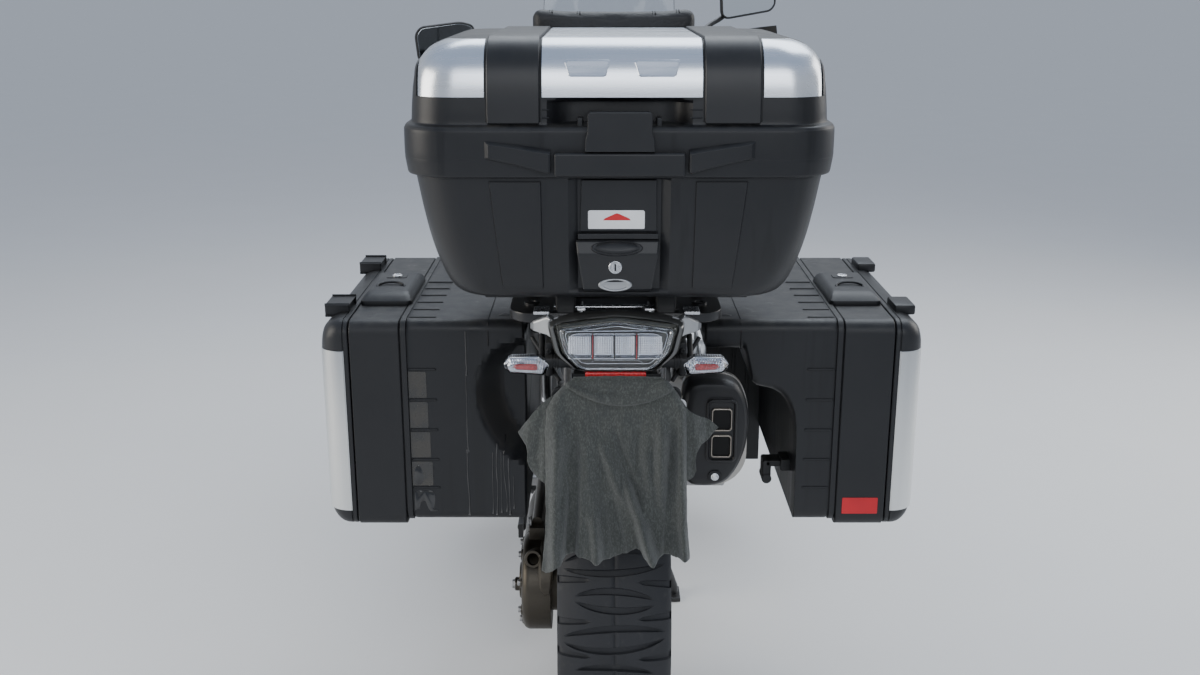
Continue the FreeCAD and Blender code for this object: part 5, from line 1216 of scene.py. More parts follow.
def wet_marks():
    """Glossy film between the slots, and runs of water on the left pannier."""
    film = Shape()
    back = at(0, (PANNIER_BACK + SET_IN) * MM, 0).y
    spans = ((581, 628, -283), (628, 677, -285), (677, 726, -287), (726, 775, -288))
    place = placed(Vector((0, back - 0.0001, 0)), (0, -1, 0))
    for low, high, inner in spans:
        outline = [(-315.5, low + 3.4), (inner - 1.5, low + 3.4), (inner, low + 5.5),
                   (inner, high - 5.5), (inner - 1.5, high - 3.4), (-315.5, high - 3.4)]
        film.slab(metres(outline), 0.00035, place, 0.0001, 1)
    piece("pannier_film", film, FILM)
    wet = Shape()
    pool = curve_through([Vector(p + (0,)) for p in (
        (-314, 542), (-312, 573), (-300, 575), (-284, 574), (-281, 560), (-283, 545),
        (-276, 542), (-288, 541), (-293, 547), (-297, 558), (-303, 556), (-306, 546))], 5)
    wet.slab([(p.x * MM, p.y * MM) for p in pool], 0.0003, place, 0.0001, 1)
    blob = curve_through([Vector(p + (0,)) for p in (
        (-314, 590), (-311, 612), (-304, 618), (-298, 600), (-301, 588), (-308, 585))], 5)
    wet.slab([(p.x * MM, p.y * MM) for p in blob], 0.00045, place, 0.0001, 1)
    runs = (
        # x, high z, low z, half width, sway
        (-226, 836, 765, 1.6, 1.0), (-227, 770, 640, 0.8, 1.2), (-228, 645, 533, 1.3, 3.0),
        (-190, 640, 536, 0.9, 2.0), (-183, 655, 533, 1.2, 3.0), (-176, 640, 538, 0.8, 1.5),
        (-170, 662, 540, 1.0, 5.0), (-163, 630, 533, 1.3, 4.0), (-157, 600, 545, 0.7, 2.0),
    )
    for number, (x, high, low, half, sway) in enumerate(runs):
        rows = []
        count = 16
        for i in range(count + 1):
            z = high + (low - high) * i / count
            drift = sway * noise.noise(Vector((number * 3.1, z * 0.018, 0.5)))
            fat = half * (0.6 + 0.9 * abs(noise.noise(Vector((number * 7.7, z * 0.05, 2.5)))))
            fat += 1.6 * math.exp(-((z - low) / 6) ** 2)
            centre = Vector((x + drift, 0, z))
            under = max(0.0, BODY_LOW + BODY_ROUND - z)
            curl = BODY_ROUND - math.sqrt(BODY_ROUND * BODY_ROUND - under * under)
            y = back + (scoop(-x, z) + curl) * MM - 0.0001
            rows.append([Vector(((centre.x - fat) * MM, y + 0.0003, z * MM)),
                         Vector(((centre.x - fat * 0.5) * MM, y - 0.0006, z * MM)),
                         Vector(((centre.x + fat * 0.5) * MM, y - 0.0006, z * MM)),
                         Vector(((centre.x + fat) * MM, y + 0.0003, z * MM))])
        wet.skin(rows)
    piece("pannier_water_runs", wet, WET, sharp=80, keep_flat=False)


BRUSHED_UP = alloy("brushed_alloy_upright", (0.76, 0.77, 0.76), 0.30, 90.0, 0.00002, 0.05,
                   (1.0, 1.0, 0.05), edge=0.0)
FILM = Finish("film", (0.034, 0.030, 0.023), 0.20, coat_weight=0.6, coat_roughness=0.08)
FILM.tint(FILM.between(FILM.noise(30.0), 0.45, 0.6, 0.0, 0.8), (0.018, 0.018, 0.018))
FILM = FILM.rough(FILM.noise(55.0), 0.12, 0.40).material
WET = Finish("wet", (0.004, 0.004, 0.005), 0.12, coat_weight=1.0, coat_roughness=0.04)
WET = WET.rough(WET.noise(90.0), 0.06, 0.2).material
WORN = plastic("worn_patch", (0.10, 0.10, 0.10), 0.55, 400.0, 0.0001, dusty=0.6)
STICKER = plastic("red_sticker", (0.62, 0.012, 0.022), 0.30, 500.0, 0.00003, dusty=0.0)

for side, outer, seam, step, ending in PANNIERS:
    pannier_body(side, outer, seam, step, ending)
    pannier_lid(side, outer, seam, ending)
    pannier_slots(side, step, ending)
    pannier_seams(side, step, ending)
    pannier_handle(side, seam, step, ending)
right_hook()
wet_marks()

# Tail: lamp, indicators, reflector, rack and tail cowl

LAMP_BACK = ((-52, 838), (52, 838), (75, 861), (85, 901), (0, 912.5), (-85, 901), (-75, 861))
LAMP_RIM = ((-50, 840), (50, 840), (72, 864), (80.5, 900), (0, 910.5), (-80.5, 900), (-72, 864))
LAMP_FACE = ((-46, 843), (46, 843), (67, 866), (75, 897), (0, 907), (-75, 897), (-67, 866))
CUPS = (
    # x from, x to, rounded corner at the top left, at the top right
    (-64, -33, 1, 0), (-30.5, -3.2, 0, 0), (-1.8, 25, 0, 0), (29, 61, 0, 1),
)
CUP_LOW, CUP_HIGH = 857.5, 891.5
INDICATOR = ((96, 832), (145, 835.5), (152.5, 845), (145, 854), (106, 855), (92, 844))
STALK = ((-11, -4), (-9, -7), (6, -7), (8, -4), (8, 4), (6, 7), (-9, 6), (-11, 3))
PLATE_MIDDLE = 0.717


def tail_lamp():
    lens = Shape()
    wall = 2.2
    rings = [upright(softened(drawn_in(LAMP_BACK, wall), 8), -370),
             upright(softened(drawn_in(LAMP_RIM, wall), 7), -381),
             upright(softened(drawn_in(LAMP_FACE, wall), 6), -389.6),
             upright(softened(drawn_in(LAMP_FACE, 16), 6), -391.2)]
    outer = [upright(softened(LAMP_BACK, 8), -370), upright(softened(LAMP_RIM, 7), -384),
             upright(softened(drawn_in(LAMP_RIM, 0.8), 7), -385.4),
             upright(softened(drawn_in(LAMP_RIM, 2.8), 7), -385.8),
             upright(softened(LAMP_FACE, 6), -390.6),
             upright(softened(drawn_in(LAMP_FACE, 1.4), 6), -392.0),
             upright(softened(drawn_in(LAMP_FACE, 16), 6), -393.4)]
    lens.skin(rings[::-1] + outer)
    piece("tail_lamp_lens", lens, LENS, sharp=30, keep_flat=False,
          stands_for=("rear_lamps",))
    body = Shape()
    body.skin([upright(softened(LAMP_BACK, 8), -360), upright(softened(LAMP_BACK, 8), -372),
               upright(softened(drawn_in(LAMP_RIM, 4), 6), -376),
               upright(softened(drawn_in(LAMP_RIM, 7), 6), -377),
               upright(softened(drawn_in(LAMP_RIM, 10), 6), -372)])
    for i in range(9):
        z = 845 + i * 1.5
        half = 42 + i * 1.2
        body.block(at(-half * MM, -0.374, z * MM), at(half * MM, -0.3722, (z + 0.8) * MM))
    piece("tail_lamp_body", body, LAMP_BODY, sharp=30)
    # Bright metal lines along the lens rim, over the cups and under them: painted highlights where light catches
    # the lens edges
    lamp_highlight_lines = Shape()
    for drop, thick, ahead in ((3.4, 0.7, -386.2), (9.0, 0.6, -382)):
        path = upright(softened(drawn_in(LAMP_RIM, drop), 6), ahead)
        lamp_highlight_lines.tube(path, thick * MM, 6, 1, closed=True)
    path = upright([(-71, 893.5), (-64, 894.5), (60, 895.5), (70, 894.0)], -383)
    lamp_highlight_lines.tube(path, 0.9 * MM, 6, 1)
    path = upright([(-35, 849), (-28, 853), (30, 853), (36, 849)], -379)
    lamp_highlight_lines.tube(path, 0.5 * MM, 6, 1)
    piece("tail_lamp_painted_highlights", lamp_highlight_lines, LAMP_HIGHLIGHT, sharp=60)
    shade = Shape()
    outline = ((-72, 895.5), (72, 896.5), (72, 897.5), (0, 906.5), (-72, 897.5))
    shade.skin(stack(outline, (0, 0, -378), (0, 0, -380)))
    piece("tail_lamp_upper_band", shade, LAMP_SHADE)
    cups = Shape()
    walls = Shape()
    for x0, x1, left, right in CUPS:
        shape_of = [(x0, CUP_LOW), (x1, CUP_LOW)]
        shape_of += [(x1, CUP_HIGH - 12), (x1 - 4, CUP_HIGH - 2), (x1 - 12, CUP_HIGH)] if right \
            else [(x1, CUP_HIGH)]
        shape_of += [(x0 + 12, CUP_HIGH), (x0 + 4, CUP_HIGH - 2), (x0, CUP_HIGH - 12)] if left \
            else [(x0, CUP_HIGH)]
        rings = stack(shape_of, (0, 2, -386), (0, 2, -378), (1.6, 2, -376.5), (6, 2, -375.6))
        back = stack(shape_of, (-0.8, 2, -386), (-0.8, 2, -374.8))
        cups.skin(rings[::-1] + back)
        bars = int((x1 - x0) / 2.9)
        for i in range(bars):
            x = x0 + (x1 - x0) * (i + 0.5) / bars
            half = (x1 - x0) / bars * 0.42
            cups.block(at((x - half) * MM, -0.3868, (CUP_LOW + 6.5) * MM),
                       at((x + half) * MM, -0.3852, (CUP_HIGH - 2.5) * MM), 0.0004, 1)
            cups.rod(at((x - half) * MM, -0.386, (CUP_LOW + 2.2) * MM),
                     at((x + half) * MM, -0.386, (CUP_LOW + 2.2) * MM), 0.0017, 8)
    piece("tail_lamp_reflectors", cups, CUP, sharp=34)
    for x in (-31.8, 27.0):
        walls.block(at((x - 1.1) * MM, -0.3885, CUP_LOW * MM),
                    at((x + 0.9) * MM, -0.376, (CUP_HIGH - 1) * MM), 0.0005, 1)
    piece("tail_lamp_red_dividers", walls, REFLECTOR)
    # Near-black blocks in the gaps beside the cups and dividers: painted shade
    lamp_gap_shade = Shape()
    for x, half in ((-33.2, 0.5), (-30.6, 0.5), (-2.5, 0.9), (25.8, 0.5), (28.4, 0.5)):
        lamp_gap_shade.block(at((x - half) * MM, -0.3884, CUP_LOW * MM),
                   at((x + half) * MM, -0.376, (CUP_HIGH - 1) * MM))
    piece("tail_lamp_gap_shade", lamp_gap_shade, CASE_LINE_AND_SHADE)
    strip = Shape()
    strip.block(at(-0.042, -0.3930, 0.8290), at(0.040, -0.3850, 0.8392), 0.0012, 2)
    piece("tail_reflector", strip, REFLECTOR, sharp=50)


def indicators():
    lens = Shape()
    inner = Shape()
    red = Shape()
    stalks = Shape()
    for side in (-1, 1):
        outline = INDICATOR if side > 0 else mirrored(INDICATOR)
        wall = 1.3
        inside = stack(outline, (wall, 3, -372), (wall + 0.4, 3, -383), (5, 3, -389.6))
        outside = stack(outline, (0, 3, -372), (0, 3, -382), (1.4, 3, -386), (4.8, 3, -391.2))
        lens.skin(inside[::-1] + outside)
        inner.skin(stack(outline, (0, 3, -356), (-0.6, 3, -362), (-0.6, 3, -373), (2.2, 3, -374.5),
                         (6.5, 3, -378), (8, 3, -376)))
        count = 13
        low_x = min(x for x, z in outline) + 8
        high_x = max(x for x, z in outline) - 7
        for i in range(count):
            x = low_x + (high_x - low_x) * i / (count - 1)
            inner.rod(at((x - 2.2) * MM, -0.3772, 0.8370), at((x + 2.2) * MM, -0.3772, 0.8520),
                      0.0011, 6)
        heart = [(123 * side + (x - 123 * side) * 0.56, 844.4 + (z - 844.4) * 0.42)
                 for x, z in outline]
        red.skin(stack(heart, (0, 2, -376), (0, 2, -383), (1.6, 2, -385.5)))
        stalks.skin([[mm(side * x, -357 + a, 845 + z) for a, z in STALK]
                     for x in (60, 78, 88, 97)])
        for x in (80, 84, 88):
            stalks.skin([[mm(side * (x + k), -357 + a * 1.12, 845 + z * 1.15)
                          for a, z in STALK] for k in (-0.8, 0.8)])
    piece("indicator_lenses", lens, LENS, sharp=30, keep_flat=False)
    piece("indicator_reflectors", inner, CUP, sharp=30)
    piece("indicator_red_hearts", red, REFLECTOR, sharp=30)
    piece("indicator_stalks", stalks, PLASTIC, sharp=40)


def tail_cowl():
    """The silver collar round the lamp, with the tail's undersides."""
    collar = Shape()
    ring_of = ((-58, 833.5), (58, 833.5), (86, 858), (96, 902), (60, 913), (0, 918), (-60, 913),
               (-96, 902), (-86, 858))
    inner = ((-53, 837), (53, 837), (76.5, 861), (86.5, 902), (45, 909.5), (0, 914),
             (-45, 909.5), (-86.5, 902), (-76.5, 861))
    front = ((-60, 812), (60, 812), (84, 830), (96, 878), (60, 886), (0, 888), (-60, 886),
             (-96, 878), (-84, 830))
    small = ((-50, 852), (50, 852), (70, 856), (84, 868), (60, 872), (0, 874), (-60, 872),
             (-84, 868), (-70, 856))
    collar.skin([upright(softened(small, 8), -52), upright(softened(front, 10), -240),
                 upright(softened(front, 10), -300),
                 upright(softened(drawn_in(ring_of, 1), 8), -352),
                 upright(softened(drawn_in(ring_of, 2.5), 8), -371),
                 upright(softened(drawn_in(ring_of, 5), 8), -376.5),
                 upright(softened(inner, 8), -377), upright(softened(inner, 8), -362)])
    # The silver collar gets the darker grey paint below: painted shade, not its own colour
    piece("tail_cowl_collar", collar, SHADED_TAIL_PAINT, sharp=34, keep_flat=False,
          stands_for=("tail_cowl",))
    ears = Shape()
    for side in (-1, 1):
        rings = []
        for x, low, high, back, front_ahead in (
                (119, 880, 890, -318, -262), (114, 878.5, 893, -326, -258),
                (95, 876, 903, -338, -252), (82, 872, 899, -356, -252),
                (62, 886, 900, -362, -254), (46, 898, 905, -362, -256)):
            rings.append([mm(side * x, a, z) for a, z in (
                (back, low), (back, high - 2), (back + 3, high), (front_ahead, high - 1),
                (front_ahead, low + 4))])
        ears.skin(rings)
    piece("tail_ears", ears, SILVER_PAINT, sharp=24, edge=0.0012)
    dark = Shape()
    for side in (-1, 1):
        dark.block(at(side * 0.092 - 0.006, -0.345, 0.818),
                   at(side * 0.092 + 0.006, -0.235, 0.868), 0.004)
        dark.rod(at(side * 0.104, -0.330, 0.838), at(side * 0.104, -0.300, 0.866), 0.004, 12)
        dark.rod(at(side * 0.078, -0.344, 0.812), at(side * 0.118, -0.300, 0.862), 0.003, 10)
        for z in (0.842, 0.856):
            dark.socket_bolt(placed(at(side * 0.092, -0.3452, z), (0, -1, 0)), 0.0035, 0.003)
    piece("tail_brackets", dark, PLASTIC)


def rack():
    deck = Shape()
    outline = ((-150, -300), (-128, -322), (128, -322), (150, -300), (150, -76), (132, -52),
               (-132, -52), (-150, -76))
    hole = ((-92, -236), (92, -236), (92, -94), (-92, -94))
    outer, inner = softened(outline, 16, 5), softened(hole, 24, 5)
    inner = resampled(inner, len(outer))
    rings = []
    for z, inset in ((889, 1.6), (890.5, 0), (901, 0), (902.6, 0.8), (903, 2.6)):
        rings.append([mm(x, y, z) for x, y in drawn_in(outer, inset)])
    for z, inset in ((903, -2.6), (902.6, -0.8), (901, 0), (890.5, 0), (889, -1.6)):
        rings.append([mm(x, y, z) for x, y in drawn_in(inner, inset)])
    deck.skin(rings, caps=False, joined=True)
    for x in (-119, 119):
        for ahead in (-270, -200, -130, -76):
            deck.lathe(((0, 0.011), (0.003, 0.011), (0.004, 0.0098), (0.004, 0.006),
                        (0.002, 0.0055), (0.002, 0.0003)),
                       placed(at(x * MM, ahead * MM, 0.9029), (0, 0, 1)), 24)
    piece("rack_deck", deck, BLACK_PAINT, sharp=36,
          stands_for=("luggage_rack",))
    posts = Shape()
    for x in (-68, 68):
        for ahead in (-296, -70):
            centre = 70 if ahead < -200 else 68
            side = 1 if x > 0 else -1
            rows = []
            for z, half, deep, shift in ((899, 13, 19, -4), (906, 13.5, 17, -3),
                                         (914, 14, 15, -1), (937.4, 14, 14, 0)):
                ring = [((centre - half) * side, ahead - deep + shift),
                        ((centre + half) * side, ahead - deep + shift),
                        ((centre + half) * side, ahead + deep), ((centre - half) * side,
                                                                 ahead + deep)]
                rows.append([mm(a, b, z) for a, b in softened(ring, 4, 3)])
            posts.skin(rows)
            posts.block(at((side * centre - 17) * MM, (ahead - 17) * MM, 0.903),
                        at((side * centre + 17) * MM, (ahead + 17) * MM, 0.9075), 0.0015)
    for x in (-94, 94):
        for ahead in (-268, -88):
            posts.block(at((x - 10) * MM, (ahead - 12) * MM, 0.864),
                        at((x + 10) * MM, (ahead + 12) * MM, 0.890), 0.002)
    piece("rack_posts", posts, PLASTIC, sharp=34)
    bar = Shape()
    bar.tube([at(x, ahead, z) for x, ahead, z in (
        (-0.086, -0.300, 0.9075), (-0.060, -0.306, 0.9085), (0.0, -0.309, 0.909),
        (0.030, -0.306, 0.9085), (0.040, -0.300, 0.9075))], 0.0026, 10, 5)
    for side in (-1, 1):
        for middle, outwards, back, front, top in ((0.050, 0.008, -0.312, -0.292, 0.9072),
                                                   (0.104, 0.012, -0.330, -0.300, 0.9075)):
            bar.block(at(side * middle - 0.010, back, 0.903),
                      at(side * middle + outwards, front, top), 0.0012)
    piece("rack_stays", bar, BRIGHT, sharp=40)


def resampled(outline, count):
    """The closed outline with a number of points evenly along it, from its lowest corner."""
    points = [Vector(p) for p in outline]
    start = min(range(len(points)), key=lambda i: points[i].x + points[i].y)
    points = points[start:] + points[:start]
    points.append(points[0])
    lengths = [0.0]
    for a, b in zip(points, points[1:]):
        lengths.append(lengths[-1] + (b - a).length)
    found = []
    for i in range(count):
        goal = lengths[-1] * i / count
        k = next(j for j in range(len(points) - 1) if lengths[j + 1] >= goal)
        share = (goal - lengths[k]) / max(1e-9, lengths[k + 1] - lengths[k])
        found.append(tuple(points[k].lerp(points[k + 1], share)))
    return found


def plate_and_holder():
    """The blank plate, its holder with the arm, and two plate screws."""
    holder = Shape()
    arm = [(-250, 800), (-340, 812), (-372, 822), (-386, 836), (-391.2, 836), (-391.2, 800),
           (-384, 797), (-340, 788), (-250, 770)]
    rings = []
    for x, inset in ((-60, 2), (-59, 0.4), (-57, 0), (57, 0), (59, 0.4), (60, 2)):
        rings.append([mm(x, y, z) for y, z in drawn_in(arm[::-1], inset)])
    holder.skin(rings)
    outline = metres(rounded_outline(-88, 88, -92, 100, 10))
    place = placed(at(0, -0.3838, PLATE_MIDDLE), (0, -1, 0))
    holder.slab(outline, 0.0074, place, 0.0015)
    for x in (-52, 0, 52):
        holder.block(at((x - 3) * MM, -0.3842, 0.640), at((x + 3) * MM, -0.3780, 0.800), 0.001)
    piece("plate_holder_body", holder, PLASTIC, sharp=34,
          stands_for=("plate_holder",))
    blank = Shape()
    outline = metres(rounded_outline(-95, 95, -85, 85, 8))
    blank.slab(outline, 0.0014, placed(at(0, -0.3922, PLATE_MIDDLE), (0, -1, 0)), 0.0005)
    piece("plate_blank", blank, WHITE, stands_for=("number_plate",))
    screws = Shape()
    for x in (-60, 60):
        screws.hex_bolt(placed(at(x * MM, -0.3830, 0.770), (0, 1, 0)), 0.005, 0.004)
    piece("plate_screws", screws, BRIGHT)


LAMP_BODY = alloy("lamp_body", (0.135, 0.133, 0.115), 0.34, 60.0, 0.00004, 0.3)
# Bright metal for the painted highlight lines on the tail lamp lens
LAMP_HIGHLIGHT = alloy("lamp_painted_highlight", (0.80, 0.84, 0.88), 0.16, 300.0, 0.0, 0.1)
LAMP_SHADE = plastic("lamp_shade", (0.060, 0.048, 0.034), 0.20, 500.0, 0.00003, dusty=0.0)
# A darker grey copy of the silver paint: painted shade on the silver collar round the lamp
SHADED_TAIL_PAINT = paint("tail_paint_painted_shade", (0.115, 0.115, 0.110), 0.34, 0.6, flake=0.00002)

tail_lamp()
indicators()
tail_cowl()
rack()
plate_and_holder()

# Cloth over the number plate, backrest pad and seats

BODY_LEFT = (
    # z, x of the cloth's left edge from the top down
    (835, -55), (829, -64), (822, -71), (808, -84), (789, -94), (756, -96), (727, -96),
    (678, -96.5), (636, -97), (604, -98), (575, -101), (548, -104),
)
BODY_RIGHT = ((835, 60), (829, 68), (822, 75), (808, 84), (787, 94), (756, 96), (727, 96),
              (678, 96.5), (629, 97.5), (576, 102), (548, 103))
HEM = (
    # x, z of the cloth's lower edge
    (-104, 553), (-97, 551), (-92, 556), (-85, 567), (-74, 573), (-62, 576.5), (-41, 576),
    (-30, 571), (-14, 570), (0, 572), (12, 577), (21, 584), (28, 587), (34, 585), (40, 573),
    (51, 571), (63, 575), (82, 574), (101, 573),
)
LEFT_SLEEVE = ((812, -80), (800, -97), (782, -113.5), (765, -125), (750, -135), (742, -129),
               (734, -123.5), (724, -122), (712, -122.4), (698, -118), (686, -107), (676, -90))
RIGHT_SLEEVE = ((812, 80), (798, 91), (787, 98), (776, 114), (769, 129), (758, 140.4),
                (751, 133), (741, 126.3), (736.5, 116), (727, 110.6), (712, 108.8), (698, 110.5),
                (688, 106), (682, 92))
FOLDS = (
    # x at the top, x at the bottom, z at the top, z at the bottom, half width, height
    (-80, -85, 800, 590, 8, 5.5), (-57, -62, 760, 575, 7, -5.0), (-38, -37, 775, 590, 9, 2.6),
    (-22, 10, 750, 655, 6, 3.0), (-2, 38, 758, 625, 5, -4.6), (13, 50, 700, 571, 7, 6.5),
    (-8, 4, 665, 571, 7, -5.0), (60, 62, 792, 655, 8, 4.0), (77, 72, 765, 590, 6, -3.6),
    (86, 95, 800, 571, 5, 3.6), (-28, -26, 645, 571, 6, 4.2), (-46, -50, 700, 590, 4, 1.8),
    (30, 28, 770, 700, 6, -2.2), (42, 46, 745, 650, 5, 2.2), (-68, -75, 690, 585, 3.5, 2.2),
)


CLOTH_THICK = 0.0011
# The cloth comes no nearer to the plate than this, in millimetres behind the rear axle
CLOTH_NEAREST = 396.2
COLUMNS, ROWS = 92, 116
PRESSURE, PRESSURE_FRAMES = 4.0, 20
# How far a pad stays inside the box of its node
PAD_INSIDE = 0.0004
STITCH_LENGTH, STITCH_ASIDE = 0.0062, 0.0042


def run_at(table, value):
    """The table's second value where its first one is the value, falling or rising."""
    rising = table[-1][0] > table[0][0]
    for (a, x), (b, y) in zip(table, table[1:]):
        if (a <= value <= b) if rising else (b <= value <= a):
            return x + (y - x) * (value - a) / (b - a)
    first, last = (table[0], table[-1]) if rising else (table[-1], table[0])
    return first[1] if value < first[0] else last[1]


def cloth_relief(x, z):
    """How far the hanging cloth stands out towards the rear, in millimetres."""
    out = 0.0
    free = 1 + 0.7 * blend_step(640, 590, z)
    for top_x, low_x, top_z, low_z, half, height in FOLDS:
        share = (top_z - z) / (top_z - low_z)
        if share < -0.1:
            continue
        middle = top_x + (low_x - top_x) * min(1.15, share)
        grow = blend_step(-0.1, 0.35, share) * (1 if low_z < 600 else 1 - blend_step(0.7, 1.2,
                                                                                   share))
        sway = 2.5 * noise.noise(Vector((top_x * 0.3, z * 0.02, 1.0)))
        out += 2.6 * height * grow * free * math.exp(-((x - middle - sway) / half) ** 2)
    fine = noise.noise(Vector((x * 0.075, z * 0.022, 4.0))) * 2.4
    fine += noise.noise(Vector((x * 0.22, z * 0.05, 9.0))) * 1.0
    fine += noise.noise(Vector((x * 0.55, z * 0.16, 3.0))) * 0.45
    out += fine * (0.35 + 0.65 * blend_step(805, 760, z))
    inner = 811.5 + 10.5 * (abs(x + 2) / 50) ** 2.2
    outer = 797.5 + 23.5 * ((x - 9) / 70) ** 2
    if z > inner:
        fold = math.sin((z - inner) * 0.55 + 0.03 * x) * 0.7
        out += -4.5 * blend_step(inner, inner + 2.5, z) + 1.6 * fold
    out -= 4.0 * math.exp(-((z - inner) / 1.5) ** 2)
    if z > outer - 2:
        out += 4.2 * blend_step(outer - 2.0, outer + 1.5, z) * blend_step(838, 824, z)
    out -= 1.6 * math.exp(-((z - outer + 4.0) / 1.8) ** 2)
    return out


def thin_sheet(shape, grid, thick):
    """A closed sheet from a grid of points, thickened away from the rear."""
    rows, columns = len(grid), len(grid[0])
    part = bmesh.new()
    fronts, backs = [], []
    for i, row in enumerate(grid):
        front, back = [], []
        for j, point in enumerate(row):
            down = grid[min(i + 1, rows - 1)][j] - grid[max(i - 1, 0)][j]
            across = row[min(j + 1, columns - 1)] - row[max(j - 1, 0)]
            away = down.cross(across).normalized()
            front.append(part.verts.new(point))
            back.append(part.verts.new(point + away * thick))
        fronts.append(front)
        backs.append(back)
    for i in range(rows - 1):
        for j in range(columns - 1):
            part.faces.new((fronts[i][j], fronts[i][j + 1], fronts[i + 1][j + 1],
                            fronts[i + 1][j]))
            part.faces.new((backs[i][j], backs[i + 1][j], backs[i + 1][j + 1],
                            backs[i][j + 1]))
    rim = [(i, 0) for i in range(rows)] + [(rows - 1, j) for j in range(1, columns)]
    rim += [(i, columns - 1) for i in range(rows - 2, -1, -1)]
    rim += [(0, j) for j in range(columns - 2, 0, -1)]
    for (a, b), (c, d) in zip(rim, rim[1:] + rim[:1]):
        part.faces.new((fronts[a][b], fronts[c][d], backs[c][d], backs[a][b]))
    bmesh.ops.recalc_face_normals(part, faces=part.faces[:])
    return shape.take(part)


def cloth():
    shape = Shape()
    columns, rows = COLUMNS, ROWS
    grid = []
    for back_z in (800, 808, 816, 824, 830):
        grid.append([at((run_at(BODY_LEFT, back_z) + 5 + (run_at(BODY_RIGHT, back_z)
                         - run_at(BODY_LEFT, back_z) - 10) * j / columns) * MM, -0.3946,
                        back_z * MM) for j in range(columns + 1)])
    for turn in (0.25, 0.5, 0.75):
        angle = math.pi * turn
        row = []
        for j in range(columns + 1):
            x = -58 + 120 * j / columns
            arch = 833.2 + 1.2 * math.cos(x * 0.03) + 0.5 * noise.noise(Vector((x * 0.1, 0, 0)))
            row.append(mm(x, -395.6 - 1.6 * (1 - math.cos(angle)),
                          arch + 1.8 * math.sin(angle) - 1))
        grid.append(row)
    for i in range(rows + 1):
        row = []
        for j in range(columns + 1):
            s = j / columns
            low_x = -104 + 207 * s
            ragged = 0.8 * noise.noise(Vector((low_x * 0.5, 7.0, 0)))
            hem = run_at(HEM, low_x) + ragged
            top = 832.5
            z = top + (hem - top) * (i / rows)
            left, right = run_at(BODY_LEFT, z), run_at(BODY_RIGHT, z)
            wander = 0.9 * noise.noise(Vector((z * 0.08, s * 3, 2.0)))
            x = left + (right - left) * s + wander
            edge = min(s, 1 - s)
            wrap = 5.0 * (1 - min(1.0, edge / 0.05)) ** 2 * blend_step(640, 700, z)
            out = 401.0 + cloth_relief(x, z) - wrap
            out += 3.0 * blend_step(650, 575, z) - 3.6 * blend_step(822, 833, z)
            row.append(mm(x, -max(CLOTH_NEAREST, out), z))
        grid.append(row)
    thin_sheet(shape, grid, CLOTH_THICK)
    for table, side in ((LEFT_SLEEVE, -1), (RIGHT_SLEEVE, 1)):
        grid = []
        levels, across = 60, 26
        high, low = table[0][0], table[-1][0]
        for i in range(levels + 1):
            z = high + (low - high) * i / levels
            outer = run_at(table, z) + 0.7 * noise.noise(Vector((z * 0.5, side, 0)))
            inner = side * min(78, abs(outer) - 4)
            row = []
            for j in range(across + 1):
                s = j / across
                x = inner + (outer - inner) * s
                away = (abs(x) - 97) / 42
                fold = 2.4 * math.sin(abs(x) * 0.17 + z * 0.035 + side)
                fold += 1.6 * noise.noise(Vector((x * 0.12, z * 0.05, 5.0 + side)))
                y = -396.6 + 15 * max(0.0, away) ** 1.2 - fold * min(1.0, max(0.0, away) * 5)
                row.append(mm(x, y, z))
            grid.append(row)
        thin_sheet(shape, grid, CLOTH_THICK)
    made = piece("plate_cloth_draped", shape, JERSEY, sharp=180,
                 keep_flat=False, stands_for=("plate_cloth",))


def stuffed(name, node, material, voxel, shrink, swell, body=BIKE):
    """A padded piece: the plain solid, remeshed, blown up a little and smoothed."""
    source = frame["nodes"][node]
    low, high = (Vector(corner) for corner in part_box(node))
    middle = (low + high) / 2
    data = source.data.copy()
    data.name = name
    for vertex in data.vertices:
        place = source.matrix_world @ vertex.co
        vertex.co = middle + Vector(a * b for a, b in zip(place - middle, shrink))
    made = bpy.data.objects.new(name, data)
    bpy.context.scene.collection.objects.link(made)
    data.materials.clear()
    data.materials.append(material)
    remesh = made.modifiers.new("remesh", "REMESH")
    remesh.mode = "VOXEL"
    remesh.voxel_size = voxel
    soften = made.modifiers.new("soften", "SMOOTH")
    soften.factor = 0.5
    soften.iterations = 4
    settle(made)
    before = [vertex.co.copy() for vertex in made.data.vertices]
    cloth_of = made.modifiers.new("cloth", "CLOTH")
    cloth_of.settings.use_pressure = True
    cloth_of.settings.uniform_pressure_force = PRESSURE
    cloth_of.settings.effector_weights.gravity = 0.0
    cloth_of.settings.quality = 5
    cloth_of.point_cache.frame_start = 1
    cloth_of.point_cache.frame_end = PRESSURE_FRAMES
    for number in range(1, PRESSURE_FRAMES + 1):
        bpy.context.scene.frame_set(number)
    settle(made)
    bpy.context.scene.frame_set(1)
    for vertex, start in zip(made.data.vertices, before):
        move = vertex.co - start
        if move.length > swell:
            vertex.co = start + move.normalized() * swell
    for vertex in made.data.vertices:
        for k in range(3):
            vertex.co[k] = min(high[k] - PAD_INSIDE, max(low[k] + PAD_INSIDE, vertex.co[k]))
    surface = made.modifiers.new("surface", "SUBSURF")
    surface.levels = 1
    surface.render_levels = 1
    settle(made)
    for polygon in made.data.polygons:
        polygon.use_smooth = True
    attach(made, body)
    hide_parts(node)
    return made


def settle(made):
    """Takes what the modifiers make as the piece's own mesh."""
    seen = made.evaluated_get(bpy.context.evaluated_depsgraph_get())
    data = bpy.data.meshes.new_from_object(seen)
    made.modifiers.clear()
    old = made.data
    made.data = data
    bpy.data.meshes.remove(old)


def on_surface(made, point, towards, lift=0.0):
    """Where a line through the point meets the piece's surface."""
    towards = Vector(towards).normalized()
    start = Vector(point) - towards * 0.4
    hit, place, normal, _ = made.ray_cast(start, towards)
    return place + normal * lift if hit else None


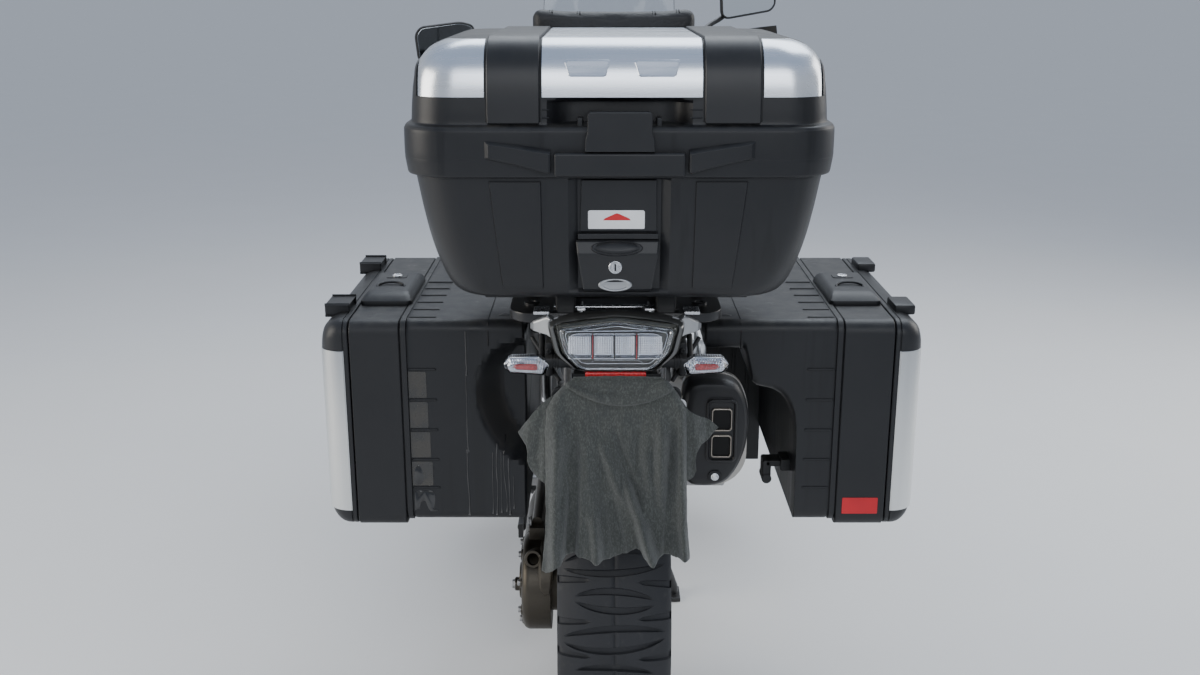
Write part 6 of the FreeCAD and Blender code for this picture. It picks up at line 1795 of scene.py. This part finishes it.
def stitched(shape, thread, made, points, towards, radius=0.0016):
    """A seam pressed along the surface with a run of stitches beside it."""
    run = [on_surface(made, point, towards, 0.0001) for point in points]
    run = [place for place in run if place is not None]
    if len(run) < 3:
        return
    shape.tube(run, radius, 6, 3)
    for a, b in zip(run, run[1:]):
        along = b - a
        aside = along.cross(Vector(towards)).normalized() * STITCH_ASIDE
        steps = max(1, int(along.length / STITCH_LENGTH))
        for k in range(steps):
            start = a + along * ((k + 0.18) / steps) + aside
            finish = a + along * ((k + 0.80) / steps) + aside
            lift = -Vector(towards).normalized() * 0.0006
            thread.rod(start + lift, finish + lift, 0.00055, 5)


def line_of(first, last, count):
    first, last = Vector(first), Vector(last)
    return [first.lerp(last, i / (count - 1)) for i in range(count)]


def pads():
    rest = stuffed("backrest_pad_padded", "backrest_pad", SEAT, 0.004, (0.975, 0.90, 0.985),
                   0.006, "topcase_lid_body")
    seam, stitch = Shape(), Shape()
    low, high = (Vector(corner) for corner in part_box("backrest_pad"))
    level = high.z - 0.034
    for towards, depth in (((0, 1, 0), low.y), ((0, -1, 0), high.y)):
        stitched(seam, stitch, rest, line_of((-0.128, depth, level), (0.128, depth, level), 25),
                 towards)
        stitched(seam, stitch, rest, line_of((0.012, depth, level), (0.012, depth, low.z + 0.02),
                                             9), towards)
    for x in (-0.098, -0.054, 0.066, 0.104):
        stitched(seam, stitch, rest, line_of((x, low.y + 0.006, 1.4), (x, high.y - 0.006, 1.4), 7),
                 (0, 0, -1), 0.0012)
    piece("backrest_seams", seam, CASE_LINE_AND_SHADE, "topcase_lid_body", sharp=180)
    piece("backrest_stitches", stitch, PLASTIC, "topcase_lid_body", sharp=180)
    label = Shape()
    place = on_surface(rest, (0.012, low.y, level - 0.004), (0, 1, 0), 0.0006)
    label.block(place - Vector((0.004, 0.0012, 0.016)), place + Vector((0.004, 0.0008, 0.004)),
                0.0006, 2)
    piece("backrest_tab", label, SEAT, "topcase_lid_body")
    seam, stitch = Shape(), Shape()
    rider = stuffed("rider_seat_padded", "rider_seat", SEAT, 0.006, (0.985, 0.99, 0.97), 0.008)
    pillion = stuffed("pillion_seat_padded", "pillion_seat", SEAT, 0.006, (0.985, 0.99, 0.97),
                      0.008)
    for made, node in ((rider, "rider_seat"), (pillion, "pillion_seat")):
        low, high = (Vector(corner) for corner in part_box(node))
        span = high.y - low.y
        for x in (-0.088, 0.088):
            shift = 0.018 if node == "rider_seat" else 0.0
            points = [Vector((x * (1 - shift * 3 * k / 20), low.y + span * (0.07 + 0.86 * k / 20),
                              1.2)) for k in range(21)]
            stitched(seam, stitch, made, points, (0, 0, -1))
        for share in (0.30, 0.62):
            y = low.y + span * share
            points = [Vector((x, y + 0.018 * (1 - (x / 0.088) ** 2), 1.2))
                      for x in [-0.088 + 0.176 * k / 16 for k in range(17)]]
            stitched(seam, stitch, made, points, (0, 0, -1))
    piece("seat_seams", seam, CASE_LINE_AND_SHADE, sharp=180)
    piece("seat_stitches", stitch, PLASTIC, sharp=180)


cloth()
pads()

# Tyres, silencer end and final drive

REAR_TYRE = (
    # across, radius, thickness of the tread's pattern there
    (62, 222, 0), (70, 226, 0), (76, 240, 0), (83, 262, 0), (86.5, 278, 0), (87, 288, 0),
    (86, 292, 0.5), (81, 299, 1), (72, 305, 1), (60, 310.2, 1), (48, 313.6, 1), (36, 315.9, 1),
    (24, 317.2, 1), (12, 317.9, 1), (0, 318, 1),
)
FRONT_TYRE = (
    (44, 248, 0), (50, 252, 0), (54, 262, 0), (58.5, 280, 0), (59.6, 290, 0), (59.2, 296, 0.4),
    (56, 304, 1), (50, 310.2, 1), (42, 315.3, 1), (33, 319.2, 1), (24, 321.9, 1), (15, 323.4, 1),
    (6, 324, 1), (0, 324.1, 1),
)

GROOVE_DEPTH, NOTCH_DEPTH = 5.4, 5.0
DRIVE_HIGH = 0.333
DRIVE_BOLT_CIRCLE = 0.066


def profile_across(table):
    """The tyre's section from one bead over the crown to the other."""
    half = curve_through([Vector((x, r, t)) for x, r, t in table], 3)
    return [Vector((p.x, p.y, p.z)) for p in half] + [Vector((-p.x, p.y, p.z))
                                                       for p in half[-2::-1]]


def tyre(name, table, pairs, reach, place, node, body, spread=2.7):
    """A road tyre with pairs of curved grooves and notched shoulders."""
    section = profile_across(table)
    wide = max(p.x for p in section)
    lines = (
        # share of the pair's half height, share of the groove's half width, depth
        (-1, -1.25, 0), (-1, -0.95, 1), (-1, 0.95, 1), (-1, 1.25, 0), (-0.35, 0, 0),
        (0.35, 0, 0), (1, -1.25, 0), (1, -0.95, 1), (1, 0.95, 1), (1, 1.25, 0),
    )
    step = 360 / pairs
    rings = []
    for pair in range(pairs):
        far = reach * (1.0 if pair % 2 else 0.76)
        height = spread * (1.1 if pair % 2 else 0.92)
        for part in range(14):
            ring = []
            for p in section:
                out = abs(p.x) / far
                inside = max(0.0, 1 - out * out)
                lean = 0.35 * (p.x / wide) * (1 if pair % 2 else -1)
                if part < 10:
                    rise, share, deep = lines[part]
                    half = 0.10 + 0.74 * inside ** 0.6
                    angle = rise * (height * (0.28 + 0.72 * inside ** 0.8) + 0.12) \
                        + share * half
                    depth = deep * GROOVE_DEPTH * min(1.0, inside * 3.5) \
                        * (1 if p.z > 0.6 else 0)
                else:
                    notch = blend_step(reach * 0.46, reach * 0.58, abs(p.x))
                    half = 0.06 + 0.95 * notch * (abs(p.x) / wide)
                    share, deep = ((-1.2, 0), (-0.85, 1), (0.85, 1), (1.2, 0))[part - 10]
                    angle = step / 2 + share * half
                    depth = deep * NOTCH_DEPTH * notch * (1 if p.z > 0.3 else 0)
                if abs(p.x) < 3.2:
                    depth = max(depth, 2.4 if abs(p.x) < 1.4 else 0.0)
                turn = math.radians(pair * step + angle + lean * 2.2)
                radius = (p.y - depth) * MM
                ring.append(Vector((p.x * MM, -radius * math.cos(turn),
                                    radius * math.sin(turn))))
            rings.append(ring)
    shape = Shape()
    inner = [Vector((x * MM, 0, r * MM)) for x, r in (
        (-table[0][0] + 8, table[0][1]), (-table[0][0] + 8, table[0][1] + 8),
        (-table[3][0] + 9, table[3][1]), (-table[6][0] + 12, table[6][1] - 10),
        (0, table[-1][1] - 11), (table[6][0] - 12, table[6][1] - 10),
        (table[3][0] - 9, table[3][1]), (table[0][0] - 8, table[0][1] + 8),
        (table[0][0] - 8, table[0][1]))]
    full = []
    for ring in rings:
        turn = math.atan2(ring[0].z, -ring[0].y)
        back = [Vector((v.x, -v.z * math.cos(turn), v.z * math.sin(turn))) for v in inner]
        full.append(ring + back)
    shape.skin(full, joined=True, place=place)
    piece(name, shape, RUBBER, body, sharp=32, keep_flat=False,
          stands_for=(node,))
    trim = Shape()
    for side in (-1, 1):
        for radius, across in ((table[3][1] - 6, table[3][0] + 0.2),
                               (table[4][1] + 2, table[4][0] + 0.5)):
            path = [Vector((side * across * MM, -radius * MM * math.cos(a),
                            radius * MM * math.sin(a)))
                    for a in (2 * math.pi * i / 120 for i in range(120))]
            trim.tube(path, 0.0009, 5, 1, closed=True)
    piece(name + "_ribs", trim, RUBBER, body, place=place, sharp=60)


def rim_details(name, place, body, bead, half, hub, bolts):
    """Bead lips, bolts and a valve."""
    shape = Shape()
    for side in (-1, 1):
        path = [Vector((side * half * MM, -bead * MM * math.cos(a), bead * MM * math.sin(a)))
                for a in (2 * math.pi * i / 120 for i in range(120))]
        shape.tube(path, 0.0032, 8, 1, closed=True)
    piece(name + "_rim_lips", shape, WHEEL_PAINT, body, place=place, sharp=60)
    small = Shape()
    for i in range(bolts):
        angle = 2 * math.pi * i / bolts
        spot = Vector((hub[1] * MM, hub[0] * MM * math.cos(angle), hub[0] * MM * math.sin(angle)))
        small.hex_bolt(placed(spot, (1, 0, 0), (0, 1, 0)), 0.007, 0.007)
    small.rod((0.0, (bead - 22) * MM, 0), (0.012, (bead - 58) * MM, 0), 0.0035, 10, 0.001)
    piece(name + "_wheel_bolts", small, BRIGHT, body, place=place)


def wheel_places():
    rear = Matrix.Translation(REAR)
    side = FRONT_TURN if FRONT_TURN.x > 0 else -FRONT_TURN
    up = Vector((0, 0, 1))
    front = placed(FRONT, up - side * up.dot(side), side)
    return rear, front


def silencer_end():
    outline = ((104, 637), (132, 633), (161, 638), (178, 661), (189, 690), (193, 731),
               (189, 765), (177, 788), (158, 796.5), (121, 797.5), (102, 790), (96, 745),
               (95, 690))
    cap = Shape()
    rings = stack(outline, (-1.0, 14, -262), (-1.0, 14, -286), (1.0, 14, -294), (5.5, 13, -299),
                  (11, 12, -300.6), (16, 12, -300.2))
    cap.skin(rings)
    frame_of = rounded_outline(131, 175, 675, 771, 9, 6)
    hollow = rounded_outline(135.5, 170.5, 679.5, 766.5, 6, 6)
    cap.skin([upright(frame_of, -298), upright(frame_of, -304.4),
              upright(drawn_in(frame_of, 1.0), -305.6), upright(drawn_in(frame_of, 3.0), -305.8),
              upright(hollow, -303), upright(hollow, -300.9)])
    piece("silencer_cap", cap, EXHAUST_CAP, sharp=30, keep_flat=False,
          stands_for=("silencer_end_cap",))
    rims = Shape()
    voids = Shape()
    for low, high in ((682, 716.5), (722.5, 757)):
        outer = rounded_outline(138, 168, low, high, 5, 5)
        inner = rounded_outline(140.2, 165.8, low + 2.2, high - 2.2, 3.6, 5)
        rims.skin([upright(outer, -298), upright(outer, -303.4), upright(drawn_in(outer, 0.7),
                                                                         -304.2),
                   upright(drawn_in(inner, -0.5), -304.2), upright(inner, -303.4),
                   upright(inner, -298)], caps=False, joined=True)
        # A near-black sheet closing each outlet: soot, and painted shade for the depth of the pipe
        voids.skin(stack(inner, (0, 0, -300.9), (0, 0, -301.15)))
    piece("silencer_outlet_rims", rims, OUTLET_RIM, sharp=30)
    piece("silencer_outlets", voids, SOOT_AND_SHADE)
    boss = Shape()
    shape_of = ((135, 646), (155, 646), (155, 655), (150, 661), (140, 661), (135, 655))
    boss.skin(stack(shape_of, (0, 2, -298), (0, 2, -302.2), (1.2, 2, -302.8)))
    piece("silencer_screw_seat", boss, CASE_LINE_AND_SHADE)
    screw = Shape()
    screw.hex_bolt(placed(at(0.145, -0.3026, 0.652), (0, -1, 0)), 0.0042, 0.005)
    piece("silencer_screw", screw, BRIGHT)
    band = Shape()
    band.skin(stack(outline, (-2.4, 14, -263), (-2.4, 14, -253)))
    piece("silencer_band", band, EXHAUST, sharp=50)


def drive_details():
    """Castings and fasteners on the final drive and the swingarm."""
    shape = Shape()
    ring = placed(at(-0.1345, -0.058, 0.4015), (-0.25, -0.93, 0.27))
    shape.lathe(((-0.022, 0.0165), (0.002, 0.0160), (0.0045, 0.0145), (0.0045, 0.0105),
                 (0.002, 0.0095), (-0.014, 0.0090)), ring, 32, joined=True)
    middle = -0.1135
    rings = []
    for z, half, ahead, deep in ((0.418, 9, -46, 12), (0.408, 12, -64, 12),
                                 (0.388, 12.5, -82, 10), (0.368, 11, -90, 8),
                                 (0.356, 8, -92, 6), (0.350, 4, -91, 4)):
        rings.append([at(middle + across * MM, back * MM, z) for across, back in (
            (-half, ahead), (-half * 0.7, ahead - deep * 0.5), (half * 0.7, ahead - deep * 0.5),
            (half, ahead), (half, ahead + 24), (-half, ahead + 24))])
    shape.skin(rings)
    for i in range(8):
        angle = math.radians(22 + 45 * i)
        spot = at(-0.1562, DRIVE_BOLT_CIRCLE * math.cos(angle),
                  DRIVE_HIGH + DRIVE_BOLT_CIRCLE * math.sin(angle))
        shape.lathe(((-0.010, 0.0095), (0.0005, 0.0095), (0.0014, 0.0085)),
                    placed(spot, (-1, 0, 0), (0, 1, 0)), 20)
    shape.lathe(((0, 0.032), (0.004, 0.032), (0.006, 0.030), (0.006, 0.014), (0.003, 0.012)),
                placed(at(-0.156, 0, DRIVE_HIGH), (-1, 0, 0), (0, 1, 0)), 40)
    piece("drive_castings", shape, DRIVE, sharp=30)
    bolts = Shape()
    for i in range(8):
        angle = math.radians(22 + 45 * i)
        spot = at(-0.1576, DRIVE_BOLT_CIRCLE * math.cos(angle),
                  DRIVE_HIGH + DRIVE_BOLT_CIRCLE * math.sin(angle))
        bolts.socket_bolt(placed(spot, (-1, 0, 0), (0, 1, 0)), 0.0055, 0.005)
    bolts.hex_bolt(placed(at(-0.172, 0.024, 0.313), (-1, 0, 0), (0, 1, 0)), 0.008, 0.006)
    bolts.hex_bolt(placed(at(-0.141, 0.008, 0.440), (-1, 0, 0), (0, 1, 0)), 0.008, 0.006)
    bolts.hex_bolt(placed(at(-0.1445, 0.552, 0.445), (-1, 0, 0), (0, 1, 0)), 0.008, 0.006)
    piece("drive_bolts", bolts, ENGINE)
    boot = Shape()
    start, finish = at(-0.129, 0.076, 0.3405), at(-0.129, 0.128, 0.3405)
    profile = [(0, 0.030)] + [(0.052 * i / 12, 0.0375 if i % 2 else 0.034) for i in range(13)]
    profile.append((0.052, 0.030))
    boot.lathe(profile, placed(start, finish - start), 40)
    piece("drive_boot", boot, PLASTIC, sharp=60)


OUTLET_RIM = alloy("outlet_rim", (0.40, 0.36, 0.31), 0.30, 200.0, 0.00003, 0.2)
# Near-black for the outlets: soot, and painted shade of the deep pipes
SOOT_AND_SHADE = plastic("soot_and_painted_shade", (0.002, 0.002, 0.002), 0.8, 300.0, 0.0001, dusty=0.0)

rear_place, front_place = wheel_places()
tyre("rear_tyre_tread", REAR_TYRE, 34, 76, rear_place, "rear_tyre", "rear_wheel")
tyre("front_tyre_tread", FRONT_TYRE, 36, 50, front_place, "front_tyre", "front_wheel", 2.5)
rim_details("rear", rear_place, "rear_wheel", 214, 66, (48, 64), 5)
rim_details("front", front_place, "front_wheel", 243, 44, (38, 40), 6)
silencer_end()
drive_details()

# Steering, cockpit, engine and the bracket wall beside the silencer

MIRROR = ((300, 1224), (312, 1212), (430, 1214), (446, 1230), (444, 1288), (428, 1304),
          (334, 1302), (306, 1290))


def mirror_heads():
    head, stem, glass = Shape(), Shape(), Shape()
    for side in (-1, 1):
        outline = softened(MIRROR if side > 0 else mirrored(MIRROR), 11, 5)
        head.skin(stack(outline, (5.5, 0, 1057.5), (4.5, 0, 1054.4), (2, 0, 1053.6), (0, 0, 1056),
                        (0, 0, 1064), (4, 0, 1072), (12, 0, 1078.5), (22, 0, 1081)))
        glass.skin(stack(outline, (4.8, 0, 1057.4), (4.8, 0, 1055.6), (5.6, 0, 1055.1)))
        stem.tube([mm(side * x, y, z) for x, y, z in (
            (232, 1036, 1143), (234, 1039, 1160), (242, 1050, 1188), (268, 1063, 1204),
            (304, 1071, 1216), (345, 1070, 1238))], 0.0058, 14, 6)
        foot = placed(at(side * 0.232, 1.036, 1.139), (0, 0, 1))
        stem.lathe(((0, 0.014), (0.010, 0.014), (0.012, 0.012), (0.030, 0.0095), (0.034, 0.0065)),
                   foot, 28)
        stem.lathe(((-0.010, 0.0095), (0, 0.011), (0.006, 0.011), (0.009, 0.008)),
                   placed(at(side * 0.345, 1.070, 1.238), (side * 0.8, 0, 0.6)), 24)
    piece("mirror_heads", head, PLASTIC, "steering", sharp=44, place=STEERED,
          stands_for=("mirrors",))
    piece("mirror_glass", glass, GLASS_MIRROR, "steering", place=STEERED)
    piece("mirror_stems", stem, BLACK_PAINT, "steering", sharp=50,
          place=STEERED)


def cockpit():
    grips, boxes, bright = Shape(), Shape(), Shape()
    for side in (-1, 1):
        run = Vector((side * 0.954, -0.301, 0))
        end = at(side * 0.428, 0.9675, 1.1337)
        profile = [(0.0, 0.0170), (0.002, 0.0200), (0.005, 0.0200), (0.007, 0.0178)]
        for i in range(26):
            z = 0.009 + i * 0.0037
            profile += [(z, 0.0172), (z + 0.0009, 0.0181), (z + 0.0026, 0.0181)]
        profile += [(0.108, 0.0172), (0.112, 0.0186), (0.118, 0.0186), (0.120, 0.0170)]
        grips.lathe(profile, placed(end - run * 0.122, run, (0, 0, 1)), 36)
        centre = end - run * 0.152
        turned = placed(centre, run, (0, 0, 1))
        boxes.block((-0.024, -0.021, -0.022), (0.022, 0.021, 0.022), 0.007, 3, place=turned)
        for place, reach in ((-0.004, 0.006), (0.008, 0.004), (0.018, 0.005)):
            boxes.block((place - 0.004, -0.028 if side < 0 else 0.018, -0.014),
                        (place + 0.003, -0.018 if side < 0 else 0.028, -0.014 + reach * 3),
                        0.0015, 2, place=turned)
        pot = placed(at(side * 0.222, 1.040, 1.128), (0, 0.05, 1))
        boxes.lathe(((0, 0.014), (0.004, 0.018), (0.022, 0.0190), (0.024, 0.0205),
                     (0.030, 0.0205), (0.033, 0.0185)), pot, 36)
        for i in range(4):
            angle = math.pi / 4 + math.pi / 2 * i
            spot = pot @ Vector((0.0158 * math.cos(angle), 0.0158 * math.sin(angle), 0.0325))
            bright.socket_bolt(placed(spot, (0, 0, 1)), 0.0024, 0.0014)
        bright.hex_bolt(placed(at(side * 0.050, 1.060, 1.096), (0, -0.44, 0.9)), 0.010, 0.008)
    piece("bar_grips", grips, RUBBER, "steering", sharp=50, place=STEERED)
    piece("bar_switch_boxes", boxes, PLASTIC, "steering", place=STEERED)
    piece("bar_bolts", bright, BRIGHT, "steering", place=STEERED)
    face = placed(at(0, 1.2348, 1.1033), (0, -0.883, 0.469))
    panel, marks, needles, glass = Shape(), Shape(), Shape(), Shape()
    outline = metres(rounded_outline(-84, 84, -36, 36, 12))
    panel.slab(outline, 0.002, face, 0.001)
    for x in (-0.047, 0.047):
        ring = face @ Matrix.Translation((x, 0, 0.0015))
        panel.lathe(((0, 0.0315), (0.004, 0.0315), (0.0048, 0.0305), (0.0048, 0.0285),
                     (0.001, 0.0280)), ring, 48)
        for i in range(31):
            angle = math.radians(225 - 9 * i)
            long = 0.005 if i % 5 == 0 else 0.0028
            turn = ring @ Matrix.Rotation(angle, 4, "Z")
            marks.block((0.0265 - long, -0.0003, 0.0012), (0.0265, 0.0003, 0.0020), place=turn)
        turn = ring @ Matrix.Rotation(math.radians(205), 4, "Z")
        needles.block((-0.004, -0.0007, 0.0024), (0.021, 0.0007, 0.0030), place=turn)
        needles.lathe(((0.0015, 0.0035), (0.0036, 0.0035), (0.0040, 0.0028)), ring, 24)
        glass.lathe(((0.0049, 0.0310), (0.0058, 0.0306)), ring, 48)
    marks.slab(metres(rounded_outline(-13, 13, -24, 24, 3)), 0.0006,
               face @ Matrix.Translation((0, 0, 0.0019)))
    piece("panel_face", panel, PLASTIC, sharp=50)
    piece("panel_marks", marks, WHITE)
    piece("panel_needles", needles, RED)
    piece("panel_glass", glass, LENS)
    cap, lock = Shape(), Shape()
    top = placed(at(0, 0.930, 1.0008), (0, 0, 1))
    cap.lathe(((-0.004, 0.043), (0.0015, 0.043), (0.0035, 0.0405), (0.0035, 0.035),
               (0.0060, 0.034), (0.0078, 0.031), (0.0082, 0.004)), top, 56)
    for i in range(6):
        angle = math.radians(30 + 60 * i)
        lock.socket_bolt(placed(top @ Vector((0.0385 * math.cos(angle), 0.0385 * math.sin(angle),
                                              0.003)), (0, 0, 1)), 0.0028, 0.0022)
    lock.lathe(((0.008, 0.010), (0.0095, 0.0098), (0.0105, 0.0085)), top, 32)
    lock.block((-0.006, -0.026, 0.0078), (0.006, -0.012, 0.0100), 0.001, place=top)
    piece("filler_cap", cap, BLACK_PAINT, sharp=40)
    piece("filler_lock", lock, BRIGHT, sharp=40)
    screws, washers = Shape(), Shape()
    for z, x in ((1.100, 0.088), (1.190, 0.080)):
        for side in (-1, 1):
            share = (z - 1.036) / 0.374
            half, bow = 0.176 - 0.026 * share, 0.080 - 0.018 * share
            y = 1.3657 - 0.2157 * share - bow * (x / half) ** 2
            spot = placed(at(side * x, y - 0.0052, z), (-side * 0.25, -0.86, -0.5))
            washers.lathe(((-0.001, 0.011), (0.0025, 0.011), (0.004, 0.0085)), spot, 26)
            screws.socket_bolt(placed(spot @ Vector((0, 0, 0.003)), (-side * 0.25, -0.86, -0.5)),
                               0.0055, 0.0035)
    piece("screen_washers", washers, RUBBER)
    piece("screen_screws", screws, BRIGHT)


def engine_details():
    covers, bolts, fins = Shape(), Shape(), Shape()
    for side in (-1, 1):
        for ahead, z, radius, high in ((0.760, 0.345, 0.078, 0.012), (0.985, 0.270, 0.060, 0.010)):
            spot = placed(at(side * 0.0995, ahead, z), (side, 0, 0), (0, 1, 0))
            covers.lathe(((0, radius), (high * 0.6, radius), (high, radius - 0.006),
                          (high + 0.001, radius * 0.72), (high + 0.005, radius * 0.64),
                          (high + 0.006, radius * 0.2)), spot, 56)
            for i in range(8):
                angle = math.pi * 2 * (i + 0.5) / 8
                where = spot @ Vector(((radius - 0.009) * math.cos(angle),
                                       (radius - 0.009) * math.sin(angle), high * 0.8))
                bolts.socket_bolt(placed(where, (side, 0, 0)), 0.0042, 0.005)
        for z in (0.372, 0.468):
            for ahead in (0.895, 1.025):
                bolts.hex_bolt(placed(at(side * 0.3688, ahead, z), (side, 0, 0), (0, 1, 0)),
                               0.006, 0.005)
        for i in range(24):
            z = 0.697 + i * 0.0068
            fins.block(at(side * 0.143, 1.0835, z), at(side * 0.194, 1.0865, z + 0.0012))
            fins.block(at(side * 0.143, 1.1315, z), at(side * 0.194, 1.1345, z + 0.0012))
    piece("engine_covers", covers, ENGINE, sharp=34)
    piece("engine_bolts", bolts, BRIGHT)
    piece("radiator_fins", fins, ENGINE)
    wall = Shape()
    wall.block(at(0.180, 0.283, 0.448), at(0.2865, 0.2875, 0.812), 0.001)
    for x in (0.205, 0.232, 0.259):
        wall.block(at(x - 0.003, 0.2795, 0.460), at(x + 0.003, 0.2835, 0.800), 0.001)
    wall.block(at(0.180, 0.270, 0.806), at(0.2865, 0.2875, 0.812), 0.001)
    piece("pannier_bracket_wall", wall, PLASTIC)


mirror_heads()
cockpit()
engine_details()
